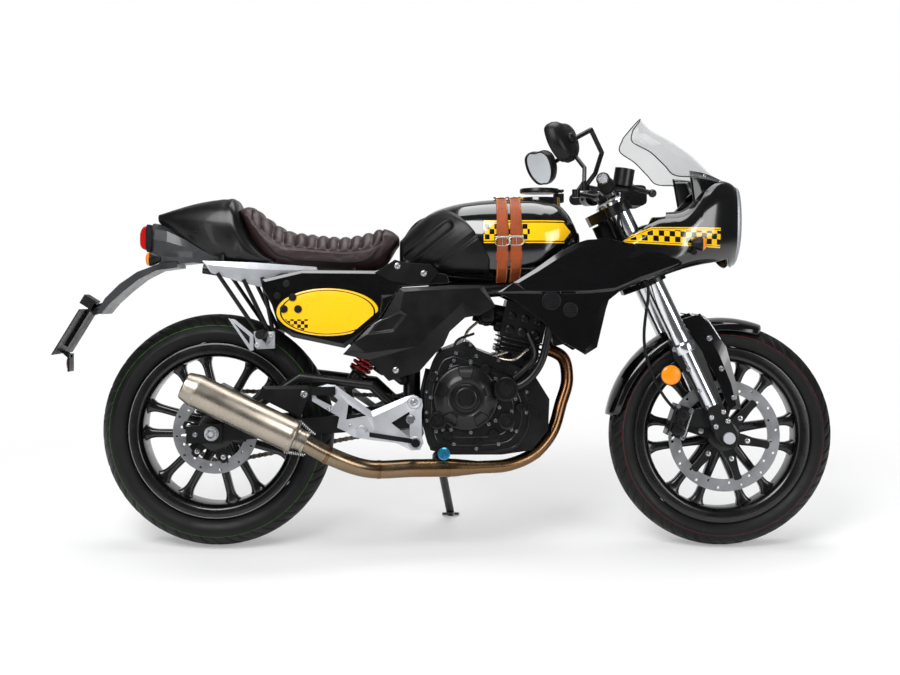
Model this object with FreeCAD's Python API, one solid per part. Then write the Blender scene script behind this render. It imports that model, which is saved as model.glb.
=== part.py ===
import FreeCAD, Part
import math
import os

# Cafe racer motorcycle with spoked cast wheels, upside-down fork, half fairing, ribbed seat and short tail.
# Millimetres. +X is forward, +Y is the rider's left, +Z is up.  The origin is on the floor, halfway between
# the wheels. Everything is first drawn upright and then leaned over onto the side stand.

V = FreeCAD.Vector

# Main sizes.
wheelbase = 1325.0
lean_deg = 10.0            # how far it leans on its side stand
rake_deg = 25.5            # steering axis off the vertical
fork_offset = 38.0         # fork legs ahead of the steering axis
fork_half_span = 97.0      # leg centre to the middle plane
overrun = 4.0              # extra depth of every cutting tool
rest_gap = 0.3             # gap kept between curved faces that only touch
moving_gap = 5.0           # gap kept between pieces that move past each other

rear_x = -wheelbase / 2
front_x = wheelbase / 2
rake = math.radians(rake_deg)

# Places along the machine, ahead of its middle, and two lengths, as shares of the wheelbase.
place_shares = {
    "pivot": -0.1147,
    "front sprocket": -0.0694,
    "subframe front": -0.1132,
    "subframe foot": -0.1328,
    "subframe stay": -0.3547,
    "case rear": -0.0921,
    "case length": 0.2453,
    "clutch": -0.0091,
    "pump": 0.0679,
    "small cover": 0.0694,
    "rear cover": -0.0634,
    "starter": -0.0091,
    "generator": 0.0453,
    "barrel": 0.0815,
    "silencer rear": -0.5426,
    "silencer front": -0.3351,
    "tank rear": -0.1381,
    "tank foot": 0.0151,
    "seat rear": -0.4521,
    "number board": -0.2747,
    "frame cover rear": -0.2460,
    "frame cover length": 0.2943,
    "foot bracket rear": -0.3064,
    "foot bracket length": 0.2128,
    "peg": -0.2083,
    "toe": -0.1057,
    "silencer hanger": -0.4000,
    "radiator": 0.1615,
    "stand foot": -0.0347,
    "stand pivot": -0.0589,
}


def placed(name):
    """Place along the machine by its share of the wheelbase."""
    return wheelbase * place_shares[name]


# Wheels.
rim_flange_r = 232.0
rim_window_r = 192.0
rim_seat_r = 214.0
rear_tyre_r = 305.0
rear_tyre_half = 75.0
rear_tyre_drop = 46.0
rear_rim_half = 58.0
front_tyre_r = 293.0
front_tyre_half = 55.0
front_tyre_drop = 36.0
front_rim_half = 42.0
tyre_bead_rise = 12.0
tyre_bead_inset = 4.0
spoke_pairs = 6
rear_spoke_start_deg = 22.0
front_spoke_start_deg = 30.0
spoke_spread_deg = 19.0
spoke_root_w = 19.0
spoke_tip_w = 15.0
spoke_root_t = 42.0
spoke_tip_t = 26.0
spoke_root_spread_deg = 6.0
rear_hub_r = 46.0
front_hub_r = 38.0
front_hub_half = 60.0
rear_axle_r = 9.0
front_axle_r = 9.0
axle_bore_gap = 0.3

# Brakes and drive.
front_disc_r = 145.0
front_disc_inner_r = 113.0
front_disc_y = 60.0
rear_disc_r = 110.0
rear_disc_inner_r = 78.0
rear_disc_y = 66.0
disc_t = 5.0
disc_hole_r = 5.0
disc_hole_count = 12
disc_arm_w = 16.0
disc_arm_count = 6
sprocket_y = 86.0
sprocket_t = 6.0
rear_sprocket_pitch_r = 96.0
front_sprocket_pitch_r = 34.0
chain_half_h = 7.5
chain_w = 12.0
chain_sprocket_gap = 0.3
sprocket_teeth = 38

# Fork and steering.
fork_leg_l = 678.0
fork_tube_r = 26.0
fork_slider_r = 20.0
fork_seal_r = 29.0
fork_seal_low = 245.0
fork_seal_l = 23.0
fork_foot_top = 88.0
fork_foot_low = 26.0
fork_foot_w = 48.0
fork_foot_t = 40.0
yoke_low_t = 35.0
yoke_top_t = 28.0
yoke_pitch = 200.0
leg_over_yoke = 10.0
yoke_top_start = fork_leg_l - leg_over_yoke - yoke_top_t
yoke_low_start = yoke_top_start - yoke_pitch
yoke_half_depth = 34.0
yoke_boss_t = 9.0
stem_r = 14.0
head_tube_r = 32.0
bar_r = 11.0
grip_r = 17.0
grip_l = 118.0
bar_end_y = 330.0
bar_end_x_back = 57.0       # how far the bar's end lies behind the top of the leg
bar_end_rise = 33.0
riser_rise = 26.0
riser_r = 17.0
bar_cap_l = 12.0

# Swingarm and rear end.
pivot_x = placed("pivot")
pivot_z = 342.0
arm_in_y = 97.0
arm_out_y = 121.0
arm_h = 44.0
arm_rear_over = 66.0
arm_truss_r = 12.0
pivot_tube_r = 20.0
pivot_bolt_r = 13.0
bracket_y = 126.0           # inner face of the foot brackets

# Engine.
case_half = 115.0
cover_depth = 32.0

# Lean.
rear_crown_r = (rear_tyre_half ** 2 + rear_tyre_drop ** 2) / (2 * rear_tyre_drop)
lean_lift = rear_crown_r * (1 - math.cos(math.radians(lean_deg)))

parts = {}


# Helpers.
def leaned(shape):
    """Tips a finished upright shape over to the rider's left and lifts it onto the tyres' crowns."""
    out = shape.copy()
    out.rotate(V(0, 0, 0), V(1, 0, 0), -lean_deg)
    out.translate(V(0, 0, lean_lift))
    return out


def keep(name, *shapes):
    """Stores a node made of one or more solids that don't touch."""
    solids = []
    for shape in shapes:
        solids += shape.Solids
    parts[name] = solids


def mirrored(shape):
    return shape.mirror(V(0, 0, 0), V(0, 1, 0))


def both(shape):
    """A piece and its mirror image on the other side of the machine."""
    return [shape, mirrored(shape)]


def outline(shares, x0, z0, length, height):
    """Side-view outline: shares of a length and a height, from a named corner."""
    return [(x0 + length * along, z0 + height * up) for along, up in shares]


def slab(points, y0, y1):
    """Prism with a side-view outline, between two distances from the middle plane."""
    corners = [V(x, y0, z) for x, z in points]
    face = Part.Face(Part.makePolygon(corners + [corners[0]]))
    return face.extrude(V(0, y1 - y0, 0))


def box(x0, x1, y0, y1, z0, z1):
    return Part.makeBox(x1 - x0, y1 - y0, z1 - z0, V(x0, y0, z0))


def rod(start, end, radius):
    return Part.makeCylinder(radius, (end - start).Length, start, end - start)


def cross_rod(x, z, radius, y0, y1):
    """Round bar that lies across the machine."""
    return Part.makeCylinder(radius, y1 - y0, V(x, y0, z), V(0, 1, 0))


def ring(x, z, outer, inner, y0, y1):
    return cross_rod(x, z, outer, y0, y1).cut(cross_rod(x, z, inner, y0 - overrun, y1 + overrun))


def bent_tube(points, radius):
    """Round tube swept along a smooth line through the points."""
    curve = Part.BSplineCurve()
    curve.interpolate(points)
    path = Part.Wire(curve.toShape())
    start = curve.value(curve.FirstParameter)
    way = curve.tangent(curve.FirstParameter)[0]
    circle = Part.Wire(Part.makeCircle(radius, start, way))
    return path.makePipeShell([circle], True, True)


def joined(shapes):
    body = shapes[0].fuse(shapes[1:]) if len(shapes) > 1 else shapes[0]
    return body.removeSplitter()


def frame_of_rods(points, radius):
    """Straight tubes from point to point with a round knuckle at each inner corner."""
    pieces = [rod(a, b, radius) for a, b in zip(points, points[1:])]
    pieces += [Part.makeSphere(radius, p) for p in points[1:-1]]
    return joined(pieces)


def both_halves(shares):
    """Completes half of a cross section, given from the top round to the bottom, with its mirror half."""
    return shares + [(-side, up) for side, up in reversed(shares) if side != 0]


def section(x, low, high, half_width, table):
    """Closed flat outline across the machine at one place along it."""
    points = [V(x, half_width * side, low + (high - low) * up) for side, up in table]
    return Part.makePolygon(points + [points[0]])


def hull(x0, z0, length, height, half_width, stations, table, grow=0):
    """Body through cross sections. Each station gives shares: along, low, high, width."""
    wires = []
    for along, low, high, width in stations:
        wires.append(section(x0 + length * along, z0 + height * low - grow, z0 + height * high + grow,
                             half_width * width + grow, table))
    return Part.makeLoft(wires, True, True)


def on_fork(shape):
    """Places what is drawn about an upright fork leg, with the front axle at its origin."""
    out = shape.copy()
    out.rotate(V(0, 0, 0), V(0, 1, 0), -rake_deg)
    out.translate(V(front_x, 0, front_tyre_r))
    return out


def fork_point(ahead, y, up):
    """Point given ahead of the leg line, sideways, and up along the leg from the axle."""
    x = front_x + ahead * math.cos(rake) - up * math.sin(rake)
    z = front_tyre_r + ahead * math.sin(rake) + up * math.cos(rake)
    return V(x, y, z)


def around(shape, x, z, count, start_deg=0):
    """Copies of a shape turned evenly about a wheel's axis."""
    copies = []
    for index in range(count):
        copy = shape.copy()
        copy.rotate(V(x, 0, z), V(0, 1, 0), -(start_deg + index * 360.0 / count))
        copies.append(copy)
    return copies


# Wheels.
def tyre(x, z, radius, half, drop, rim_half):
    """Road tyre: round crown, bulged walls, flat seat for the rim."""
    bead_r = rim_flange_r + rest_gap
    bulge_r = radius - drop
    wall_r = (bead_r + bulge_r) / 2
    edge = half - tyre_bead_inset

    def at(r, y):
        return V(x, y, z + r)

    right_wall = Part.Arc(at(bead_r, -rim_half), at(wall_r, -edge), at(bulge_r, -half)).toShape()
    crown = Part.Arc(at(bulge_r, -half), at(radius, 0), at(bulge_r, half)).toShape()
    left_wall = Part.Arc(at(bulge_r, half), at(wall_r, edge), at(bead_r, rim_half)).toShape()
    seat = Part.LineSegment(at(bead_r, rim_half), at(bead_r, -rim_half)).toShape()
    face = Part.Face(Part.Wire([right_wall, crown, left_wall, seat]))
    return face.revolve(V(x, 0, z), V(0, 1, 0), 360)


def spoke(x, z, hub_r, root_deg, tip_deg):
    """One cast spoke, tapered in width and depth, from the hub to the rim."""
    def on_wheel(r, angle_deg):
        angle = math.radians(angle_deg)
        return V(x + r * math.cos(angle), 0, z + r * math.sin(angle))

    start = on_wheel(hub_r - overrun, root_deg)
    end = on_wheel(rim_window_r + overrun, tip_deg)
    way = (end - start) * (1 / (end - start).Length)

    def cut_at(centre, width, depth):
        side = V(-way.z, 0, way.x) * (width / 2)
        deep = V(0, depth / 2, 0)
        points = [centre - side - deep, centre + side - deep, centre + side + deep, centre - side + deep]
        return Part.makePolygon(points + [points[0]])

    root = cut_at(start, spoke_root_w, spoke_root_t)
    tip = cut_at(end, spoke_tip_w, spoke_tip_t)
    return Part.makeLoft([root, tip], True, True)


def wheel(x, z, rim_half, hub_r, hub_right, hub_left, axle_r, start_deg):
    """Cast wheel: flanged rim, hub and pairs of spokes that spread like a V."""
    flange = rim_half / 7
    well = (rim_seat_r + rim_window_r) / 2
    table = [(well, rim_half / 2), (rim_seat_r, rim_half - flange), (rim_flange_r, rim_half - flange),
             (rim_flange_r, rim_half), (well, rim_half), (rim_window_r, rim_half * 3 / 4)]
    rim_points = [V(x, y, z + r) for r, y in table] + [V(x, -y, z + r) for r, y in reversed(table)]
    rim = Part.Face(Part.makePolygon(rim_points + [rim_points[0]])).revolve(V(x, 0, z), V(0, 1, 0), 360)
    hub = cross_rod(x, z, hub_r, -hub_right, hub_left)
    pieces = [rim, hub]
    for index in range(spoke_pairs):
        middle = start_deg + index * 360.0 / spoke_pairs
        for way in (-1, 1):
            pieces.append(spoke(x, z, hub_r, middle + way * spoke_root_spread_deg,
                                middle + way * spoke_spread_deg))
    body = joined(pieces)
    return body.cut(cross_rod(x, z, axle_r + axle_bore_gap, -hub_right - overrun, hub_left + overrun))


def disc(x, z, y, outer, inner, hub_r, axle_r):
    """Brake disc: drilled ring, arms and a middle that bolts to the hub."""
    low = y - disc_t / 2
    high = y + disc_t / 2
    body = ring(x, z, outer, inner, low, high)
    middle_r = hub_r + disc_arm_w
    arm = box(x, x + inner + overrun, low, high, z - disc_arm_w / 2, z + disc_arm_w / 2)
    body = joined([body, cross_rod(x, z, middle_r, low, high)] + around(arm, x, z, disc_arm_count))
    cutters = [cross_rod(x, z, axle_r + axle_bore_gap, low - overrun, high + overrun)]
    drill = cross_rod(x + (outer + inner) / 2, z, disc_hole_r, low - overrun, high + overrun)
    cutters += around(drill, x, z, disc_hole_count, 360.0 / disc_hole_count / 2)
    return body.cut(cutters)


def make_wheels():
    keep("rear_tyre", tyre(rear_x, rear_tyre_r, rear_tyre_r, rear_tyre_half, rear_tyre_drop, rear_rim_half))
    keep("front_tyre", tyre(front_x, front_tyre_r, front_tyre_r, front_tyre_half, front_tyre_drop,
                            front_rim_half))
    keep("rear_wheel_casting", wheel(rear_x, rear_tyre_r, rear_rim_half, rear_hub_r, rear_disc_y - disc_t / 2,
                                     sprocket_y - sprocket_t / 2, rear_axle_r, rear_spoke_start_deg))
    keep("front_wheel_casting", wheel(front_x, front_tyre_r, front_rim_half, front_hub_r,
                                      front_disc_y - disc_t / 2, front_hub_half, front_axle_r,
                                      front_spoke_start_deg))
    keep("rear_disc", disc(rear_x, rear_tyre_r, -rear_disc_y, rear_disc_r, rear_disc_inner_r, rear_hub_r,
                           rear_axle_r))
    keep("front_disc", disc(front_x, front_tyre_r, -front_disc_y, front_disc_r, front_disc_inner_r,
                            front_hub_r, front_axle_r))


# Drive.
front_sprocket_x = placed("front sprocket")
front_sprocket_z = 350.0
sprocket_window_r = 17.0
sprocket_window_count = 6
front_sprocket_teeth = 14


def sprocket(x, z, pitch_r, teeth, bore_r):
    """Toothed wheel that stops just short of the chain's rollers."""
    tip = pitch_r - chain_half_h - chain_sprocket_gap
    root = tip - chain_half_h
    points = []
    for index in range(teeth):
        for part_of_tooth, radius in ((-0.3, root), (-0.12, tip), (0.12, tip), (0.3, root)):
            angle = 2 * math.pi * (index + part_of_tooth) / teeth
            points.append((x + radius * math.cos(angle), z + radius * math.sin(angle)))
    y0 = sprocket_y - sprocket_t / 2
    y1 = sprocket_y + sprocket_t / 2
    return slab(points, y0, y1).cut(cross_rod(x, z, bore_r, y0 - overrun, y1 + overrun))


def racetrack(offset, y0, y1):
    """Belt-shaped solid round both sprockets, grown outward from the pitch line."""
    big = rear_sprocket_pitch_r + offset
    small = front_sprocket_pitch_r + offset
    dx = front_sprocket_x - rear_x
    dz = front_sprocket_z - rear_tyre_r
    span = math.hypot(dx, dz)
    tilt = math.atan2(dz, dx)
    lean_in = math.acos((big - small) / span)
    up = (tilt + lean_in, tilt - lean_in)
    points = []
    ends = [(rear_x, rear_tyre_r, big), (front_sprocket_x, front_sprocket_z, small)]
    for angle, x, z, radius in [(up[0], *ends[0]), (up[0], *ends[1]), (up[1], *ends[1]), (up[1], *ends[0])]:
        points.append((x + radius * math.cos(angle), z + radius * math.sin(angle)))
    body = slab(points, y0, y1)
    return joined([body, cross_rod(rear_x, rear_tyre_r, big, y0, y1),
                   cross_rod(front_sprocket_x, front_sprocket_z, small, y0, y1)])


def make_drive():
    rear = sprocket(rear_x, rear_tyre_r, rear_sprocket_pitch_r, sprocket_teeth, rear_axle_r + axle_bore_gap)
    window_at = (rear_hub_r + rear_sprocket_pitch_r) / 2 - chain_half_h
    hole = cross_rod(rear_x + window_at, rear_tyre_r, sprocket_window_r / 2, 0, sprocket_y + sprocket_t)
    rear = rear.cut(around(hole, rear_x, rear_tyre_r, sprocket_window_count))
    keep("rear_sprocket", rear)
    y0 = sprocket_y - chain_w / 2
    y1 = sprocket_y + chain_w / 2
    keep("drive_chain", racetrack(chain_half_h, y0, y1).cut(racetrack(-chain_half_h, y0 - overrun, y1 + overrun)))


# Swingarm, axle and rear brake.
truss_shares = [(0.05, 0.10), (0.44, 1.0), (0.80, 0.72), (0.95, 0.12)]
truss_rise = 128.0
crossbar_r = 17.0
crossbar_tyre_gap = 20.5
crossbar_x = rear_x + rear_tyre_r + crossbar_r + crossbar_tyre_gap
axle_nut_r = 15.0
axle_nut_t = 12.0
adjuster_l = 56.0
adjuster_h = 50.0
adjuster_t = 7.0


def make_swingarm():
    rear_end = rear_x - arm_rear_over
    half = arm_h / 2
    slope = (pivot_z - rear_tyre_r) / (pivot_x - rear_x)
    end_z = rear_tyre_r - slope * arm_rear_over
    arm = slab([(rear_end, end_z - half), (pivot_x, pivot_z - half), (pivot_x, pivot_z + half),
                (rear_end, end_z + half)], -arm_out_y, -arm_in_y)
    span = pivot_x - rear_x
    middle_y = -(arm_in_y + arm_out_y) / 2
    points = [V(rear_x + span * along, middle_y, rear_tyre_r + slope * span * along + truss_rise * up)
              for along, up in truss_shares]
    truss = frame_of_rods(points, arm_truss_r)
    nose = cross_rod(pivot_x, pivot_z, half, -arm_out_y, -arm_in_y)
    right = joined([arm, truss, nose])
    left = mirrored(right)
    cross_z = rear_tyre_r + slope * (crossbar_x - rear_x)
    cross = cross_rod(crossbar_x, cross_z, crossbar_r, -arm_in_y - overrun, arm_in_y + overrun)
    pivot = joined([cross_rod(pivot_x, pivot_z, pivot_tube_r, -arm_in_y - overrun, arm_in_y + overrun),
                    cross_rod(pivot_x, pivot_z, pivot_bolt_r, -bracket_y, bracket_y)])
    reach = arm_out_y + adjuster_t
    block = box(rear_x - adjuster_l / 2, rear_x + adjuster_l / 2, -reach, -arm_out_y,
                rear_tyre_r - adjuster_h / 2, rear_tyre_r + adjuster_h / 2)
    body = joined([right, left, cross, pivot, block, mirrored(block)])
    body = body.cut(cross_rod(rear_x, rear_tyre_r, rear_axle_r + rest_gap, -reach - overrun, reach + overrun))
    keep("swingarm", body)
    axle = joined([cross_rod(rear_x, rear_tyre_r, rear_axle_r, -reach - axle_nut_t, reach + axle_nut_t),
                   cross_rod(rear_x, rear_tyre_r, axle_nut_r, -reach - axle_nut_t, -reach),
                   cross_rod(rear_x, rear_tyre_r, axle_nut_r, reach, reach + axle_nut_t)])
    keep("rear_axle", axle)


shock_low_ahead = 2.0
shock_run = 90.0
shock_low_x = crossbar_x + shock_low_ahead
shock_low_z = 418.0
shock_top_x = shock_low_x + shock_run
shock_top_z = 560.0
shock_spring_r = 30.0
shock_body_r = 17.0
shock_spring_from_share = 0.30
shock_spring_to_share = 0.78


def make_shock():
    low = V(shock_low_x, 0, shock_low_z)
    top = V(shock_top_x, 0, shock_top_z)
    way = top - low
    body = rod(low, top, shock_body_r)
    spring = rod(low + way * shock_spring_from_share, low + way * shock_spring_to_share, shock_spring_r)
    link = rod(low, V(crossbar_x, 0, pivot_z), shock_body_r / 2)
    shock = joined([body, spring, link]).cut(parts["swingarm"])
    keep("rear_shock", max(shock.Solids, key=lambda s: s.Volume))


caliper_l = 84.0
caliper_h = 52.0
caliper_out = 24.0
caliper_in = 14.0
rear_caliper_deg = 62.0
front_caliper_deg = 162.0
caliper_reach_share = 0.86
rear_bracket_r = 26.0


def caliper(x, z, y, disc_r, angle_deg):
    """Clamp over the disc's edge, open where the disc runs through."""
    slot = disc_t / 2 + moving_gap
    reach = disc_r * caliper_reach_share
    low = x + reach - caliper_h / 2
    high = x + reach + caliper_h / 2
    body = box(low, high, y - slot - caliper_out, y + slot + caliper_in, z - caliper_l / 2, z + caliper_l / 2)
    gap = box(low - overrun, x + disc_r + moving_gap, y - slot, y + slot, z - caliper_l, z + caliper_l)
    body = body.cut(gap)
    body.rotate(V(x, 0, z), V(0, 1, 0), -angle_deg)
    return body


def make_calipers():
    front = caliper(front_x, front_tyre_r, -front_disc_y, front_disc_r, front_caliper_deg)
    outer = -front_disc_y - disc_t / 2 - moving_gap
    near = fork_point(0, 0, fork_foot_top * 1 / 3)
    far = fork_point(0, 0, fork_foot_top)
    reach = front_disc_r * caliper_reach_share
    angle = math.radians(front_caliper_deg)
    middle_x = front_x + reach * math.cos(angle)
    middle_z = front_tyre_r + reach * math.sin(angle)
    bracket = slab([(near.x, near.z), (far.x, far.z), (middle_x, middle_z + caliper_h / 2),
                    (middle_x, middle_z - caliper_h / 4)], outer - caliper_out, outer - caliper_out / 3)
    front = joined([front, bracket]).cut([leg_slider(), leg_foot(), front_axle_tool()])
    keep("front_caliper", max(front.Solids, key=lambda s: s.Volume))
    rear = caliper(rear_x, rear_tyre_r, -rear_disc_y, rear_disc_r, rear_caliper_deg)
    outer = -rear_disc_y - disc_t / 2 - moving_gap
    reach = rear_disc_r * caliper_reach_share
    angle = math.radians(rear_caliper_deg)
    middle = V(rear_x + reach * math.cos(angle), 0, rear_tyre_r + reach * math.sin(angle))
    ears = cross_rod(rear_x, rear_tyre_r, rear_bracket_r, outer - caliper_out, outer - caliper_out * 2 / 3)
    tongue = slab([(rear_x - rear_bracket_r / 2, rear_tyre_r), (rear_x + rear_bracket_r, rear_tyre_r),
                   (middle.x + caliper_h / 3, middle.z), (middle.x - caliper_h / 3, middle.z)],
                  outer - caliper_out, outer - caliper_out * 2 / 3)
    rear = joined([rear, ears, tongue]).cut(cross_rod(rear_x, rear_tyre_r, rear_axle_r + rest_gap,
                                                      -2 * arm_out_y, 0))
    rear = rear.cut(parts["swingarm"])
    keep("rear_caliper", max(rear.Solids, key=lambda s: s.Volume))


# Fork.
def leg_tube():
    return on_fork(Part.makeCylinder(fork_tube_r, fork_leg_l - fork_seal_low - fork_seal_l,
                                     V(0, -fork_half_span, fork_seal_low + fork_seal_l)))


def leg_slider():
    return on_fork(Part.makeCylinder(fork_slider_r, fork_seal_low - fork_foot_top,
                                     V(0, -fork_half_span, fork_foot_top)))


def leg_foot():
    """Axle clamp at the bottom of the leg."""
    upper = Part.makeBox(fork_foot_w, fork_foot_t, fork_foot_top,
                         V(-fork_foot_w / 2, -fork_half_span - fork_foot_t / 2, 0))
    lower = Part.makeCylinder(fork_foot_low, fork_foot_t, V(0, -fork_half_span - fork_foot_t / 2, 0), V(0, 1, 0))
    foot = joined([upper, lower])
    bore = Part.makeCylinder(front_axle_r + rest_gap, fork_foot_t * 2, V(0, -fork_half_span - fork_foot_t, 0),
                             V(0, 1, 0))
    return on_fork(foot.cut(bore))


def front_axle_tool():
    """Room for the front axle in what sits round it."""
    return cross_rod(front_x, front_tyre_r, front_axle_r + rest_gap, -2 * fork_half_span, 2 * fork_half_span)


def yoke(start, thick):
    """Flat bridge that clamps both legs and the stem."""
    boss_r = fork_tube_r + yoke_boss_t
    reach = fork_half_span
    points = [(-fork_offset - yoke_half_depth, -stem_r * 2), (-boss_r, -reach), (yoke_half_depth, -reach),
              (yoke_half_depth, reach), (-boss_r, reach), (-fork_offset - yoke_half_depth, stem_r * 2)]
    corners = [V(x, y, start) for x, y in points]
    bosses = [Part.makeCylinder(boss_r, thick, V(0, y, start)) for y in (-reach, reach)]
    body = joined([Part.Face(Part.makePolygon(corners + [corners[0]])).extrude(V(0, 0, thick))] + bosses)
    for y in (-fork_half_span, fork_half_span):
        body = body.cut(Part.makeCylinder(fork_tube_r, thick + 2 * overrun, V(0, y, start - overrun)))
    return body


def make_fork():
    seal = on_fork(Part.makeCylinder(fork_seal_r, fork_seal_l, V(0, -fork_half_span, fork_seal_low)))
    keep("fork_upper_tubes", *both(joined([leg_tube(), seal])))
    keep("fork_lowers", *both(joined([leg_slider(), leg_foot()])))
    stem = Part.makeCylinder(stem_r, yoke_top_start - yoke_low_start, V(-fork_offset, 0, yoke_low_start))
    lower = yoke(yoke_low_start, yoke_low_t)
    upper = yoke(yoke_top_start, yoke_top_t)
    keep("triple_clamps", on_fork(joined([lower, stem, upper])))
    reach = fork_half_span + fork_foot_t / 2
    axle = joined([cross_rod(front_x, front_tyre_r, front_axle_r, -reach - axle_nut_t, reach + axle_nut_t),
                   cross_rod(front_x, front_tyre_r, axle_nut_r, -reach - axle_nut_t, -reach),
                   cross_rod(front_x, front_tyre_r, axle_nut_r, reach, reach + axle_nut_t)])
    keep("front_axle", axle)


# Bars and controls.
bar_start_y = 74.0
housing_r = 22.0
housing_l = 34.0
lever_r = 6.0
lever_ball_r = 10.0
lever_ahead_shares = [(0.0, 0.55), (0.16, 0.78), (1.0, 1.0)]
lever_ahead = 88.0
lever_drop = 26.0
perch_w = 26.0
perch_h = 22.0
tank_can_r = 25.0
tank_can_h = 44.0
tank_can_ahead = 38.0
tank_can_rise = 5.0


def bar_ends():
    """Inner and outer end of the right bar."""
    top = fork_point(0, -fork_half_span, fork_leg_l)
    inner = V(top.x - riser_r / 2, -bar_start_y, top.z + riser_rise - riser_r / 3)
    outer = V(top.x - bar_end_x_back, -bar_end_y, top.z + bar_end_rise)
    return inner, outer


def along_bar(share):
    inner, outer = bar_ends()
    return inner + (outer - inner) * share


def bar_share(y):
    """Share of the bar's length where it passes a distance from the middle plane."""
    return (y - bar_start_y) / (bar_end_y - bar_start_y)


def make_bars():
    inner, outer = bar_ends()
    way = outer - inner
    unit = way * (1 / way.Length)
    bar = rod(inner, outer, bar_r)
    top = fork_point(0, -fork_half_span, fork_leg_l)
    seat = fork_point(0, -fork_half_span, fork_leg_l - yoke_top_start / 40)
    riser = rod(seat, V(top.x - riser_r / 2, -fork_half_span, top.z + riser_rise), riser_r)
    right = joined([bar, riser]).cut(leg_tube())
    keep("handlebars", *both(right))
    grip_start = outer - unit * grip_l
    grip = rod(grip_start, outer, grip_r).cut(rod(grip_start - unit * overrun, outer + unit * overrun, bar_r))
    cap = rod(outer, outer + unit * bar_cap_l, grip_r)
    keep("grips", *both(joined([grip, cap])))
    pod_end = grip_start - unit * rest_gap
    pod = rod(pod_end - unit * housing_l, pod_end, housing_r)
    perch_at = pod_end - unit * (housing_l + perch_w)
    perch = rod(perch_at, perch_at + unit * perch_w, housing_r)
    neck = rod(perch_at + unit * perch_w / 2, perch_at + unit * perch_w / 2 + V(lever_ahead * 3 / 5, 0, 0), perch_h / 2)
    solid = joined([pod, perch, neck]).cut(rod(inner - unit, outer + unit, bar_r))
    can_at = perch_at + unit * perch_w / 2 + V(tank_can_ahead, 0, tank_can_rise)
    can = Part.makeCylinder(tank_can_r, tank_can_h, can_at, V(math.sin(rake) / 3, 0, math.cos(rake)))
    base = perch_at + unit * perch_w / 2
    span = outer.y - base.y
    points = [base + V(lever_ahead * ahead, span * along, -lever_drop * along) for along, ahead in lever_ahead_shares]
    lever = joined([frame_of_rods(points, lever_r), Part.makeSphere(lever_ball_r, points[-1])])
    right = joined([solid, can, lever])
    keep("controls", max(right.Solids, key=lambda s: s.Volume), mirrored(joined([solid, lever])))


mirror_stem_r = 6.0
mirror_foot_y = 112.0
mirror_stem_shares = [(0.10, 0.25), (0.55, 0.60), (0.85, 1.0)]
mirror_out = 150.0
mirror_up = 130.0
mirror_bow = 34.0
mirror_arm_back = 60.0
mirror_head_back = 92.0
mirror_head_up = 92.0
mirror_head_y = 318.0
mirror_head_l = 34.0
mirror_head_w = 120.0
mirror_head_h = 96.0
mirror_head_shares = [(0.30, 0.0), (0.62, 0.10), (0.95, 0.50), (0.86, 0.86), (0.60, 1.0)]
mirror_back_share = 0.72
mirror_tilt_deg = -20.0
mirror_turn_deg = -35.0


def mirror_centre():
    """Middle of the mirror, behind and above the bar's end."""
    inner, outer = bar_ends()
    return V(outer.x - mirror_head_back, -mirror_head_y, outer.z + mirror_head_up)


def mirror_head():
    """Shell of the mirror, wider at the glass than at the back."""
    table = [(-side, up) for side, up in mirror_head_shares] + [(side, up) for side, up in reversed(mirror_head_shares)]

    def loop(x, scale):
        points = [V(x, mirror_head_w / 2 * side * scale, mirror_head_h * (up - 1 / 2) * scale) for side, up in table]
        return Part.makePolygon(points + [points[0]])

    head = Part.makeLoft([loop(-mirror_head_l / 2, 1), loop(0, 1), loop(mirror_head_l / 2, mirror_back_share)],
                         True, True)
    head.rotate(V(0, 0, 0), V(0, 1, 0), mirror_tilt_deg)
    head.rotate(V(0, 0, 0), V(0, 0, 1), mirror_turn_deg)
    head.translate(mirror_centre())
    return head


# Brake hose, from the fluid can past the yokes to the caliper, held behind the fork leg.
brake_hose_r = 4.0
hose_side_gap = 37.0
hose_back = 20.0
# Up the fork leg as a share of its length, behind and outside the leg as shares of the two distances above.
hose_leg_shares = [(0.915, 1.0, 1.0), (0.66, 1.0, 1.0), (0.57, 2.5, 0.62)]
hose_low_shares = [(0.45, 4.6, 0.30), (0.34, 5.2, 0.10), (0.235, 5.0, -0.14)]
hose_end_ahead = 72.0
hose_end_up = 92.0


def make_brake_hose():
    inner, outer = bar_ends()
    unit = (outer - inner) * (1 / (outer - inner).Length)
    base = outer - unit * (grip_l + rest_gap + housing_l + perch_w / 2)
    start = base + V(tank_can_ahead, 0, tank_can_rise)
    points = [start + V(0, 0, tank_can_rise), start - V(0, 0, tank_can_h / 2)]
    for up, back, out in hose_leg_shares + hose_low_shares:
        points.append(fork_point(-hose_back * back, -fork_half_span - hose_side_gap * out, fork_leg_l * up))
    points.append(fork_point(-hose_end_ahead, -fork_half_span + hose_side_gap / 2, hose_end_up))
    hose = bent_tube(points, brake_hose_r)
    hose = hose.cut(parts["controls"] + parts["front_caliper"] + parts["fork_lowers"] + parts["triple_clamps"])
    keep("brake_hose", max(hose.Solids, key=lambda s: s.Volume))


def make_mirrors():
    foot = along_bar(bar_share(mirror_foot_y))
    base = foot + V(-mirror_arm_back, 0, bar_r)
    head = mirror_head()
    end = mirror_centre() + V(mirror_head_l / 3, 0, 0)
    points = [foot, base]
    for out, up in mirror_stem_shares:
        points.append(V(base.x + mirror_bow * math.sin(math.pi * up), base.y - mirror_out * out,
                        base.z + mirror_up * up))
    points.append(end)
    stem = frame_of_rods(points, mirror_stem_r)
    collar = rod(base - V(0, 0, bar_r), base + V(0, 0, bar_r), bar_r)
    stem = joined([stem, collar]).cut([head] + parts["controls"] + parts["handlebars"])
    keep("mirror_stems", *both(max(stem.Solids, key=lambda s: s.Volume)))
    keep("mirrors", *both(head))


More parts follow.
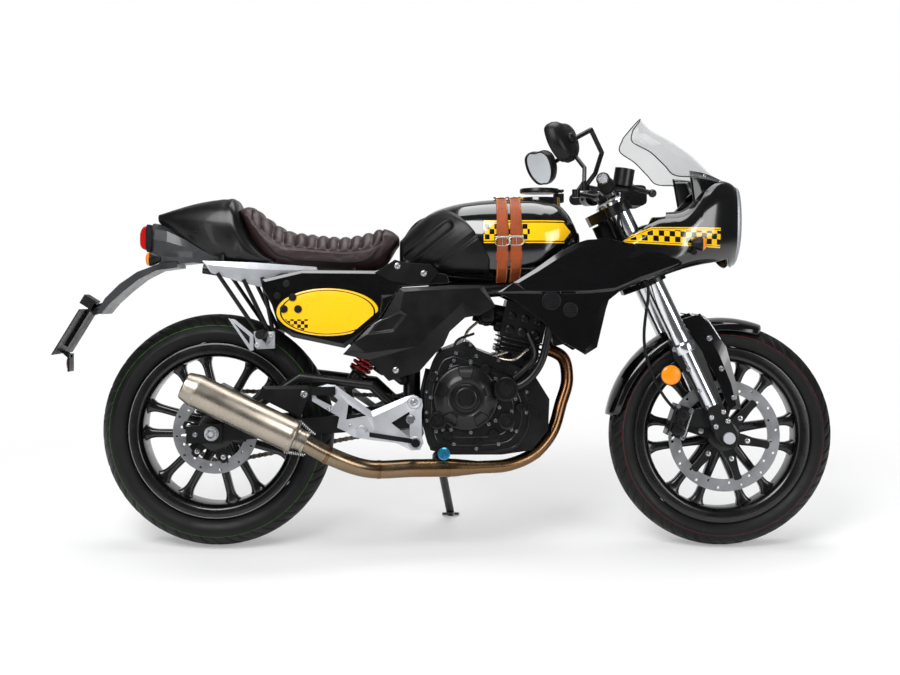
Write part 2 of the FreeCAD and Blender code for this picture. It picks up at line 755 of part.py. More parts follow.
# Front mudguard.
guard_start_deg = 70.0
guard_sweep_deg = 100.0
guard_table_half = 67.0
guard_skin = 5.0
guard_clear = 10.0
guard_skirt = 24.0
guard_shares = [(0.0, 1.0), (0.45, 0.90), (0.88, 0.55), (1.0, 0.0)]
stay_t = 4.0
stay_w = 26.0


def guard_face(grow):
    """Half-round cross section of the mudguard above the axle."""
    base_r = front_tyre_r - guard_skirt + guard_clear
    rise = guard_skirt + grow
    wide = guard_table_half - guard_skin + grow
    right = [(-wide * side, base_r + rise * up) for side, up in reversed(guard_shares)]
    left = [(wide * side, base_r + rise * up) for side, up in guard_shares[1:]]
    return right + left


def make_mudguard():
    outer = guard_face(guard_skin)
    inner = list(reversed(guard_face(0)))
    points = [V(0, y, r) for y, r in outer + inner]
    face = Part.Face(Part.makePolygon(points + [points[0]]))
    shell = face.revolve(V(0, 0, 0), V(0, 1, 0), guard_sweep_deg)
    shell.rotate(V(0, 0, 0), V(0, 1, 0), 90.0 - guard_start_deg - guard_sweep_deg)
    shell.translate(V(front_x, 0, front_tyre_r))
    plate_y = guard_table_half
    high = front_tyre_r - guard_skirt / 2 + guard_clear
    points = [V(front_x - stay_w, -plate_y, front_tyre_r + high), V(front_x, -plate_y, front_tyre_r + high),
              V(front_x + stay_w, -plate_y, front_tyre_r + fork_foot_w),
              V(front_x - stay_w / 2, -plate_y, front_tyre_r + fork_foot_w / 2)]
    stay = Part.Face(Part.makePolygon(points + [points[0]])).extrude(V(0, -stay_t, 0))
    foot_face = -fork_half_span + fork_foot_t / 2
    lug = box(front_x - stay_w / 2, front_x + stay_w / 2, foot_face, -plate_y, front_tyre_r + fork_foot_w / 2,
              front_tyre_r + fork_foot_w)
    pad = box(front_x - stay_w, front_x, -plate_y - stay_t, -plate_y + guard_skin - rest_gap,
              front_tyre_r + high - guard_skirt, front_tyre_r + high - rest_gap)
    stay = joined([stay, lug, pad])
    guard = joined([shell, stay, mirrored(stay)])
    tools = both(leg_foot()) + both(leg_slider()) + both(leg_tube())
    guard = guard.cut(tools)
    keep("front_mudguard", max(guard.Solids, key=lambda s: s.Volume))


# Frame.
spar_r = 22.0
spar_half = 54.0
spar_shares = [(0.0, 0.0), (0.0, 0.44), (0.10, 0.80), (0.45, 0.835), (0.72, 0.91), (1.0, 1.0)]
head_low_over_yoke = 80.0
stay_over_yoke = 105.0
head_low_up = yoke_low_start + head_low_over_yoke
fairing_stay_up = yoke_low_start + stay_over_yoke
fairing_stay_half = 12.0
fairing_bar_ahead = 161.7
fairing_bar_r = 7.0
head_x = fork_point(-fork_offset, 0, head_low_up).x
head_z = fork_point(-fork_offset, 0, head_low_up).z
fairing_bar_x = head_x + fairing_bar_ahead
sub_r = 13.0
sub_half = 88.0
sub_rear_over = 27.5
sub_front_x = placed("subframe front")
sub_front_z = 648.0
sub_rear_x = rear_x - sub_rear_over
sub_rear_z = 728.0
sub_foot_x = placed("subframe foot")
sub_foot_z = 440.0
sub_stay_x = placed("subframe stay")
sub_stay_z = 676.0
seat_post_shares = [0.28, 0.91]
seat_post_h = 72.0
rear_post_h = 44.0
seat_post_r = 8.0


def make_frame():
    head = Part.makeCylinder(head_tube_r, yoke_top_start - yoke_low_start - yoke_low_t - 2 * moving_gap,
                             V(-fork_offset, 0, yoke_low_start + yoke_low_t + moving_gap))
    bore = Part.makeCylinder(stem_r + rest_gap, fork_leg_l + yoke_pitch, V(-fork_offset, 0, 0))
    head = on_fork(head)
    bore = on_fork(bore)
    joint = fork_point(-fork_offset, 0, head_low_up)
    low = V(pivot_x, -spar_half, pivot_z)
    spar_points = []
    for along, up in spar_shares:
        spar_points.append(V(low.x + (joint.x - low.x) * along, low.y, low.z + (joint.z - low.z) * up))
    spar_points[-1] = V(joint.x, -head_tube_r / 2, joint.z)
    spar = frame_of_rods(spar_points, spar_r)
    stay_at = fork_point(-fork_offset, 0, fairing_stay_up)
    stay = box(stay_at.x, fairing_bar_x, -fairing_stay_half, fairing_stay_half, stay_at.z - fairing_stay_half,
               stay_at.z + fairing_stay_half)
    bar = cross_rod(fairing_bar_x, stay_at.z, fairing_bar_r, -fairing_half, fairing_half)
    parts["steering_head"] = [joined([head, stay, bar]).cut(bore)]
    spar = spar.cut([head, bore, stay] + parts["swingarm"])
    spar = spar.common(box(-wheelbase, wheelbase, -2 * spar_half, -rest_gap / 2, 0, wheelbase))
    spar = max(spar.Solids, key=lambda s: s.Volume)
    keep("frame_spars", *both(spar))


def make_subframe():
    top = [V(sub_front_x, -sub_half, sub_front_z), V(sub_rear_x, -sub_half, sub_rear_z)]
    stay = [V(sub_foot_x, -sub_half, sub_foot_z), V(sub_stay_x, -sub_half, sub_stay_z)]
    side = joined([rod(top[0], top[1], sub_r), rod(stay[0], stay[1], sub_r)])
    bridge = cross_rod(sub_rear_x + sub_r, sub_rear_z, sub_r, -sub_half, sub_half)
    front = cross_rod(sub_front_x, sub_front_z, sub_r, -sub_half, sub_half)
    foot = cross_rod(sub_foot_x, sub_foot_z, sub_r, -sub_half, sub_half)
    posts = []
    for share, height in zip(seat_post_shares, (seat_post_h, rear_post_h)):
        at = top[0] + (top[1] - top[0]) * share
        posts.append(rod(at, at + V(0, 0, height), seat_post_r))
        posts.append(mirrored(posts[-1]))
    body = joined([side, mirrored(side), bridge, front, foot] + posts)
    body = body.cut(parts["frame_spars"] + parts["rear_shock"])
    keep("subframe", max(body.Solids, key=lambda s: s.Volume))


# Engine.
case_x0 = placed("case rear")
case_z0 = 250.0
case_l = placed("case length")
case_h = 285.0
case_shares = [(0.0, 0.25), (0.06, 0.04), (0.20, 0.0), (0.62, 0.0), (0.86, 0.04), (0.99, 0.22), (1.0, 0.50),
               (0.88, 0.72), (0.62, 0.86), (0.30, 1.0), (0.12, 0.92), (0.02, 0.62)]
clutch_x = placed("clutch")
clutch_z = 397.0
clutch_r = 84.0
clutch_cap_r = 26.0
pump_x = placed("pump")
pump_z = 420.0
pump_r = 31.0
small_cover_x = placed("small cover")
small_cover_z = 338.0
small_cover_r = 21.0
rear_cover_x = placed("rear cover")
rear_cover_z = 338.0
rear_cover_r = 23.0
starter_x = placed("starter")
starter_z = 511.0
starter_r = 29.0
generator_x = placed("generator")
generator_z = 352.0
generator_r = 78.0
barrel_lean_deg = 12.0
barrel_x = placed("barrel")
barrel_z = 430.0
barrel_l = 104.0
barrel_half = 62.0
barrel_h = 118.0
head_h = 92.0
fin_count = 5
fin_out = 9.0
fin_t = 5.0
intake_r = 26.0
intake_l = 80.0
clutch_cone_share = 0.55
clutch_rim_share = 0.93


def make_engine():
    points = outline(case_shares, case_x0, case_z0, case_l, case_h)
    case = slab(points, -case_half, case_half)
    pocket = racetrack(chain_half_h + moving_gap, sprocket_y - chain_w, case_half + overrun)
    case = case.cut(pocket)
    shaft = cross_rod(front_sprocket_x, front_sprocket_z, rear_axle_r, 0, sprocket_y + sprocket_t)
    face = sprocket(front_sprocket_x, front_sprocket_z, front_sprocket_pitch_r, front_sprocket_teeth, rear_axle_r / 2)
    case = joined([case, shaft, face])
    starter = cross_rod(starter_x, starter_z, starter_r, -case_half + overrun, case_half - overrun)
    case = joined([case, starter])
    barrel = Part.makeBox(barrel_l, 2 * barrel_half, barrel_h, V(-barrel_l / 2, -barrel_half, 0))
    fins = []
    pitch = barrel_h / (fin_count + 1)
    for index in range(fin_count):
        fins.append(Part.makeBox(barrel_l + 2 * fin_out, 2 * barrel_half + 2 * fin_out, fin_t,
                                 V(-barrel_l / 2 - fin_out, -barrel_half - fin_out, pitch * (index + 1))))
    top = Part.makeBox(barrel_l + fin_out, 2 * barrel_half + fin_out, head_h,
                       V(-barrel_l / 2 - fin_out / 2, -barrel_half - fin_out / 2, barrel_h))
    intake_z = barrel_h + head_h / 2
    intake = rod(V(-barrel_l / 2 - intake_l, 0, intake_z), V(0, 0, intake_z), intake_r)
    cylinder = joined([barrel, top, intake] + fins)
    cylinder.rotate(V(0, 0, 0), V(0, 1, 0), barrel_lean_deg)
    cylinder.translate(V(barrel_x, 0, barrel_z))
    keep("crankcase", max(case.Solids, key=lambda s: s.Volume))
    cylinder = cylinder.cut(case)
    keep("cylinder_and_head", max(cylinder.Solids, key=lambda s: s.Volume))
    out = -case_half - cover_depth
    foot = -case_half - cover_depth / 3
    cone = Part.makeCone(clutch_r * clutch_rim_share, clutch_r * clutch_cone_share, cover_depth * 2 / 3,
                         V(clutch_x, foot, clutch_z), V(0, -1, 0))
    clutch = joined([cross_rod(clutch_x, clutch_z, clutch_r, foot, -case_half), cone,
                     cross_rod(clutch_x, clutch_z, clutch_cap_r, out - cover_depth / 4, out)])
    pump_gap = cross_rod(clutch_x, clutch_z, clutch_r + rest_gap, out - cover_depth, -case_half)
    pump = cross_rod(pump_x, pump_z, pump_r, out, -case_half).cut(pump_gap)
    small = cross_rod(small_cover_x, small_cover_z, small_cover_r, out + cover_depth / 4, -case_half)
    back = cross_rod(rear_cover_x, rear_cover_z, rear_cover_r, out + cover_depth / 2, -case_half).cut(pump_gap)
    generator = cross_rod(generator_x, generator_z, generator_r, case_half, case_half + cover_depth)
    keep("engine_covers", clutch, pump, small.cut(pump_gap), back, generator)


# Exhaust.
header_r = 15.0
collector_r = 20.0
silencer_r = 42.0
silencer_y = 200.0
silencer_rear_x = placed("silencer rear")
silencer_rear_z = 434.0
silencer_front_x = placed("silencer front")
silencer_front_z = 304.0
end_cap_l = 30.0
outlet_r = 21.0
outlet_depth = 30.0
port_z = 522.0
pipe_low_z = 217.0
# Along as a share of the wheelbase, out as a share of the silencer's distance, up as a share of the port's height.
header_shares = [(0.148, 0, 1.0), (0.187, 0, 0.946), (0.195, 0.05, 0.843), (0.181, 0.13, 0.713),
                 (0.1615, 0.24, 0.575), (0.125, 0.36, 0.475), (0.0755, 0.47, 0.425)]
# Along and out as before, up from the pipe's lowest line as a share of the silencer's rise from it.
collector_shares = [(0.015, 0.55, 0), (-0.107, 0.63, 0), (-0.203, 0.73, 0.023), (-0.2695, 0.88, 0.425)]


def make_exhaust():
    rear = V(silencer_rear_x, -silencer_y, silencer_rear_z)
    front = V(silencer_front_x, -silencer_y, silencer_front_z)
    rise = silencer_front_z - pipe_low_z
    down = [V(wheelbase * along, -silencer_y * out, port_z * up) for along, out, up in header_shares]
    back = [V(wheelbase * along, -silencer_y * out, pipe_low_z + rise * up) for along, out, up in collector_shares]
    header = bent_tube(down + back[:1], header_r)
    mid = bent_tube(back + [front], collector_r)
    way = (rear - front) * (1 / (rear - front).Length)
    body_end = rear - way * end_cap_l
    body = rod(front, body_end, silencer_r)
    nose = Part.makeCone(collector_r + overrun, silencer_r, end_cap_l / 2, front - way * end_cap_l / 2, way)
    can = joined([body, nose])
    pipe = joined([header, mid]).cut([can] + parts["cylinder_and_head"] + parts["crankcase"])
    keep("exhaust_pipe", max(pipe.Solids, key=lambda s: s.Volume))
    keep("silencer", can)
    cap = Part.makeCone(silencer_r, silencer_r * 4 / 5, end_cap_l, body_end, way)
    cap = cap.cut(rod(rear - way * outlet_depth * 4 / 5, rear + way * overrun, outlet_r))
    keep("silencer_end_cap", cap)


# Tank, seat and tail.
tank_rear_x = placed("tank rear")
tank_z = 714.0
tank_yoke_gap = 37.0
tank_front_x = fork_point(-fork_offset - yoke_half_depth, 0, yoke_top_start).x - tank_yoke_gap
tank_l = tank_front_x - tank_rear_x
tank_h = 197.0
tank_half = 150.0
tank_stations_shares = [(0.0, 0.10, 0.44, 0.52), (0.07, 0.04, 0.62, 0.60), (0.17, 0.0, 0.81, 0.72),
                        (0.28, 0.0, 0.91, 0.84), (0.42, 0.0, 0.97, 0.95), (0.62, 0.0, 1.0, 1.0),
                        (0.80, 0.05, 0.99, 0.98), (0.90, 0.20, 0.91, 0.86), (0.97, 0.34, 0.68, 0.66),
                        (1.0, 0.40, 0.50, 0.50)]
tank_round_shares = both_halves([(0, 1.0), (0.40, 0.985), (0.70, 0.91), (0.90, 0.76), (1.0, 0.52), (0.98, 0.25),
                                 (0.86, 0.06), (0.74, 0)])
pad_t = 7.0
pad_l = 236.0
pad_h = 170.0
pad_shares = [(0.0, 0.0), (0.0, 0.50), (0.12, 0.74), (0.36, 0.93), (0.50, 1.0), (0.66, 0.86), (0.84, 0.56),
              (0.96, 0.22), (1.0, 0.0)]
strap_w = 29.0
strap_t = 3.0
strap_share = 0.532
strap_x = tank_rear_x + tank_l * strap_share
strap_pitch = 35.0
cap_back = 99.0
cap_x = tank_front_x - cap_back
cap_r = 52.0
cap_t = 12.0
filler_r = 55.0
tank_foot_x = placed("tank foot")
tank_foot_l = 60.0
tank_foot_h = 24.0
filler_h = 12.0
hinge_out = 8.0
hinge_r = 4.0
hinge_half = 12.0
hinge_ear_t = 4.0


def tank_shape(grow=0):
    return hull(tank_rear_x, tank_z, tank_l, tank_h, tank_half, tank_stations_shares, tank_round_shares, grow)


def make_tank():
    tank = tank_shape()
    top_z = tank_z + tank_h
    filler = Part.makeCylinder(filler_r, filler_h + filler_r, V(cap_x, 0, top_z - filler_r + filler_h / 2))
    foot = box(tank_foot_x, tank_foot_x + tank_foot_l, -spar_half - spar_r / 2, spar_half + spar_r / 2,
               tank_z - tank_foot_h, tank_z + overrun)
    collared = joined([tank, filler, foot]).cut(parts["frame_spars"])
    collared = max(collared.Solids, key=lambda s: s.Volume)
    lid_z = top_z + filler_h * 3 / 2 + rest_gap
    lid = Part.makeCylinder(cap_r, cap_t, V(cap_x, 0, lid_z))
    hinge_x = cap_x + cap_r + hinge_out
    hinge_z = lid_z + cap_t / 2
    ear = box(cap_x + cap_r - cap_t, hinge_x, -hinge_half, hinge_half, hinge_z - hinge_r, hinge_z + hinge_r)
    knuckle = cross_rod(hinge_x, hinge_z, hinge_r, -hinge_half, hinge_half)
    keep("fuel_cap", joined([lid, ear, knuckle]))
    for y in (-hinge_half - hinge_ear_t - rest_gap, hinge_half + rest_gap):
        post = box(hinge_x - hinge_r, hinge_x + hinge_r, y, y + hinge_ear_t, top_z - filler_h, hinge_z)
        base = box(cap_x + cap_r - 2 * hinge_out, hinge_x + hinge_r, y, y + hinge_ear_t, top_z - filler_h,
                   lid_z - rest_gap)
        post = post.fuse(base)
        cheek = cross_rod(hinge_x, hinge_z, hinge_r, y, y + hinge_ear_t)
        collared = joined([collared, post, cheek])
    pad_zone = slab(outline(pad_shares, tank_rear_x, tank_z, pad_l, pad_h), -2 * tank_half, -tank_half / 2)
    pad = tank_shape(pad_t).common(pad_zone).cut(tank)
    pad = max(pad.Solids, key=lambda s: s.Volume)
    keep("tank_side_pads", *both(pad))
    shell = tank_shape(strap_t).cut(tank)
    straps = []
    for index in range(2):
        x = strap_x + strap_pitch * index
        straps.append(shell.common(box(x, x + strap_w, -2 * tank_half, 2 * tank_half, tank_z, 2 * top_z)))
    keep("tank_straps", *straps)
    keep("fuel_tank", collared)


seat_rear_x = placed("seat rear")
seat_z = 706.0
seat_tank_gap = 2.0
seat_l = tank_rear_x - seat_tank_gap - seat_rear_x
seat_h = 187.0
seat_half = 122.0
seat_stations_shares = [(0.0, 0.90, 0.97, 0.55), (0.045, 0.70, 1.0, 0.66), (0.12, 0.44, 0.89, 0.80),
                        (0.21, 0.25, 0.74, 0.90), (0.31, 0.18, 0.63, 0.97), (0.43, 0.155, 0.59, 1.0),
                        (0.55, 0.14, 0.56, 1.0), (0.68, 0.12, 0.55, 0.96), (0.81, 0.14, 0.61, 0.86),
                        (0.90, 0.25, 0.67, 0.74), (0.955, 0.37, 0.65, 0.62), (1.0, 0.49, 0.58, 0.50)]
seat_round_shares = both_halves([(0, 1.0), (0.55, 0.97), (0.85, 0.84), (1.0, 0.58), (0.97, 0.22), (0.86, 0)])

cowl_over = 154.5
cowl_under_seat = 95.0
cowl_rear_x = rear_x - cowl_over
cowl_z = 739.0
cowl_l = seat_rear_x + cowl_under_seat - cowl_rear_x
cowl_h = 172.0
cowl_half = 104.0
cowl_stations_shares = [(0.0, 0.68, 0.77, 0.40), (0.16, 0.51, 0.86, 0.62), (0.33, 0.31, 0.94, 0.80),
                        (0.50, 0.155, 0.99, 0.92), (0.57, 0.11, 1.0, 0.95), (0.68, 0.05, 0.91, 0.99),
                        (0.72, 0.03, 0.69, 1.0), (0.86, 0.0, 0.28, 1.0), (1.0, 0.03, 0.06, 1.0)]
tray_over = 16.0
tray_rear_x = cowl_rear_x - tray_over
tray_z = 726.0
tray_l = 250.0
tray_h = 124.0
tray_half = 96.0
tray_stations_shares = [(0.0, 0.17, 1.0, 0.50), (0.17, 0.09, 0.95, 0.62), (0.45, 0.15, 0.62, 0.78),
                        (0.75, 0.10, 0.34, 0.86), (1.0, 0.04, 0.18, 0.90)]
lamp_l = 28.0
lamp_z = 776.0
lamp_h = 64.0
lamp_half = 58.0
lamp_shares = [(0.0, 0.15), (0.0, 0.75), (0.35, 1.0), (1.0, 1.0), (1.0, 0.0), (0.45, 0.0)]


def make_seat_and_tail():
    tank = parts["fuel_tank"]
    seat = hull(seat_rear_x, seat_z, seat_l, seat_h, seat_half, seat_stations_shares, seat_round_shares)
    seat = seat.cut(tank + parts["tank_side_pads"] + parts["subframe"])
    seat = max(seat.Solids, key=lambda s: s.Volume)
    cowl = hull(cowl_rear_x, cowl_z, cowl_l, cowl_h, cowl_half, cowl_stations_shares, seat_round_shares)
    cowl = cowl.cut([seat] + parts["subframe"])
    cowl = max(cowl.Solids, key=lambda s: s.Volume)
    tray = hull(tray_rear_x, tray_z, tray_l, tray_h, tray_half, tray_stations_shares, seat_round_shares)
    tray = tray.cut([cowl, seat] + parts["subframe"])
    tray = max(tray.Solids, key=lambda s: s.Volume)
    keep("seat", seat)
    keep("tail_cowl", cowl)
    parts["tail_tray"] = [tray]
    lamp = slab(outline(lamp_shares, tray_rear_x - lamp_l, lamp_z, lamp_l, lamp_h), -lamp_half, lamp_half)
    keep("tail_lamp", lamp.cut(tray))


# Tail fittings.
flap_over = 309.5
flap_x = rear_x - flap_over
flap_z = 610.0
flap_l = 210.0
flap_h = 138.0
flap_half = 62.0
flap_shares = [(0.0, 0.04), (0.05, 0.0), (0.16, 0.20), (0.32, 0.42), (0.52, 0.66), (0.74, 0.83), (1.0, 0.88),
               (1.0, 0.99), (0.78, 0.96), (0.50, 0.80), (0.28, 0.57), (0.10, 0.30)]
plate_top_over = 34.0
plate_low_over = 106.0
plate_top_x = flap_x - plate_top_over
plate_top_z = 622.0
plate_low_x = flap_x - plate_low_over
plate_low_z = 505.0
plate_t = 3.0
plate_half = 100.0
plate_back_t = 8.0
plate_arm_half = 26.0
plate_hole_r = 3.0
plate_lamp_l = 27.0
plate_lamp_h = 26.0
plate_lamp_half = 26.0
tail_lamp_out = 92.0
blinker_l = 44.0
blinker_r = 19.0
blinker_stem_r = 6.0
rear_blinker_over = 3.0
rear_blinker_x = cowl_rear_x - rear_blinker_over
rear_blinker_z = 752.0


def blinker(x, z, y0, inner_y, way):
    """Turn lamp: stem, round body and a lens. way is +1 when the lens looks forward."""
    y = y0 + blinker_r
    body = Part.makeCone(blinker_r, blinker_r / 2, blinker_l * 3 / 5, V(x, -y, z), V(-way, 0, 0))
    stem = rod(V(x - way * blinker_l / 5, -y, z), V(x - way * blinker_l / 5, -inner_y, z), blinker_stem_r)
    lens = Part.makeCone(blinker_r, blinker_r * 3 / 4, blinker_l * 1 / 4, V(x, -y, z), V(way, 0, 0))
    return joined([body, stem]), lens


def make_tail_fittings():
    tray = parts["tail_tray"]
    cowl = parts["tail_cowl"]
    flap = slab(outline(flap_shares, flap_x, flap_z, flap_l, flap_h), -flap_half, flap_half)
    flap = joined([flap] + tray).cut(cowl + parts["seat"] + parts["subframe"] + parts["tail_lamp"])
    flap = max(flap.Solids, key=lambda s: s.Volume)
    keep("tail_mudguard", flap)
    del parts["tail_tray"]
    tray = [flap]
    way = V(plate_low_x - plate_top_x, 0, plate_low_z - plate_top_z)
    unit = way * (1 / way.Length)
    out = V(unit.z, 0, -unit.x)
    top = V(plate_top_x, -plate_half, plate_top_z)

    def sheet(start, width, thick, length):
        corners = [start, start + V(0, width, 0), start + V(0, width, 0) + out * thick, start + out * thick]
        return Part.Face(Part.makePolygon(corners + [corners[0]])).extrude(unit * length)

    plate = sheet(top, 2 * plate_half, plate_t, way.Length)
    back = sheet(V(plate_top_x, -plate_arm_half, plate_top_z) - out * plate_back_t - unit * plate_lamp_h,
                 2 * plate_arm_half, plate_back_t, way.Length)
    link = rod(V(flap_x + flap_l / 6, 0, flap_z + flap_h / 5), V(plate_top_x, 0, plate_top_z) - out * plate_back_t,
               plate_arm_half / 2)
    light = sheet(V(plate_top_x, -plate_lamp_half, plate_top_z) - out * plate_back_t - unit * (plate_lamp_h + overrun),
                  2 * plate_lamp_half, plate_back_t + plate_lamp_l, plate_lamp_h)
    back = joined([back, link, light]).cut([flap, plate])
    back = max(back.Solids, key=lambda s: s.Volume)
    keep("number_plate", plate)
    keep("plate_bracket", back)
    body, lens = blinker(rear_blinker_x, rear_blinker_z, tail_lamp_out, tray_half / 3, -1)
    body = body.cut(tray + [flap])
    body = max(body.Solids, key=lambda s: s.Volume)
    keep("rear_indicators", *both(joined([body, lens])))


# Side panels.
oval_x = placed("number board")
oval_z = 616.0
oval_half_l = 131.0
oval_half_h = 61.0
oval_y = 138.0
oval_t = 10.0
oval_backing_y = 101.0
oval_backing_half_l = 90.0
oval_backing_half_h = 34.0
panel_t = 10.0
# Along and up from the board's middle, as shares of its half length and half height.
panel_shares = [(-1.29, 1.377), (-0.504, 1.77), (0.908, 1.738), (1.328, 2.0), (2.321, 1.574),
                (2.374, 1.213), (1.397, 1.082), (1.0, -0.295), (0.756, -0.639), (0.466, -1.246),
                (0.328, -1.508), (-0.687, -1.049), (-0.954, -0.672), (-1.092, 0.295), (-1.29, 1.049)]
cover_x0 = placed("frame cover rear")
cover_z0 = 440.0
cover_l = placed("frame cover length")
cover_h = 245.0
cover_t = 14.0
cover_out_y = 139.0
boss_r = 9.0
boss_shares = [(0.733, 0.931), (0.413, 0.327)]
cover_shares = [(0.25, 0.64), (0.37, 0.97), (0.70, 1.0), (0.92, 1.0), (1.0, 0.78), (0.90, 0.69), (0.80, 0.66),
                (0.70, 0.52), (0.66, 0.37), (0.61, 0.30), (0.50, 0.10), (0.30, 0.0), (0.17, 0.22), (0.0, 0.28),
                (0.07, 0.40), (0.17, 0.56)]
trim_x0 = sub_rear_x
trim_z0 = 676.0
trim_l = 300.0
trim_h = 72.0
trim_in_y = 101.0
trim_t = 9.0
trim_shares = [(0.0, 1.0), (0.42, 0.95), (0.98, 0.78), (1.0, 0.60), (0.68, 0.55), (0.60, 0.42), (0.57, 0.0),
               (0.38, 0.18), (0.08, 0.55)]


def make_side_panels():
    ellipse = Part.Ellipse(V(0, 0, 0), oval_half_l, oval_half_h)
    disc_face = Part.Face(Part.Wire(ellipse.toShape()))
    disc_face.rotate(V(0, 0, 0), V(1, 0, 0), 90.0)
    disc_face.translate(V(oval_x, -oval_y, oval_z))
    oval = disc_face.extrude(V(0, -oval_t, 0))
    backing = box(oval_x - oval_backing_half_l, oval_x + oval_backing_half_l, -oval_y, -oval_backing_y,
                  oval_z - oval_backing_half_h, oval_z + oval_backing_half_h)
    panel = [(oval_x + oval_half_l * along, oval_z + oval_half_h * up) for along, up in panel_shares]
    board = joined([oval, backing, slab(panel, -oval_y, -oval_y + panel_t)])
    keep("side_covers", *both(board))
    cover = slab(outline(cover_shares, cover_x0, cover_z0, cover_l, cover_h), -cover_out_y, -cover_out_y + cover_t)
    bosses = [cross_rod(x, z, boss_r, -cover_out_y + cover_t / 2, -spar_half)
              for x, z in outline(boss_shares, cover_x0, cover_z0, cover_l, cover_h)]
    cover = joined([cover] + bosses).cut([board] + parts["frame_spars"] + parts["subframe"])
    cover = max(cover.Solids, key=lambda s: s.Volume)
    keep("frame_covers", *both(cover))
    trim = slab(outline(trim_shares, trim_x0, trim_z0, trim_l, trim_h), -trim_in_y - trim_t, -trim_in_y)
    trim = trim.cut(parts["tail_cowl"] + parts["seat"] + parts["tail_mudguard"])
    trim = max(trim.Solids, key=lambda s: s.Volume)
    parts["tail_trim"] = [trim]


# Foot rests.
bracket_t = 8.0
bracket_x0 = placed("foot bracket rear")
bracket_z0 = 268.0
bracket_l = placed("foot bracket length")
bracket_h = 172.0
bracket_shares = [(0.0, 0.894), (0.136, 0.954), (0.211, 0.939), (0.365, 0.761), (0.537, 0.553),
                  (0.855, 0.768), (0.927, 0.798), (0.995, 0.731), (1.008, 0.642), (0.995, 0.538),
                  (0.995, 0.181), (1.013, 0.078), (0.981, -0.026), (0.9, -0.034), (0.764, 0.078),
                  (0.547, 0.122), (0.374, 0.167), (0.302, 0.256), (0.23, 0.308), (0.252, 0.464),
                  (0.121, 0.582), (0.003, 0.701)]
bracket_hole_shares = [(0.891, 0.545), (0.746, 0.404), (0.9, 0.226)]
arm_hole_shares = [(0.311, 0.642), (0.492, 0.464), (0.284, 0.419)]
peg_x = placed("peg")
peg_z = 316.0
peg_r = 12.0
peg_l = 92.0
toe_x = placed("toe")
toe_z = 286.0
toe_r = 11.0
toe_l = 44.0
pedal_r = 6.0
pedal_t = 9.0
hanger_inset = 40.0
hanger_x0 = trim_x0 + hanger_inset
hanger_z0 = 548.0
hanger_l = 140.0
hanger_h = 172.0
hanger_y = 112.0
hanger_rod_r = 6.0
hanger_rear_shares = [(0.0, 1.0), (0.75, 0.08)]
hanger_front_shares = [(0.48, 0.90), (0.97, 0.06)]
hanger_peg_r = 13.0
hanger_peg_l = 86.0
mount_plate_x0 = placed("silencer hanger")
mount_plate_z0 = 346.0
mount_plate_l = 122.0
mount_plate_h = 84.0
mount_plate_shares = [(0.0, 0.62), (0.04, 1.0), (0.98, 1.0), (1.0, 0.66), (0.88, 0.0)]


def make_foot_rests():
    points = outline(bracket_shares, bracket_x0, bracket_z0, bracket_l, bracket_h)
    plate = slab(points, -bracket_y - bracket_t, -bracket_y)
    holes = [slab(outline(shares, bracket_x0, bracket_z0, bracket_l, bracket_h), -bracket_y - bracket_t - overrun,
                  -bracket_y + overrun) for shares in (bracket_hole_shares, arm_hole_shares)]
    plate = plate.cut(holes)
    hanger = slab(outline(mount_plate_shares, mount_plate_x0, mount_plate_z0, mount_plate_l, mount_plate_h),
                  -bracket_y - bracket_t - bracket_t, -bracket_y - bracket_t).cut(parts["silencer"])
    stay = box(mount_plate_x0 + mount_plate_l / 2, bracket_x0 + bracket_l / 4, -bracket_y - bracket_t, -bracket_y,
               mount_plate_z0 + mount_plate_h * 2 / 3, mount_plate_z0 + mount_plate_h)
    right = joined([plate, stay, hanger])
    keep("foot_brackets", right, mirrored(plate))
    face = -bracket_y - bracket_t
    peg = cross_rod(peg_x, peg_z, peg_r, face - peg_l, face)
    toe = cross_rod(toe_x, toe_z, toe_r, face - toe_l, face - pedal_t / 2)
    pivot_at = (peg_x + peg_r * 2, peg_z - peg_r)
    link = slab([(pivot_at[0] - pedal_r, pivot_at[1] - pedal_r), (toe_x, toe_z - pedal_r), (toe_x, toe_z + pedal_r),
                 (pivot_at[0] - pedal_r, pivot_at[1] + pedal_r)], face - pedal_t, face)
    pedal = toe.fuse(link)
    keep("foot_pegs", *both(peg))
    keep("foot_pedals", *both(pedal))
    corner = (hanger_x0, hanger_z0, hanger_l, hanger_h)
    rods = []
    for shares in (hanger_rear_shares, hanger_front_shares):
        (xa, za), (xb, zb) = outline(shares, *corner)
        rods.append(rod(V(xa, -hanger_y, za), V(xb, -hanger_y, zb), hanger_rod_r))
    (xa, za), (xb, zb) = outline([hanger_rear_shares[1], hanger_front_shares[1]], *corner)
    foot = rod(V(xa, -hanger_y, za), V(xb, -hanger_y, zb), hanger_rod_r)
    frame = joined(rods + [foot] + parts["tail_trim"])
    mid_x = (xa + xb) / 2
    mid_z = (za + zb) / 2
    peg = cross_rod(mid_x, mid_z, hanger_peg_r, -hanger_y - hanger_rod_r - hanger_peg_l, -hanger_y - hanger_rod_r)
    frame = joined([frame, peg]).cut(parts["subframe"] + parts["tail_cowl"] + parts["seat"] + parts["tail_mudguard"])
    keep("tail_trim", *both(max(frame.Solids, key=lambda s: s.Volume)))


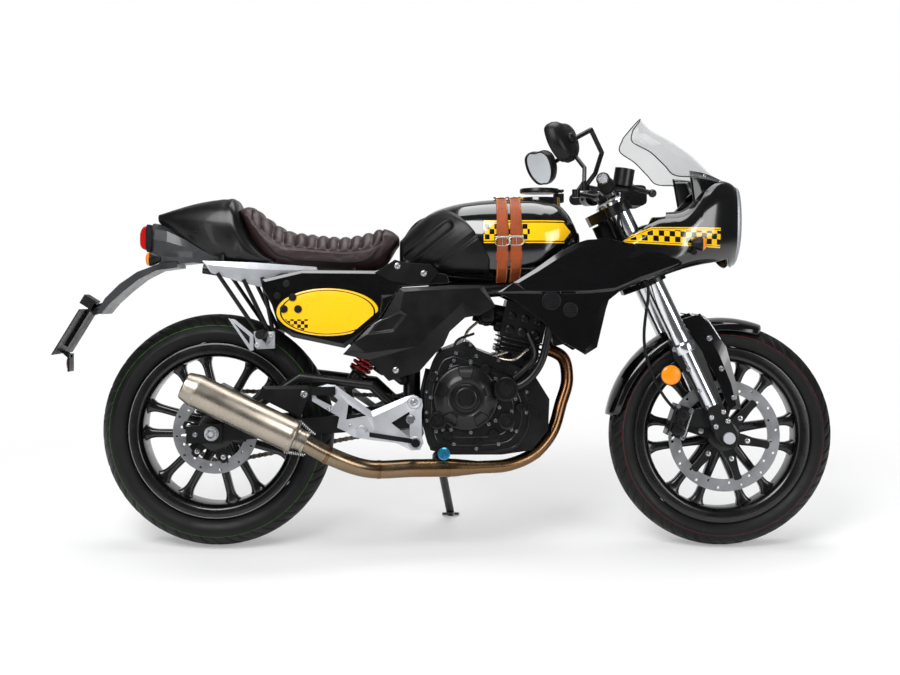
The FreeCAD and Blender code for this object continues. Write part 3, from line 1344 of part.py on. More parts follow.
# Fairing.
fairing_behind_head = 31.3
fairing_below_head = 86.0
fairing_rear_x = head_x - fairing_behind_head
fairing_z = head_z - fairing_below_head
fairing_l = 330.0
fairing_h = 300.0
fairing_half = 162.0
fairing_t = 5.0
fairing_stations_shares = [(0.0, 0.0, 0.48, 1.0), (0.18, 0.06, 0.62, 1.0), (0.32, 0.12, 0.71, 0.99),
                           (0.56, 0.22, 0.77, 0.93), (0.70, 0.26, 0.94, 0.86), (0.83, 0.29, 1.0, 0.76),
                           (0.94, 0.34, 0.97, 0.64), (1.0, 0.40, 0.90, 0.54)]
fairing_round_shares = both_halves([(0, 1.0), (0.50, 0.985), (0.80, 0.93), (0.95, 0.78), (1.0, 0.45), (0.93, 0.15),
                                    (0.74, 0)])
fairing_roof_end_share = 0.66
fairing_floor_end_share = 0.80
cockpit_share = 0.86
brow_share = 0.66
yoke_room_ahead = 96.0
lamp_up = 192.0
lamp_centre_z = fairing_z + lamp_up
lamp_rim_r = 82.0
lamp_rim_t = 16.0
lamp_bowl_r = 72.0
lamp_bowl_depth = 70.0


def fairing_shape(grow=0):
    return hull(fairing_rear_x, fairing_z, fairing_l, fairing_h, fairing_half, fairing_stations_shares,
                fairing_round_shares, grow)


def make_fairing():
    outer = fairing_shape()
    inner = fairing_shape(-fairing_t)
    front = fairing_rear_x + fairing_l
    shell = outer.cut(inner)
    reach = overrun
    roof_end = fairing_rear_x + fairing_l * fairing_roof_end_share
    floor_end = fairing_rear_x + fairing_l * fairing_floor_end_share
    middle = fairing_z + fairing_h / 2
    side = fairing_half * cockpit_share
    roof = box(fairing_rear_x - reach, head_x + yoke_room_ahead, -side, side, middle, fairing_z + 2 * fairing_h)
    brow = fairing_half * brow_share
    brow = box(fairing_rear_x, roof_end, -brow, brow, middle, fairing_z + 2 * fairing_h)
    floor = box(fairing_rear_x - reach, floor_end, -side, side, 0, middle)
    sweep = math.hypot(fork_offset, fork_half_span) + fork_tube_r + yoke_boss_t + moving_gap
    yoke_room = box(fairing_rear_x - reach, head_x + yoke_room_ahead, -sweep, sweep, 0, middle)
    back = box(fairing_rear_x - reach, fairing_rear_x + fairing_t * 2, -fairing_half * cockpit_share,
               fairing_half * cockpit_share, 0, 2 * middle)
    lamp_back = V(front - lamp_bowl_depth, 0, lamp_centre_z)
    lamp_hole = Part.makeCylinder(lamp_rim_r + rest_gap, fairing_l, lamp_back, V(1, 0, 0))
    shell = shell.cut([roof, brow, floor, yoke_room, back, lamp_hole])
    shell = max(shell.Solids, key=lambda s: s.Volume)
    keep("upper_fairing", shell)
    head = parts["steering_head"][0].cut(shell)
    keep("steering_head", max(head.Solids, key=lambda s: s.Volume))
    rim = Part.makeCylinder(lamp_rim_r, lamp_rim_t, V(front - lamp_rim_t, 0, lamp_centre_z), V(1, 0, 0))
    hole = Part.makeCylinder(lamp_bowl_r, 4 * lamp_rim_t, V(front - 2 * lamp_rim_t, 0, lamp_centre_z), V(1, 0, 0))
    keep("headlamp_rim", rim.cut(hole))
    lens = Part.makeCylinder(lamp_bowl_r - rest_gap, lamp_bowl_depth, lamp_back, V(1, 0, 0))
    keep("headlamp", lens)


screen_t = 4.0
screen_ahead = 42.0
screen_up = 283.0
screen_x = fairing_rear_x + screen_ahead
screen_z = fairing_z + screen_up
screen_l = 271.0
screen_h = 181.0
screen_half = 146.0
screen_steps = 6
screen_shares = [(0.13, 1.0, 0.02, 0.79, 0.62), (0.24, 0.835, 0.0, 0.61, 0.80), (0.43, 0.67, 0.16, 0.45, 0.92),
                 (0.63, 0.46, 0.29, 0.26, 0.96), (0.82, 0.19, 0.39, 0.12, 0.96), (1.0, 0.0, 0.62, 0.10, 0.92)]


def screen_ring(row, inset):
    """Thin arch across the machine: the clear sheet's outer line, then the inner line back below it."""
    centre_x, centre_z, edge_x, edge_z, width = row
    outer = []
    inner = []
    for index in range(-screen_steps, screen_steps + 1):
        angle = math.pi / 2 * index / screen_steps
        x = screen_x + screen_l * (edge_x + (centre_x - edge_x) * math.cos(angle))
        z = screen_z + screen_h * (edge_z + (centre_z - edge_z) * math.cos(angle))
        y = screen_half * width * math.sin(angle)
        outer.append(V(x, y, z))
        shrink = 1 - inset / (screen_half * width)
        inner.append(V(x - inset * math.cos(angle) / 2, y * shrink, z - inset * math.cos(angle)))
    return outer + list(reversed(inner))


def skin(rings):
    """Closed solid of small flat faces through rings that are thin strips, capped strip by strip."""
    faces = []

    def flat(a, b, c):
        if (b - a).cross(c - a).Length > 0:
            faces.append(Part.Face(Part.makePolygon([a, b, c, a])))

    count = len(rings[0])
    for near, far in zip(rings, rings[1:]):
        for index in range(count):
            after = (index + 1) % count
            flat(near[index], near[after], far[after])
            flat(near[index], far[after], far[index])
    for ring_points in (rings[0], rings[-1]):
        for index in range(count // 2 - 1):
            a = ring_points[index]
            b = ring_points[index + 1]
            c = ring_points[count - 2 - index]
            d = ring_points[count - 1 - index]
            flat(a, b, c)
            flat(a, c, d)
    solid = Part.Solid(Part.Shell(faces))
    if solid.Volume < 0:
        solid.reverse()
    return solid


def make_screen():
    screen = skin([screen_ring(row, screen_t) for row in screen_shares])
    screen = screen.cut(parts["upper_fairing"] + parts["headlamp_rim"] + parts["headlamp"])
    screen = max(screen.Solids, key=lambda s: s.Volume)
    keep("windscreen", screen)


lower_behind = 307.0
lower_below = 133.0
lower_x0 = fairing_rear_x - lower_behind
lower_z0 = fairing_z - lower_below
lower_l = 508.0
lower_h = 273.0
lower_in_y = 151.0
lower_t = 9.0
lower_shares = [(0.0, 0.51), (0.08, 0.60), (0.19, 0.73), (0.29, 0.86), (0.40, 0.97), (0.45, 1.0), (0.60, 0.97),
                (0.62, 0.95), (0.62, 0.78), (0.66, 0.62), (0.61, 0.56), (0.56, 0.44), (0.545, 0.36), (0.50, 0.0),
                (0.44, -0.07), (0.38, 0.0), (0.32, 0.06), (0.28, 0.13), (0.24, 0.22), (0.10, 0.42)]
radiator_x = placed("radiator")
radiator_z = 528.0
radiator_t = 38.0
radiator_half = 118.0
radiator_h = 162.0
radiator_arm_r = 8.0
coolant_r = 10.0
coolant_y = 127.0
# Along as a share of the way from the pump to the radiator, up as a share of the radiator's height over the pump.
coolant_shares = [(0.97, 1.0), (0.88, 0.74), (0.70, 0.32), (0.48, 0.13), (0.0, 0.0)]
pod_behind_head = 8.3
pod_over_head = 144.0
pod_x = head_x - pod_behind_head
pod_z = head_z + pod_over_head
pod_l = 66.0
pod_h = 58.0
pod_half = 66.0
front_blinker_ahead = 211.0
front_blinker_up = 130.0
front_blinker_x = fairing_rear_x + front_blinker_ahead
front_blinker_z = fairing_z + front_blinker_up
front_blinker_y = 138.0


def make_front_fittings():
    panel = slab(outline(lower_shares, lower_x0, lower_z0, lower_l, lower_h), -lower_in_y - lower_t, -lower_in_y)
    panel = panel.cut(parts["upper_fairing"])
    panel = max(panel.Solids, key=lambda s: s.Volume)
    keep("lower_fairing", *both(panel))
    core = Part.makeBox(radiator_t, 2 * radiator_half, radiator_h, V(0, -radiator_half, 0))
    core.rotate(V(0, 0, 0), V(0, 1, 0), -rake_deg / 2)
    core.translate(V(radiator_x, 0, radiator_z))
    top_z = radiator_z + radiator_h / 2
    hose_points = [V(radiator_x, -radiator_half + 2 * coolant_r, top_z)]
    for along, up in coolant_shares:
        hose_points.append(V(pump_x + (radiator_x - pump_x) * along, -coolant_y, pump_z + (top_z - pump_z) * up))
    core = joined([core, bent_tube(hose_points, coolant_r)])
    core = core.cut(parts["cylinder_and_head"] + parts["crankcase"] + parts["engine_covers"] + parts["exhaust_pipe"]
                    + parts["frame_spars"])
    keep("radiator", max(core.Solids, key=lambda s: s.Volume))
    body, lens = blinker(front_blinker_x, front_blinker_z, front_blinker_y, front_blinker_y - blinker_r, 1)
    shell = parts["upper_fairing"]
    body = body.cut(shell)
    body = max(body.Solids, key=lambda s: s.CenterOfMass.y * -1)
    keep("front_indicators", *both(joined([body, lens.cut(shell)])))
    pod = Part.makeBox(pod_l, 2 * pod_half, pod_h, V(pod_x, -pod_half, pod_z))
    keep("instrument_pod", pod.cut(parts["triple_clamps"] + parts["fork_upper_tubes"]))


# Side stand.
stand_foot_y = 238.0        # where the foot stands on the floor, left of the wheels' line
stand_foot_x = placed("stand foot")
stand_pivot_x = placed("stand pivot")
stand_pivot_y = 108.0
stand_pivot_z = 214.0
stand_leg_r = 11.0
stand_foot_r = 24.0
stand_foot_t = 7.0
stand_lug_r = 20.0
stand_lug_t = 9.0
stand_bolt_r = 8.0
stand_arm_top_y = 40.0


def upright_from_floor(x, y):
    """Upright-frame place of a point that lies on the floor after leaning."""
    angle = math.radians(lean_deg)
    return V(x, y * math.cos(angle) + lean_lift * math.sin(angle), y * math.sin(angle) - lean_lift * math.cos(angle))


def make_stand():
    """Leg with a round foot, hung on a bolt in a lug under the crankcase."""
    floor = upright_from_floor(stand_foot_x, stand_foot_y)
    pivot = V(stand_pivot_x, stand_pivot_y, stand_pivot_z)
    tilt = math.radians(lean_deg)
    foot = Part.makeCylinder(stand_foot_r, stand_foot_t, floor, V(0, math.sin(tilt), math.cos(tilt)))
    leg = rod(pivot, floor + V(0, math.sin(tilt), math.cos(tilt)) * stand_foot_t / 2, stand_leg_r)
    way = floor - pivot
    axis = way.cross(V(-1, 0, 0))
    axis = axis * (1 / axis.Length)
    lug = Part.makeCylinder(stand_lug_r, 2 * stand_leg_r, pivot - axis * stand_leg_r, axis)
    bore = Part.makeCylinder(stand_bolt_r, stand_lug_t * 8, pivot - axis * stand_lug_t * 4, axis)
    keep("side_stand", joined([leg, lug, foot]).cut(bore))
    inner = stand_leg_r + rest_gap * 2
    back = Part.makeCylinder(stand_lug_r, stand_lug_t, pivot - axis * (inner + stand_lug_t), axis)
    arm_top = V(stand_pivot_x + stand_lug_r, stand_arm_top_y, case_z0 + stand_lug_r)
    arm = rod(pivot - axis * (inner + stand_lug_t), arm_top, stand_lug_t * 2 / 3)
    pin = Part.makeCylinder(stand_bolt_r - rest_gap, inner + stand_leg_r + stand_lug_t,
                            pivot - axis * (inner + stand_lug_t / 2), axis)
    mount = joined([back, arm, pin]).cut(parts["crankcase"])
    keep("stand_mount", max(mount.Solids, key=lambda s: s.Volume))


# Build.
make_wheels()
make_drive()
make_swingarm()
make_shock()
make_fork()
make_calipers()
make_bars()
make_brake_hose()
make_mirrors()
make_mudguard()
make_frame()
make_subframe()
make_engine()
make_exhaust()
make_tank()
make_seat_and_tail()
make_tail_fittings()
make_side_panels()
make_foot_rests()
make_fairing()
make_screen()
make_front_fittings()
make_stand()

os.makedirs("parts", exist_ok=True)
for node, solids in parts.items():
    shape = Part.makeCompound([leaned(s) for s in solids]) if len(solids) > 1 else leaned(solids[0])
    shape.exportStep("parts/" + node + ".step")
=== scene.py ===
"""Dresses the cafe racer: finishes its solids and adds tread, chain links, stitching, glass and trim."""

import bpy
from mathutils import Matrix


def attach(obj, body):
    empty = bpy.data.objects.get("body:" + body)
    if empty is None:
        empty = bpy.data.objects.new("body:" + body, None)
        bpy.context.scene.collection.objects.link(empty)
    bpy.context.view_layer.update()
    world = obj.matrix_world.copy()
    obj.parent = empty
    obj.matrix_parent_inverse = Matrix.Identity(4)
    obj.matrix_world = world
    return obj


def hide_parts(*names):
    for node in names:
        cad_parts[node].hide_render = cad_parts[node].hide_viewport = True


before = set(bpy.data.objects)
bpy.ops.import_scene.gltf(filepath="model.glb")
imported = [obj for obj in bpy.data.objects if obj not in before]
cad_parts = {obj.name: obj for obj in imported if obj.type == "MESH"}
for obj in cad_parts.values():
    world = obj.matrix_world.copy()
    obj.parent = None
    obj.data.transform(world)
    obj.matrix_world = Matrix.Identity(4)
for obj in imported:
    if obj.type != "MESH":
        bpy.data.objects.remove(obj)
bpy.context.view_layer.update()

import logging
import math
from dataclasses import dataclass, field
from enum import Enum
from typing import Callable, Optional, Sequence, Union

import bmesh
import bpy
import numpy as np
from mathutils import Vector
from mathutils.bvhtree import BVHTree
from mathutils.geometry import delaunay_2d_cdt

log = logging.getLogger("cafe_racer")
Array = np.ndarray
Spot = tuple[float, float, float]
Colour = Spot
Number = Union[int, float]
X_AXIS = np.array([1.0, 0.0, 0.0])
Y_AXIS = np.array([0.0, 1.0, 0.0])
Z_AXIS = np.array([0.0, 0.0, 1.0])
MM = 0.001
SAME_POINT = 4e-6
BEVEL_FROM_DEG = 32.0
RIGHT_OUT = -Y_AXIS
YELLOW_PAINT = (238, 186, 14)
BOARD_MIDDLE = (-364.0, 616.0)
BOARD_HALF = (131.0, 61.0)


# The object is drawn upright in millimetres and then leaned over onto its side stand, in metres.
@dataclass(frozen=True)
class Lean:
    """How far the parked machine leans, and the lift that keeps its tyres' crowns on the floor."""

    degrees: float = 10.0
    lift: float = 1.27827

    def place(self, points: Array) -> Array:
        """Turns upright millimetres into leaned metres.

        Across is y times cosine plus z times sine; up is z times cosine minus y times sine plus the lift.

        Args:
            points: Array whose last axis is x, y, z.

        Returns:
            Array of the same shape.
        """
        angle = math.radians(self.degrees)
        cosine, sine = math.cos(angle), math.sin(angle)
        x, y, z = points[..., 0], points[..., 1], points[..., 2]
        return np.stack([x, y * cosine + z * sine, z * cosine - y * sine + self.lift], axis=-1) * MM


LEAN = Lean()


@dataclass
class Skin:
    """Faces on points, in upright millimetres. Each point has a UV place and each face a finish number."""

    points: Array
    faces: list[list[int]]
    uv: Array
    finish: list[int] = field(default_factory=list)

    def __post_init__(self) -> None:
        """Gives every face the first finish where none is named."""
        if not self.finish:
            self.finish = [0] * len(self.faces)

    def __add__(self, other: "Skin") -> "Skin":
        """Joins two shells."""
        return merged([self, other])

    def painted(self, number: int) -> "Skin":
        """Gives every face the same finish number."""
        return Skin(self.points, self.faces, self.uv, [number] * len(self.faces))

    def moved(self, x: float = 0, y: float = 0, z: float = 0) -> "Skin":
        """Adds the same offset to every point."""
        return Skin(self.points + np.array([x, y, z]), self.faces, self.uv, self.finish)

    def turned(self, axis: Array, degrees: float, about: Sequence[float] = (0, 0, 0)) -> "Skin":
        """Turns every point about an axis through a centre, by Rodrigues' formula.

        Args:
            axis: Unit direction of the axis.
            degrees: Angle by the right-hand rule.
            about: A point on the axis.

        Returns:
            The turned shell.
        """
        angle = math.radians(degrees)
        arm = self.points - np.array(about)
        along = np.outer(arm @ axis, axis)
        turned = (arm * math.cos(angle) + np.cross(axis, arm) * math.sin(angle)
                  + along * (1 - math.cos(angle)))
        return Skin(turned + np.array(about), self.faces, self.uv, self.finish)

    def mirrored(self) -> "Skin":
        """The same shell on the other side of the machine: y changes its sign."""
        return Skin(self.points * np.array([1.0, -1.0, 1.0]), [face[::-1] for face in self.faces], self.uv,
                     self.finish)

    def both(self) -> "Skin":
        """The shell and its mirror image."""
        return self + self.mirrored()


def merged(shells: Sequence[Skin]) -> Skin:
    """Joins shells into one, with each one's points numbered after those before it.

    Args:
        shells: The shells in order.

    Returns:
        The joined shell.
    """
    counts = np.cumsum([0] + [len(s.points) for s in shells])
    faces = [[i + shift for i in face] for s, shift in zip(shells, counts.tolist()) for face in s.faces]
    return Skin(np.vstack([s.points for s in shells]), faces, np.vstack([s.uv for s in shells]),
                [number for s in shells for number in s.finish])


def grid(points: Array, cap: bool = False) -> Skin:
    """Skin over a grid of points; u and v run from 0 to 1 along its two axes.

    Args:
        points: Array of rows by columns by 3. A closed surface repeats its first column as its last.
        cap: Closes the first and the last row, each of which is a closed loop, with one face.

    Returns:
        The shell.
    """
    rows, cols = points.shape[:2]
    index = np.arange(rows * cols).reshape(rows, cols)
    quads = np.stack([index[:-1, :-1], index[:-1, 1:], index[1:, 1:], index[1:, :-1]], axis=-1).reshape(-1, 4)
    faces = quads.tolist()
    if cap:
        faces += [index[0, :-1].tolist()[::-1], index[-1, :-1].tolist()]
    v, u = np.meshgrid(np.linspace(0, 1, rows), np.linspace(0, 1, cols), indexing="ij")
    return Skin(points.reshape(-1, 3).astype(float), faces, np.stack([u, v], axis=-1).reshape(-1, 2))


def unit(vector: Array) -> Array:
    """The vectors divided by their lengths."""
    return vector / np.maximum(np.linalg.norm(vector, axis=-1, keepdims=True), 1e-9)


def in_side_view(angle: float) -> Array:
    """Unit direction in the side view: (cos, 0, sin) of an angle in radians."""
    return np.array([math.cos(angle), 0, math.sin(angle)])


def looped(loop: Array, extra: int = 1) -> Array:
    """A loop with its first points repeated at its end."""
    return np.vstack([loop, loop[:extra]])


def bowed(value: Array, power: float) -> Array:
    """A cosine or sine made squarer for a superellipse: sign(value)·|value|^(2/power)."""
    return np.sign(value) * np.abs(value) ** (2 / power)


def soft_step(x: Array, at: float, width: float) -> Array:
    """Rise from 0 to 1 about a place: 3t² − 2t³, where t is the share of its width.

    Args:
        x: Where it is read.
        at: Middle of the rise.
        width: Its width.

    Returns:
        Array of shares.
    """
    t = np.clip((x - at) / width + 0.5, 0, 1)
    return t ** 2 * (3 - 2 * t)


def across(axis: Array) -> tuple[Array, Array]:
    """Two unit directions square to an axis and to each other.

    Args:
        axis: Unit direction.

    Returns:
        Both directions.
    """
    aid = Z_AXIS if abs(axis[2]) < 0.9 else X_AXIS
    first = unit(np.cross(aid, axis))
    return first, np.cross(axis, first)


def lathe(profile: Sequence[tuple[float, float]], centre: Sequence[float], axis: Array = Y_AXIS,
          steps: int = 64, closed: bool = False) -> Skin:
    """Profile of radius and height carried round an axis: centre + height·axis + radius·(cos u, sin u).

    Args:
        profile: Pairs of radius and height along the axis.
        centre: Where the axis has height 0.
        axis: Unit direction.
        steps: Faces in a full turn.
        closed: Whether the profile's last pair meets its first.

    Returns:
        The shell.
    """
    table = np.array(list(profile) + [profile[0]] if closed else profile, dtype=float)
    first, second = across(axis)
    turn = np.linspace(0, 2 * math.pi, steps + 1)
    round_way = np.outer(np.cos(turn), first) + np.outer(np.sin(turn), second)
    points = np.array(centre) + table[:, None, 1, None] * axis + table[:, None, 0, None] * round_way[None]
    return grid(points)


def smooth(points: Sequence[Sequence[float]], count: int, closed: bool = False) -> Array:
    """Smooth line through points: cubic Hermite pieces with slopes from neighbours, spaced by chord length.

    Args:
        points: The points that it passes.
        count: How many points it returns.
        closed: Whether it returns to its first point.

    Returns:
        Array of count points.
    """
    table = np.array(points, dtype=float)
    if closed:
        table = np.vstack([table[-2:], table, table[:3]])
    chord = np.concatenate([[0], np.cumsum(np.linalg.norm(np.diff(table, axis=0), axis=1))])
    start, stop = (chord[2], chord[-3]) if closed else (chord[0], chord[-1])
    return hermite(chord, table, np.linspace(start, stop, count))


def hermite(knots: Array, values: Array, at: Array) -> Array:
    """Cubic Hermite interpolation: two values and two slopes weighted by the four cubic basis functions.

    Args:
        knots: Rising places of the values.
        values: One row for each knot.
        at: Places to read.

    Returns:
        One row for each place.
    """
    slopes = np.gradient(values, knots, axis=0)
    index = np.clip(np.searchsorted(knots, at, side="right") - 1, 0, len(knots) - 2)
    width = (knots[index + 1] - knots[index])[:, None]
    t = ((at - knots[index])[:, None]) / width
    return ((2 * t ** 3 - 3 * t ** 2 + 1) * values[index] + (t ** 3 - 2 * t ** 2 + t) * width * slopes[index]
            + (3 * t ** 2 - 2 * t ** 3) * values[index + 1] + (t ** 3 - t ** 2) * width * slopes[index + 1])


def tube(path: Array, radius: Union[float, Array], sides: int = 14, cap: bool = True) -> Skin:
    """Round tube along a path: each ring is the point plus radius·(cos, sin) in the plane square to the path.

    Args:
        path: Points along the middle.
        radius: One radius, or one for each point.
        sides: Faces round the tube.
        cap: Closes both ends.

    Returns:
        The shell.
    """
    path = np.asarray(path, dtype=float)
    way = unit(np.gradient(path, axis=0))
    aid = np.eye(3)[int(np.argmin(np.abs(way).max(axis=0)))]
    first = unit(np.cross(way, aid))
    second = np.cross(way, first)
    turn = np.linspace(0, 2 * math.pi, sides + 1)
    size = np.broadcast_to(np.asarray(radius, dtype=float), len(path))[:, None, None]
    ring = np.cos(turn)[None, :, None] * first[:, None] + np.sin(turn)[None, :, None] * second[:, None]
    return grid(path[:, None] + size * ring, cap)


def rod(start: Sequence[float], end: Sequence[float], radius: float, sides: int = 24,
        edge: float = 0.8) -> Skin:
    """Straight round bar whose ends are slightly broken at the edge.

    Args:
        start: One end's middle.
        end: The other end's middle.
        radius: Half its thickness.
        sides: Faces round it.
        edge: Size of the broken edge.

    Returns:
        The shell.
    """
    a, b = np.array(start, dtype=float), np.array(end, dtype=float)
    length = float(np.linalg.norm(b - a))
    profile = [(0, 0), (radius - edge, 0), (radius, edge), (radius, length - edge), (radius - edge, length),
               (0, length)]
    return lathe(profile, a, (b - a) / length, sides)


def prism(outline: Array, y0: float, y1: float) -> Skin:
    """Plate with an outline in x and z, from one distance across the machine to another.

    Args:
        outline: Array of x, z pairs in order.
        y0: One face.
        y1: The other face.

    Returns:
        The shell.
    """
    flat = np.array(outline, dtype=float)
    count = len(flat)
    near = np.stack([flat[:, 0], np.full(count, y0), flat[:, 1]], axis=-1)
    far = near + np.array([0, y1 - y0, 0])
    ring = np.arange(count)
    after = np.roll(ring, -1)
    sides = np.stack([ring, after, after + count, ring + count], axis=-1).tolist()
    faces = sides + [ring.tolist()[::-1], (ring + count).tolist()]
    spread = np.ptp(flat, axis=0).max()
    uv = (flat - flat.min(axis=0)) / spread
    return Skin(np.vstack([near, far]), faces, np.vstack([uv, uv]))


def corners_cut(outline: Sequence[Sequence[float]], rounds: int = 2, share: float = 0.25) -> Array:
    """Rounds a closed outline by cutting every corner, each time replacing a point by two on its sides.

    Args:
        outline: Points in order.
        rounds: How many times the corners are cut.
        share: How far along each side the cut goes.

    Returns:
        The rounded outline.
    """
    flat = np.array(outline, dtype=float)
    for _ in range(rounds):
        after = np.roll(flat, -1, axis=0)
        flat = np.stack([flat * (1 - share) + after * share, flat * share + after * (1 - share)],
                        axis=1).reshape(-1, flat.shape[1])
    return flat


def block(low: Sequence[float], high: Sequence[float]) -> Skin:
    """Plain box between two corners, for small trim whose edges a bevel rounds."""
    outline = np.array([(low[0], low[2]), (high[0], low[2]), (high[0], high[2]), (low[0], high[2])])
    return prism(outline, low[1], high[1])


def screw(centre: Sequence[float], axis: Array, radius: float = 5.0, height: float = 4.0,
          sides: int = 12) -> Skin:
    """Socket-head screw: a low domed head with a round recess, on its own small washer.

    Args:
        centre: Where it stands on its part.
        axis: Unit direction out of the part.
        radius: Radius of its head.
        height: Height of its head.
        sides: Faces round it.

    Returns:
        The screw.
    """
    profile = [(0, height * 0.45), (radius * 0.45, height * 0.45), (radius * 0.52, height),
               (radius * 0.82, height), (radius, height * 0.8), (radius, height * 0.2),
               (radius * 1.3, height * 0.18), (radius * 1.3, -0.5), (0, -0.5)]
    return lathe(profile, centre, axis, sides)


def nut(centre: Sequence[float], axis: Array, radius: float, height: float) -> Skin:
    """Six-sided nut with chamfered top on a round washer.

    Args:
        centre: Where it stands on its part.
        axis: Unit direction out of the part.
        radius: Radius to its corners.
        height: How far it stands out.

    Returns:
        The nut.
    """
    washer = lathe([(0, -0.5), (radius * 1.25, -0.5), (radius * 1.25, 1.5), (0, 1.5)], centre, axis, 24)
    body = lathe([(0, 1.0), (radius, 1.0), (radius, height * 0.8), (radius * 0.85, height),
                  (radius * 0.5, height), (radius * 0.5, height * 0.6), (0, height * 0.6)], centre, axis, 6)
    return washer + body


def inside(places: Array, loop: Array) -> Array:
    """Whether places lie in a closed loop: a level line from each crosses the loop an odd number of times.

    Args:
        places: Array of x, z pairs.
        loop: Corners in order.

    Returns:
        Array of truths.
    """
    a, b = loop, np.roll(loop, -1, axis=0)
    px, pz = places[:, :1], places[:, 1:2]
    spans = (a[None, :, 1] > pz) != (b[None, :, 1] > pz)
    rise = np.where(b[:, 1] == a[:, 1], 1e-9, b[:, 1] - a[:, 1])
    cross_x = a[None, :, 0] + (pz - a[None, :, 1]) / rise[None] * (b[:, 0] - a[:, 0])[None]
    return (spans & (px < cross_x)).sum(axis=1) % 2 == 1


def relief(outline: Sequence[Sequence[float]], y_back: float, y_face: float, lines: Sequence = (),
           holes: Sequence = ()) -> Skin:
    """Moulded plate: flat back, and a face whose height is named at its outline and along its creases.

    The face is the triangulation that keeps the outline, the creases and the holes as edges. Where only one
    triangle meets an edge, a wall joins the face to the back.

    Args:
        outline: Corners as x, z and the height that stands out of y_face, 0 where none is given.
        y_back: Distance across of the back.
        y_face: Distance across from which heights are counted, outwards and away from the middle plane.
        lines: Creases, each a list of x, z, height.
        holes: Loops like the outline that are left open.

    Returns:
        The closed plate.
    """
    loops = [[(*corner, 0.0)[:3] for corner in loop] for loop in (outline, *holes)]
    spots, edges = [], []
    for loop in loops:
        base = len(spots)
        spots += loop
        edges += [(base + i, base + (i + 1) % len(loop)) for i in range(len(loop))]
    for line in lines:
        base = len(spots)
        spots += list(line)
        edges += [(base + i, base + i + 1) for i in range(len(line) - 1)]
    table = np.array(spots, dtype=float)
    flat, _, faces, origin, _, _ = delaunay_2d_cdt([Vector(p) for p in table[:, :2].tolist()], edges,
                                                   [list(range(len(outline)))], 1, 1e-4)
    places = np.array([tuple(p) for p in flat])
    height = np.array([table[ids[0], 2] if ids else 0.0 for ids in origin])
    faces = np.array([f for f in faces if len(f) == 3])
    middle = places[faces].mean(axis=1)
    keep = inside(middle, table[:len(outline), :2])
    for hole in holes:
        keep &= ~inside(middle, np.array(hole)[:, :2])
    faces = faces[keep]
    away = math.copysign(1.0, y_face)
    face_y = y_face + away * height
    front = np.stack([places[:, 0], face_y, places[:, 1]], axis=-1)
    back = np.stack([places[:, 0], np.full(len(places), y_back), places[:, 1]], axis=-1)
    half_edges = np.concatenate([faces[:, [0, 1]], faces[:, [1, 2]], faces[:, [2, 0]]])
    key = np.sort(half_edges, axis=1)
    _, index, count = np.unique(key, axis=0, return_index=True, return_counts=True)
    rim = half_edges[index[count == 1]]
    shift = len(places)
    walls = np.stack([rim[:, 0], rim[:, 1], rim[:, 1] + shift, rim[:, 0] + shift], axis=-1)
    uv = (places - places.min(axis=0)) / np.ptp(places, axis=0).max()
    return Skin(np.vstack([front, back]), faces.tolist() + (faces[:, ::-1] + shift).tolist() + walls.tolist(),
                np.vstack([uv, uv]))


def mould(centre: Sequence[float], half: Sequence[float], power: float, rows: int = 25,
          cols: int = 49) -> Skin:
    """Rounded box: a superellipsoid, each axis sign(w)·|w|^(2/power) of the ball's own direction.

    Args:
        centre: Its middle.
        half: Half sizes along x, y and z.
        power: 2 for a ball, more for a squarer form.
        rows: Rows from pole to pole.
        cols: Points round.

    Returns:
        The closed form.
    """
    latitude = np.linspace(-math.pi / 2, math.pi / 2, rows)
    up, turn = np.meshgrid(latitude, np.linspace(0, 2 * math.pi, cols), indexing="ij")
    level = bowed(np.cos(up), power)
    ball = np.stack([level * bowed(np.cos(turn), power), level * bowed(np.sin(turn), power),
                     bowed(np.sin(up), power)], axis=-1)
    return grid(np.array(centre) + np.array(half) * ball)


@dataclass(frozen=True)
class Fork:
    """Where the fork's legs run: from the front axle up and back along the rake."""

    axle_x: float = 662.5
    axle_z: float = 293.0
    rake_deg: float = 25.5
    half_span: float = 97.0

    @property
    def way(self) -> Array:
        """Unit direction up the leg."""
        rake = math.radians(self.rake_deg)
        return np.array([-math.sin(rake), 0, math.cos(rake)])

    def at(self, ahead: float, y: float, up: float) -> Array:
        """Point ahead of the leg line, across, and up along the leg.

        Args:
            ahead: Distance square to the leg.
            y: Distance across.
            up: Distance along the leg from the axle.

        Returns:
            The point.
        """
        rake = math.radians(self.rake_deg)
        return np.array([self.axle_x + ahead * math.cos(rake) - up * math.sin(rake), y,
                         self.axle_z + ahead * math.sin(rake) + up * math.cos(rake)])


FORK = Fork()


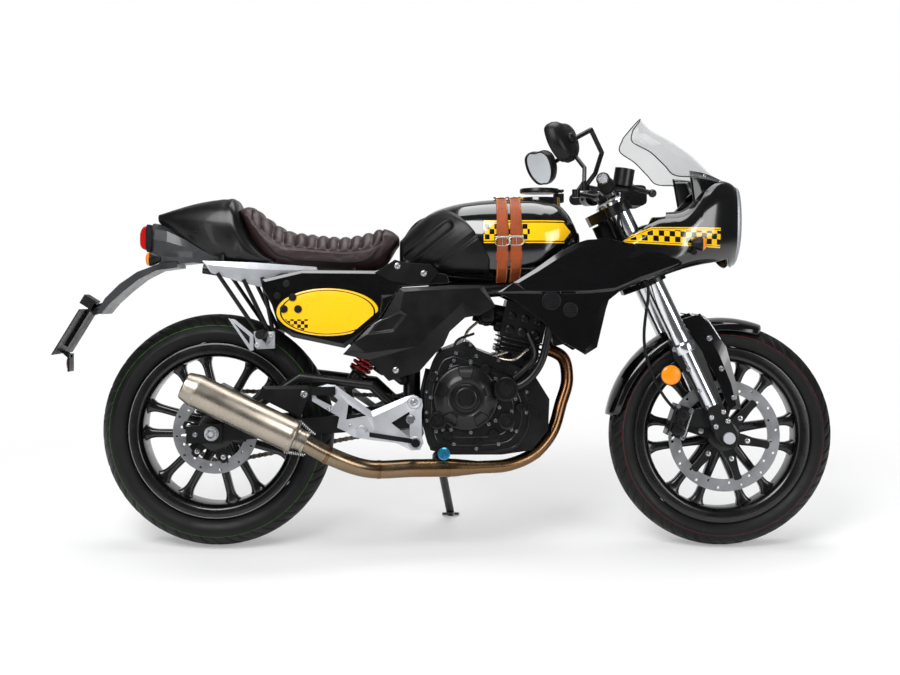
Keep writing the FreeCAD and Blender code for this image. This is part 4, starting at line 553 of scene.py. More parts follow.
# Finishes: every material is worked out from nodes.
class Sock:
    """Wraps a shader socket, so that an expression on it adds Math nodes."""

    def __init__(self, graph: "Graph", socket: bpy.types.NodeSocket) -> None:
        """Keeps the socket with its graph."""
        self.graph = graph
        self.socket = socket

    def math(self, operation: str, *others: Union["Sock", Number], first: Optional[Number] = None) -> "Sock":
        """One Math node with this socket as its first value, or second where a first one is given."""
        values = ([first, self] if first is not None else [self]) + list(others)
        return self.graph.node("ShaderNodeMath", {"operation": operation}, dict(enumerate(values)), 0)

    @staticmethod
    def operator(operation: str) -> Callable[..., "Sock"]:
        """Method that adds one Math node of a kind."""
        return lambda self, *others: self.math(operation, *others)

    __add__ = __radd__ = operator("ADD")
    __sub__ = operator("SUBTRACT")
    __mul__ = __rmul__ = operator("MULTIPLY")
    __truediv__ = operator("DIVIDE")
    __lt__ = operator("LESS_THAN")
    __gt__ = operator("GREATER_THAN")
    __abs__ = operator("ABSOLUTE")

    def __rsub__(self, other: Number) -> "Sock":
        """Difference from a number."""
        return self.math("SUBTRACT", first=other)

    def within(self, low: Number, high: Number) -> "Sock":
        """1 between two limits."""
        return (self > low) * (self < high)

    def odd(self) -> "Sock":
        """1 where the whole part is odd."""
        return self.math("FLOOR").math("MODULO", 2.0).math("ABSOLUTE")

    def ramp(self, low: Number, high: Number, to_low: Number = 0.0, to_high: Number = 1.0) -> "Sock":
        """Smooth change between two limits.

        Args:
            low: Where the change starts.
            high: Where it ends.
            to_low: Value before it.
            to_high: Value after it.

        Returns:
            The value.
        """
        return self.graph.node("ShaderNodeMapRange", {"interpolation_type": "SMOOTHSTEP"},
                               {"Value": self, "From Min": low, "From Max": high, "To Min": to_low,
                                "To Max": to_high}, "Result")


Value = Union[Sock, Number, Sequence[float]]


class Graph:
    """One material and its nodes."""

    def __init__(self, name: str) -> None:
        """Makes an empty material with a Principled shader.

        Args:
            name: The finish's plain name.
        """
        self.material = bpy.data.materials.new(name)
        self.material.use_nodes = True
        self.tree = self.material.node_tree
        self.tree.nodes.clear()
        self.output = self.tree.nodes.new("ShaderNodeOutputMaterial")
        self.shader = self.tree.nodes.new("ShaderNodeBsdfPrincipled")
        self.tree.links.new(self.shader.outputs[0], self.output.inputs["Surface"])

    def node(self, kind: str, settings: Optional[dict] = None, inputs: Optional[dict] = None,
             out: Union[int, str] = 0) -> Sock:
        """Adds a node, sets it, fills its inputs and gives one output.

        Args:
            kind: The node's type.
            settings: Attributes by name, such as the operation of a Math node.
            inputs: Values or links by socket name or number.
            out: The output that is wanted.

        Returns:
            The wrapped output.
        """
        made = self.tree.nodes.new(kind)
        for key, value in (settings or {}).items():
            setattr(made, key, value)
        for key, value in (inputs or {}).items():
            self.fill(made.inputs[key], value)
        return Sock(self, made.outputs[out])

    def fill(self, socket: bpy.types.NodeSocket, value: Value) -> None:
        """Links or sets one input.

        Args:
            socket: The input.
            value: What it gets.
        """
        if isinstance(value, Sock):
            self.tree.links.new(value.socket, socket)
        elif isinstance(value, (int, float)):
            socket.default_value = value
        else:
            wanted = len(socket.default_value)
            socket.default_value = tuple(value) + (1.0,) * (wanted - len(value))

    def surface(self, **inputs: Value) -> None:
        """Fills inputs of the Principled shader; an underscore in a name stands for a space."""
        for name, value in inputs.items():
            self.fill(self.shader.inputs[name.replace("_", " ")], value)

    def place(self) -> Sock:
        """Object coordinates."""
        return self.node("ShaderNodeTexCoord", out="Object")

    def split(self, vector: Sock) -> tuple[Sock, Sock, Sock]:
        """A vector's three numbers.

        Args:
            vector: The vector.

        Returns:
            The three numbers.
        """
        made = self.tree.nodes.new("ShaderNodeSeparateXYZ")
        self.fill(made.inputs[0], vector)
        return tuple(Sock(self, made.outputs[i]) for i in range(3))

    def upright(self) -> tuple[Sock, Sock, Sock]:
        """Object coordinates turned back to the upright machine, in millimetres.

        Returns:
            The three distances.
        """
        angle = math.radians(LEAN.degrees)
        x, y, z = self.split(self.place())
        up = z * (1 / MM) - LEAN.lift
        side = y * (1 / MM)
        return (x * (1 / MM), side * math.cos(angle) - up * math.sin(angle),
                side * math.sin(angle) + up * math.cos(angle))

    def surface_uv(self) -> tuple[Sock, Sock, Sock]:
        """The piece's own UV place."""
        return self.split(self.node("ShaderNodeUVMap", {"uv_map": "UVMap"}, out="UV"))

    def noise(self, scale: float, detail: float = 3.0, vector: Optional[Sock] = None) -> Sock:
        """Soft noise between 0 and 1."""
        return self.node("ShaderNodeTexNoise", None, {"Vector": vector or self.place(), "Scale": scale,
                                                      "Detail": detail, "Roughness": 0.55}, 0)

    def mix(self, share: Value, low: Value, high: Value) -> Sock:
        """Colour between two colours.

        Args:
            share: How much of the second.
            low: The first colour.
            high: The second colour.

        Returns:
            The colour.
        """
        made = self.tree.nodes.new("ShaderNodeMix")
        made.data_type = "RGBA"
        self.fill(made.inputs[0], share)
        self.fill(made.inputs[6], low)
        self.fill(made.inputs[7], high)
        return Sock(self, made.outputs[2])

    def bump(self, height: Sock, strength: float, distance: float = 0.001,
             normal: Optional[Sock] = None) -> Sock:
        """Bump that feeds a normal.

        Args:
            height: Height from 0 to 1.
            strength: How much of it shows.
            distance: Size of the relief in metres.
            normal: Another bump to add it to.

        Returns:
            The normal.
        """
        inputs = {"Height": height, "Strength": strength, "Distance": distance}
        if normal is not None:
            inputs["Normal"] = normal
        return self.node("ShaderNodeBump", None, inputs, "Normal")


def srgb(red: int, green: int, blue: int) -> Colour:
    """Linear colour from screen values of 0 to 255.

    Args:
        red: Red.
        green: Green.
        blue: Blue.

    Returns:
        Red, green and blue from 0 to 1.
    """
    screen = np.array([red, green, blue]) / 255
    linear = np.where(screen > 0.04045, ((screen + 0.055) / 1.055) ** 2.4, screen / 12.92)
    return tuple(float(v) for v in linear)


class Grain(Enum):
    """What the surface is like close to."""

    PEEL = "peel"
    CAST = "cast"
    BRUSHED = "brushed"
    POLISHED = "polished"
    STIPPLE = "stipple"
    HIDE = "hide"
    RIBBED = "ribbed"


@dataclass(frozen=True)
class Finish:
    """One finish: its colour, gloss and fine grain, all changed a little over the surface."""

    name: str
    slot: str
    colour: Colour
    roughness: float
    metallic: float = 0.0
    coat: float = 0.0
    grain: Grain = Grain.STIPPLE
    scale: float = 900.0
    bump: float = 0.15
    mottle: float = 0.18
    transmission: float = 0.0
    ior: float = 1.5
    sheen: float = 0.5

    def height(self, graph: Graph) -> Sock:
        """Fine relief of the grain.

        Args:
            graph: The material's graph.

        Returns:
            Height from 0 to 1.
        """
        place = graph.place()
        if self.grain is Grain.BRUSHED:
            place = graph.node("ShaderNodeMapping", None, {"Vector": place, "Scale": (1.0, 1.0, 24.0)}, 0)
            return graph.noise(self.scale / 10, 4.0, place)
        if self.grain is Grain.HIDE:
            cells = graph.node("ShaderNodeTexVoronoi", {"feature": "DISTANCE_TO_EDGE"},
                               {"Vector": place, "Scale": self.scale}, "Distance")
            return cells.ramp(0.0, 0.12) + graph.noise(self.scale / 12, 3.0) * 0.8
        if self.grain is Grain.RIBBED:
            _, y, _ = graph.upright()
            return (y * (self.scale / 1000)).math("SINE") * 0.5 + 0.5
        return graph.noise(self.scale, 2.0 if self.grain is Grain.PEEL else 5.0)

    def base(self, graph: Graph) -> Sock:
        """The finish's colour with a slow change and fine specks.

        Args:
            graph: The material's graph.

        Returns:
            The colour.
        """
        slow = graph.noise(9.0, 4.0)
        fine = graph.noise(self.scale / 3, 3.0)
        share = slow * 0.6 + fine * 0.4
        low = tuple(c * (1 - self.mottle) for c in self.colour)
        high = tuple(min(1.0, c * (1 + self.mottle) + 0.002) for c in self.colour)
        return graph.mix(share.ramp(0.3, 0.7), low, high)

    def paint(self, graph: Graph) -> Sock:
        """Colour after any artwork; the plain finish has none."""
        return self.base(graph)

    def material(self) -> bpy.types.Material:
        """The finished material, made once.

        Returns:
            A material with its node tree.
        """
        made = bpy.data.materials.get(self.name)
        if made:
            return made
        graph = Graph(self.name)
        wear = graph.noise(14.0, 5.0)
        rough = wear.ramp(0.3, 0.75, self.roughness * 0.82, min(1.0, self.roughness * 1.22 + 0.02))
        graph.surface(Base_Color=self.paint(graph), Roughness=rough, Metallic=self.metallic, IOR=self.ior,
                      Coat_Weight=self.coat, Coat_Roughness=0.04, Transmission_Weight=self.transmission,
                      Specular_IOR_Level=self.sheen,
                      Normal=graph.bump(self.height(graph), self.bump, 0.0004))
        return graph.material


BLACK_PANEL = Finish("semi gloss black plastic", "dark_plastic", srgb(6, 6, 7), 0.32, coat=0.1, scale=1300.0,
                     bump=0.1, sheen=0.28)
BLACK_GLOSS = Finish("gloss black paint", "black_paint", srgb(3, 3, 4), 0.12, 0.0, 0.45, Grain.PEEL, 420.0,
                     0.03, sheen=0.3)
BLACK_SATIN = Finish("satin black plastic", "dark_plastic", srgb(8, 8, 9), 0.40, scale=1500.0, bump=0.25,
                     sheen=0.22)
BLACK_ENGINE = Finish("black engine coating", "black_alloy", srgb(9, 9, 10), 0.32, 0.0, 0.1, Grain.CAST,
                      700.0, 0.3, sheen=0.3)
BLACK_ALLOY = Finish("black wheel lacquer", "black_alloy", srgb(5, 5, 6), 0.25, 0.0, 0.3, Grain.PEEL, 500.0,
                     0.05, sheen=0.35)
GREY_ALLOY = Finish("satin grey paint", "alloy", srgb(150, 152, 156), 0.38, 0.3, 0.0, Grain.CAST, 800.0, 0.1,
                    0.08)
SILVER_ALLOY = Finish("satin silver alloy", "alloy", srgb(186, 188, 193), 0.36, 0.6, 0.0, Grain.CAST, 900.0,
                      0.15, 0.08)
POLISHED = Finish("chromed tube", "chrome", srgb(206, 208, 212), 0.17, 1.0, 0.0, Grain.POLISHED, 300.0, 0.02,
                  0.05)
STEEL = Finish("brushed steel", "steel", srgb(158, 150, 138), 0.3, 1.0, 0.0, Grain.BRUSHED, 900.0, 0.2, 0.14)
DISC_STEEL = Finish("ground disc steel", "steel", srgb(150, 151, 154), 0.32, 0.85, 0.0, Grain.BRUSHED, 900.0,
                    0.1, 0.1)
DARK_STEEL = Finish("oiled dark steel", "steel", srgb(70, 70, 72), 0.36, 0.9, 0.0, Grain.CAST, 900.0, 0.25,
                    0.3)
SCREW_STEEL = Finish("bright screw heads", "steel", srgb(190, 191, 195), 0.24, 1.0, 0.0, Grain.POLISHED,
                     900.0, 0.06, 0.1)
RUBBER = Finish("black rubber", "rubber", srgb(12, 12, 13), 0.6, scale=1800.0, bump=0.3, sheen=0.2)
SEAT_HIDE = Finish("dark brown hide", "leather", srgb(38, 21, 23), 0.34, 0.0, 0.0, Grain.HIDE, 520.0, 0.35,
                   0.22, sheen=0.4)
TAN_HIDE = Finish("tan harness leather", "tan_leather", srgb(142, 64, 22), 0.48, 0.0, 0.0, Grain.HIDE, 700.0,
                  0.4, 0.24, sheen=0.25)
THREAD = Finish("stitching thread", "leather", srgb(86, 60, 52), 0.8, scale=3000.0, bump=0.4)
TAN_THREAD = Finish("pale stitching thread", "tan_leather", srgb(205, 160, 110), 0.8, scale=3000.0, bump=0.4)
RED_SPRING = Finish("red spring enamel", "red_lens", srgb(176, 16, 18), 0.24, 0.0, 0.8, Grain.PEEL, 500.0,
                    0.04)
RED_PLASTIC = Finish("red switch plastic", "red_lens", srgb(196, 28, 24), 0.35, coat=0.2, scale=1200.0,
                     bump=0.1)
RED_LENS = Finish("red lamp lens", "red_lens", srgb(200, 12, 14), 0.12, 0.0, 0.6, Grain.RIBBED, 1600.0, 0.25,
                  0.15, 0.35)
AMBER_LENS = Finish("amber lamp lens", "amber_lens", srgb(250, 142, 0), 0.24, 0.0, 0.2, Grain.RIBBED, 1600.0,
                    0.25, 0.12, 0.15, sheen=0.3)
WHITE_ENAMEL = Finish("white plate enamel", "white_plate", srgb(226, 227, 224), 0.3, 0.0, 0.3, Grain.PEEL,
                      600.0, 0.04, 0.05)
CYAN_PLUG = Finish("blue anodised plug", "alloy", srgb(60, 150, 190), 0.25, 0.8, 0.0, Grain.POLISHED, 700.0,
                   0.05)
BUCKLE_METAL = Finish("worn buckle metal", "steel", srgb(188, 186, 178), 0.28, 1.0, 0.0, Grain.POLISHED,
                      700.0, 0.08, 0.15)
CHAIN_PLATE = Finish("chain plate steel", "steel", srgb(128, 122, 108), 0.34, 1.0, 0.0, Grain.BRUSHED, 900.0,
                     0.12)
MIRROR_GLASS = Finish("silvered glass", "chrome", srgb(205, 210, 214), 0.03, 1.0, 0.0, Grain.POLISHED, 60.0,
                      0.0, 0.02)
GREY_PLASTIC = Finish("dark grey plastic", "dark_plastic", srgb(46, 47, 50), 0.34, coat=0.2, scale=1500.0,
                      bump=0.15, sheen=0.3)
DIAL_FACE = Finish("dial face", "dark_plastic", srgb(20, 21, 24), 0.3, 0.0, 0.5, Grain.PEEL, 900.0, 0.02)


@dataclass(frozen=True)
class LinedRubber(Finish):
    """Tyre rubber with one thin coloured line along the shoulder."""

    line: tuple[float, float] = (0.0, 0.0)
    line_colour: Colour = (0.2, 0.7, 0.1)

    def paint(self, graph: Graph) -> Sock:
        """Rubber, with the line between two places across the profile.

        Args:
            graph: The material's graph.

        Returns:
            The colour.
        """
        _, across_way, _ = graph.surface_uv()
        return graph.mix(across_way.within(*self.line) * graph.noise(60.0).ramp(0.25, 0.5, 0.6, 1.0),
                         self.base(graph), self.line_colour)


@dataclass(frozen=True)
class HeatTint(Finish):
    """Steel pipe coloured by heat: straw and gold near the engine, then bare."""

    hot: Colour = srgb(96, 64, 42)
    warm: Colour = srgb(122, 96, 68)

    def paint(self, graph: Graph) -> Sock:
        """Colour that changes along the pipe, broken by soft noise.

        Args:
            graph: The material's graph.

        Returns:
            The colour.
        """
        _, along, _ = graph.surface_uv()
        place = along + (graph.noise(11.0, 4.0) - 0.5) * 0.3
        bronzed = graph.mix(place.ramp(0.0, 0.55), self.hot, self.warm)
        return graph.mix(place.ramp(0.6, 1.0), bronzed, self.base(graph))


@dataclass(frozen=True)
class TankPaint(Finish):
    """Gloss black with a yellow middle stripe and a checkered band on each side."""

    yellow: Colour = srgb(*YELLOW_PAINT)
    rear_x: float = 33.0
    front_x: float = 262.0
    low_z: float = 792.0
    high_z: float = 850.0
    square: float = 12.0

    def paint(self, graph: Graph) -> Sock:
        """Paint with its artwork, laid out on the upright side view and on the top.

        Args:
            graph: The material's graph.

        Returns:
            The colour.
        """
        x, y, z = graph.upright()
        top = (abs(y) < 24.0) * (z > 820.0)
        pin = (abs(y) > 28.0) * (abs(y) < 31.0) * (z > 850.0)
        nose = self.front_x - abs(z - (self.low_z + self.high_z) / 2) * 0.8
        band = z.within(self.low_z, self.high_z) * (x > self.rear_x) * (x < nose)
        inner = z.within(self.low_z + 6.0, self.high_z - 6.0) * (x > self.rear_x) * (x < nose - 5.0)
        field_zone = z.within(self.low_z + 9.0, self.high_z - 9.0) * (x > self.rear_x) * (x < nose - 9.0)
        checks = ((x / self.square).math("FLOOR") + ((z - self.low_z - 9.0) / 13.3).math("FLOOR")).odd()
        squares = field_zone * (x < 150.0) * checks
        colour = graph.mix(top, self.base(graph), self.yellow)
        colour = graph.mix(pin, colour, self.yellow)
        colour = graph.mix(band, colour, self.yellow)
        edge = band * (1 - inner) * z.within(self.low_z + 3.0, self.high_z - 3.0)
        colour = graph.mix(edge, colour, self.colour)
        return graph.mix(squares, colour, self.colour)


@dataclass(frozen=True)
class NosePaint(Finish):
    """Gloss black with a checkered wedge that widens to the front."""

    yellow: Colour = srgb(*YELLOW_PAINT)
    tip_x: float = 376.0
    wide_x: float = 466.0
    end_x: float = 640.0
    tip_z: float = 796.0
    low_slope: float = -0.05
    high_z: float = 832.0

    def paint(self, graph: Graph) -> Sock:
        """Paint with two rows of squares between two thin lines.

        Args:
            graph: The material's graph.

        Returns:
            The colour.
        """
        x, _, z = graph.upright()
        low = (x - self.tip_x) * self.low_slope + self.tip_z - 3.0
        rise = (self.high_z - self.tip_z) / (self.wide_x - self.tip_x)
        high = ((x - self.tip_x) * rise + self.tip_z + 3.0).math("MINIMUM", self.high_z)
        band = (z - low > 0.0) * (high - z > 0.0) * x.within(self.tip_x, self.end_x)
        inner = (z - low > 8.0) * (high - z > 8.0) * x.within(self.tip_x, self.end_x)
        line = (z - low > 3.5) * (high - z > 3.5) * band * (1 - (z - low > 5.0) * (high - z > 5.0))
        rows = (z - low - 8.0) / 14.0
        checks = ((x / 14.0).math("FLOOR") + rows.math("FLOOR")).odd()
        colour = graph.mix(band, self.base(graph), self.yellow)
        colour = graph.mix(line, colour, self.colour)
        return graph.mix(inner * checks, colour, self.colour)


@dataclass(frozen=True)
class BoardPaint(Finish):
    """Yellow number board with a black line inside its edge and small squares at the lower rear."""

    ink: Colour = srgb(18, 18, 18)

    def paint(self, graph: Graph) -> Sock:
        """Paint laid out on the upright side view.

        Args:
            graph: The material's graph.

        Returns:
            The colour.
        """
        x, _, z = graph.upright()
        across_x = (x - BOARD_MIDDLE[0]) / BOARD_HALF[0]
        across_z = (z - BOARD_MIDDLE[1]) / BOARD_HALF[1]
        reach = across_x * across_x + across_z * across_z
        line = reach.within(0.80, 0.86)
        corner = (reach < 0.78) * (x < -414.0) * (z < 598.0)
        checks = ((x / 9.0).math("FLOOR") + (z / 9.0).math("FLOOR")).odd()
        colour = graph.mix(line, self.base(graph), self.ink)
        return graph.mix(corner * checks, colour, self.ink)


@dataclass(frozen=True)
class Glass(Finish):
    """Clear or smoked plastic sheet."""

    def material(self) -> bpy.types.Material:
        """Mixes a clear pass with a thin gloss, so that the sheet doesn't bend what is behind it.

        Returns:
            The material.
        """
        made = bpy.data.materials.get(self.name)
        if made:
            return made
        graph = Graph(self.name)
        haze = graph.noise(12.0, 4.0)
        graph.surface(Base_Color=graph.mix(haze, self.colour, tuple(c * 0.92 for c in self.colour)),
                      Roughness=haze.ramp(0.3, 0.7, self.roughness, self.roughness * 1.6),
                      Transmission_Weight=self.transmission, IOR=self.ior, Coat_Weight=0.3,
                      Alpha=haze.ramp(0.2, 0.8, 0.16, 0.22))
        return graph.material


@dataclass(frozen=True)
class MeshVent(Finish):
    """Woven wire grille on a flat disc: wires, with painted shade in the holes between them."""

    def height(self, graph: Graph) -> Sock:
        """Wires as the higher of two sine waves."""
        x, _, z = graph.upright()
        return (x * 1.6).math("SINE").math("MAXIMUM", (z * 1.6).math("SINE"))

    def paint(self, graph: Graph) -> Sock:
        """Painted shade, nearly black, in the holes between the wires."""
        return graph.mix(self.height(graph).ramp(0.2, 0.8), srgb(8, 8, 9), self.colour)


PIPE_STEEL = HeatTint("heat tinted pipe", "steel", srgb(132, 120, 102), 0.24, 1.0, 0.0, Grain.BRUSHED, 500.0,
                      0.08, 0.16)
TANK_PAINT = TankPaint("black tank paint", "black_paint", srgb(5, 5, 6), 0.12, 0.0, 0.6, Grain.PEEL, 420.0,
                       0.02)
NOSE_PAINT = NosePaint("black nose paint", "black_paint", srgb(5, 5, 6), 0.12, 0.0, 0.6, Grain.PEEL, 420.0,
                       0.02)
BOARD_PAINT = BoardPaint("yellow number board", "yellow", srgb(*YELLOW_PAINT), 0.22, 0.0, 0.6, Grain.PEEL,
                         500.0, 0.03, 0.04)
CLEAR_SHEET = Glass("clear screen sheet", "clear", srgb(150, 153, 156), 0.03, transmission=0.0, ior=1.4)
LAMP_GLASS = Glass("clear lamp glass", "clear", srgb(236, 240, 242), 0.02, transmission=0.9, ior=1.2)
VENT_MESH = MeshVent("wire grille", "steel", srgb(58, 58, 60), 0.35, 0.9)


class Group:
    """What every sub-assembly can do: turn surfaces into pieces, and give the solids their finishes."""

    rides_on: str = "chassis"

    def piece(self, name: str, skin: Skin, *finishes: Finish, body: str = "", replaces: str = "",
              bevel: float = 0.0, thick: float = 0.0, smooth_deg: float = 40.0) -> bpy.types.Object:
        """Makes one piece.

        Args:
            name: The piece's plain name.
            skin: Its surface, upright.
            finishes: Finishes by the skin's numbers.
            body: The body that it rides on, where that isn't the group's own.
            replaces: CAD node that it stands for.
            bevel: Rounding of hard edges, in millimetres.
            thick: Wall that is given to an open sheet, inwards, in millimetres.
            smooth_deg: Edges flatter than this are shaded smooth.

        Returns:
            The object.
        """
        mesh = bpy.data.meshes.new(name)
        mesh.from_pydata(LEAN.place(skin.points).tolist(), [], skin.faces)
        corner = np.empty(len(mesh.loops), dtype=np.int32)
        mesh.loops.foreach_get("vertex_index", corner)
        layer = mesh.uv_layers.new(name="UVMap")
        layer.data.foreach_set("uv", skin.uv[corner].astype(np.float32).ravel())
        mesh.polygons.foreach_set("material_index", np.array(skin.finish, dtype=np.int32))
        for finish in finishes:
            mesh.materials.append(finish.material())
        work = bmesh.new()
        work.from_mesh(mesh)
        bmesh.ops.remove_doubles(work, verts=work.verts, dist=SAME_POINT)
        bmesh.ops.dissolve_degenerate(work, edges=work.edges, dist=SAME_POINT)
        bmesh.ops.recalc_face_normals(work, faces=work.faces)
        work.to_mesh(mesh)
        work.free()
        mesh.shade_smooth()
        mesh.set_sharp_from_angle(angle=math.radians(smooth_deg))
        made = bpy.data.objects.new(name, mesh)
        bpy.context.scene.collection.objects.link(made)
        if thick:
            wall = made.modifiers.new("wall", "SOLIDIFY")
            wall.thickness, wall.offset, wall.use_even_offset = thick * MM, -1.0, True
        if bevel:
            edge = made.modifiers.new("edge", "BEVEL")
            edge.width, edge.segments, edge.limit_method = bevel * MM, 2, "ANGLE"
            edge.angle_limit, edge.use_clamp_overlap = math.radians(min(BEVEL_FROM_DEG, smooth_deg)), True
            edge.harden_normals = True
        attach(made, body or self.rides_on)
        if replaces:
            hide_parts(replaces)
        log.info("%s: %d faces on %s", name, len(mesh.polygons), body or self.rides_on)
        return made

    def dress(self, finish: Finish, *nodes: str) -> None:
        """Gives CAD nodes a finish through their material slots.

        Args:
            finish: The finish.
            nodes: The nodes' names.
        """
        material = finish.material()
        for node in nodes:
            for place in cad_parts[node].material_slots:
                place.material = material
            log.info("%s: %s", node, finish.name)


def arc_through(first: Sequence[float], middle: Sequence[float], last: Sequence[float], count: int) -> Array:
    """Points of the circle through three points: centre plus radius·(cos, sin) between the two end angles.

    Args:
        first: Where it starts.
        middle: A point on it.
        last: Where it ends.
        count: How many points.

    Returns:
        Array of count pairs.
    """
    a, b, c = (np.array(p, dtype=float) for p in (first, middle, last))
    rows = 2 * np.array([b - a, c - a])
    centre = np.linalg.solve(rows, np.array([b @ b - a @ a, c @ c - a @ a]))
    arms = np.array([a, b, c]) - centre
    angles = np.unwrap(np.arctan2(arms[:, 1], arms[:, 0]))
    turn = np.linspace(angles[0], angles[2], count)
    radius = np.linalg.norm(arms[0])
    return centre + radius * np.stack([np.cos(turn), np.sin(turn)], axis=-1)


@dataclass
class RoadWheel(Group):
    """Tyre, cast wheel and drilled brake disc on one axle."""

    name: str
    x: float
    radius: float
    half: float
    drop: float
    rim_half: float
    hub_r: float
    hub_left: float
    start_deg: float
    disc_y: float
    disc_r: float
    disc_inner: float
    disc_holes: int
    line_r: float
    line_colour: Colour
    # Colour of the painted highlight ring along the rim's edge.
    rim_highlight_colour: Colour
    bead_r: float = 232.3
    rim_highlight_r: float = 226.0
    flange_r: float = 232.0
    window_r: float = 192.0
    well_r: float = 203.0
    steps: int = 721
    grooves: int = 26
    valve_turn: float = 0.2
    groove_depth: float = 4.2
    caliper_deg: float = 62.0
    caliper_body: str = "chassis"

    @property
    def rides_on(self) -> str:
        """The wheel's own body."""
        return self.name + "_wheel"

    @property
    def centre(self) -> Array:
        """Middle of the wheel."""
        return np.array([self.x, 0.0, self.radius])

    def profile(self) -> Array:
        """Pairs of distance across and radius, from the left bead over the tread to the right bead.

        Returns:
            Array of pairs.
        """
        bulge = self.radius - self.drop
        edge = ((self.bead_r + bulge) / 2, self.half - 4.0)
        wall = arc_through((self.rim_half, self.bead_r), (edge[1], edge[0]), (self.half, bulge), 9)
        tread = arc_through((self.half, bulge), (0.0, self.radius), (-self.half, bulge), 45)
        return np.concatenate([wall[:-1], tread, (wall[:-1] * np.array([-1, 1]))[::-1]])

    def tyre(self) -> None:
        """Treaded tyre: the profile carried round, pushed in where a groove runs.

        A groove is where the turn, slanted by the distance across, comes within a narrow share of each pitch.
        """
        profile = self.profile()
        turn = np.linspace(0, 2 * math.pi, self.steps)
        across_way, size = profile[:, :1], profile[:, 1:]
        share = np.abs(across_way) / self.half
        phase = turn[None] * self.grooves / (2 * math.pi) - 0.75 * share ** 1.4 + 0.5 * (across_way > 0)
        cut = np.abs((phase % 1.0) - 0.5)
        long_cut = np.clip((0.075 - cut) / 0.025, 0, 1) * np.clip((share - 0.10) / 0.05, 0, 1)
        short = np.abs(((phase + 0.45) % 1.0) - 0.5)
        short_cut = np.clip((0.055 - short) / 0.025, 0, 1) * np.clip((share - 0.45) / 0.05, 0, 1)
        zone = np.clip((0.93 - share) / 0.05, 0, 1) * (size > self.line_r + 3.0)
        depth = self.groove_depth * np.maximum(long_cut, short_cut) * zone
        reach = size - depth
        first, second = across(Y_AXIS)
        ring = np.cos(turn)[:, None] * first + np.sin(turn)[:, None] * second
        points = self.centre + across_way[:, :, None] * Y_AXIS + reach[:, :, None] * ring[None]
        closing = points[:1]
        at = int(np.argmin(np.abs(profile[:, 1] - self.line_r)[len(profile) // 2:])) + len(profile) // 2
        rows = len(profile)
        middle = at / rows
        finish = LinedRubber(self.name + " tyre rubber", "tyre", srgb(11, 11, 12), 0.5, 0.0, 0.0,
                             Grain.STIPPLE, 1500.0, 0.3, line=(middle - 0.10 / rows, middle + 0.22 / rows),
                             line_colour=self.line_colour, sheen=0.22)
        rings = [(self.bead_r + rise, side * (self.rim_half + out)) for side in (-1, 1)
                 for rise, out in ((5.0, 2.2), (11.0, 5.4))]
        beads = [lathe([(r, y - 1.2), (r + 1.0, y), (r, y + 1.2), (r - 1.0, y)], self.centre, closed=True,
                       steps=96) for r, y in rings]
        self.piece(self.name + "_tyre_treaded", merged([grid(np.concatenate([points, closing]))] + beads),
                   finish, replaces=self.name + "_tyre", smooth_deg=50)

    def spoke(self, root_deg: float, tip_deg: float) -> Skin:
        """One cast spoke: a rounded section that tapers outwards and flares into the hub and the rim.

        The section is a superellipse of power 3.4: sign(cos)·|cos|^(2/3.4) wide and the same of sin deep.

        Args:
            root_deg: Angle at the hub.
            tip_deg: Angle at the rim.

        Returns:
            The spoke.
        """
        ends = [in_side_view(math.radians(a)) * r
                for a, r in ((root_deg, self.hub_r - 5), (tip_deg, self.window_r + 5))]
        t = np.linspace(0, 1, 17)[:, None]
        line = ends[0] + (ends[1] - ends[0]) * t
        way = unit(ends[1] - ends[0])
        side = np.array([-way[2], 0, way[0]])
        flare = 14.0 * np.exp(-t / 0.09) + 42.0 * np.exp(-(1 - t) / 0.065)
        wide = (24.0 + (20.0 - 24.0) * t + flare) / 2
        deep = (42.0 + (26.0 - 42.0) * t + flare * 0.25) / 2
        turn = np.linspace(0, 2 * math.pi, 25)
        points = (line[:, None] + wide[:, :, None] * bowed(np.cos(turn), 3.4)[None, :, None] * side
                  + deep[:, :, None] * bowed(np.sin(turn), 3.4)[None, :, None] * Y_AXIS)
        return grid(points + self.centre, cap=True)

    def casting(self) -> None:
        """Rim, hub and six pairs of spokes, with a thin ring of flat colour on each rim flange: a painted
        highlight along the rim's edge.
        """
        flange = self.rim_half / 7
        half = [(self.well_r, self.rim_half / 2), (214.0, self.rim_half - flange),
                (self.flange_r - 2, self.rim_half - flange), (self.flange_r, self.rim_half - flange / 2),
                (self.flange_r - 2, self.rim_half), (self.well_r + 12, self.rim_half + 1.0),
                (self.well_r, self.rim_half), (self.window_r, self.rim_half * 0.72)]
        loop = corners_cut(half + [(r, -y) for r, y in reversed(half)], 2, 0.2)
        pieces = [lathe([tuple(p) for p in loop], self.centre, steps=144, closed=True)]
        right, left = self.disc_y + 2.5, self.hub_left
        hub = [(10.0, right), (self.hub_r - 12, right), (self.hub_r - 9, right + 9),
               (self.hub_r - 9, right + 14), (self.hub_r, right + 22), (self.hub_r, left - 16),
               (self.hub_r - 6, left - 8), (self.hub_r - 6, left), (10.0, left)]
        pieces.append(lathe(hub, self.centre, steps=72, closed=True))
        for index in range(6):
            middle = self.start_deg + index * 60
            pieces += [self.spoke(middle + side * 6, middle + side * 19) for side in (-1, 1)]
        lines = []
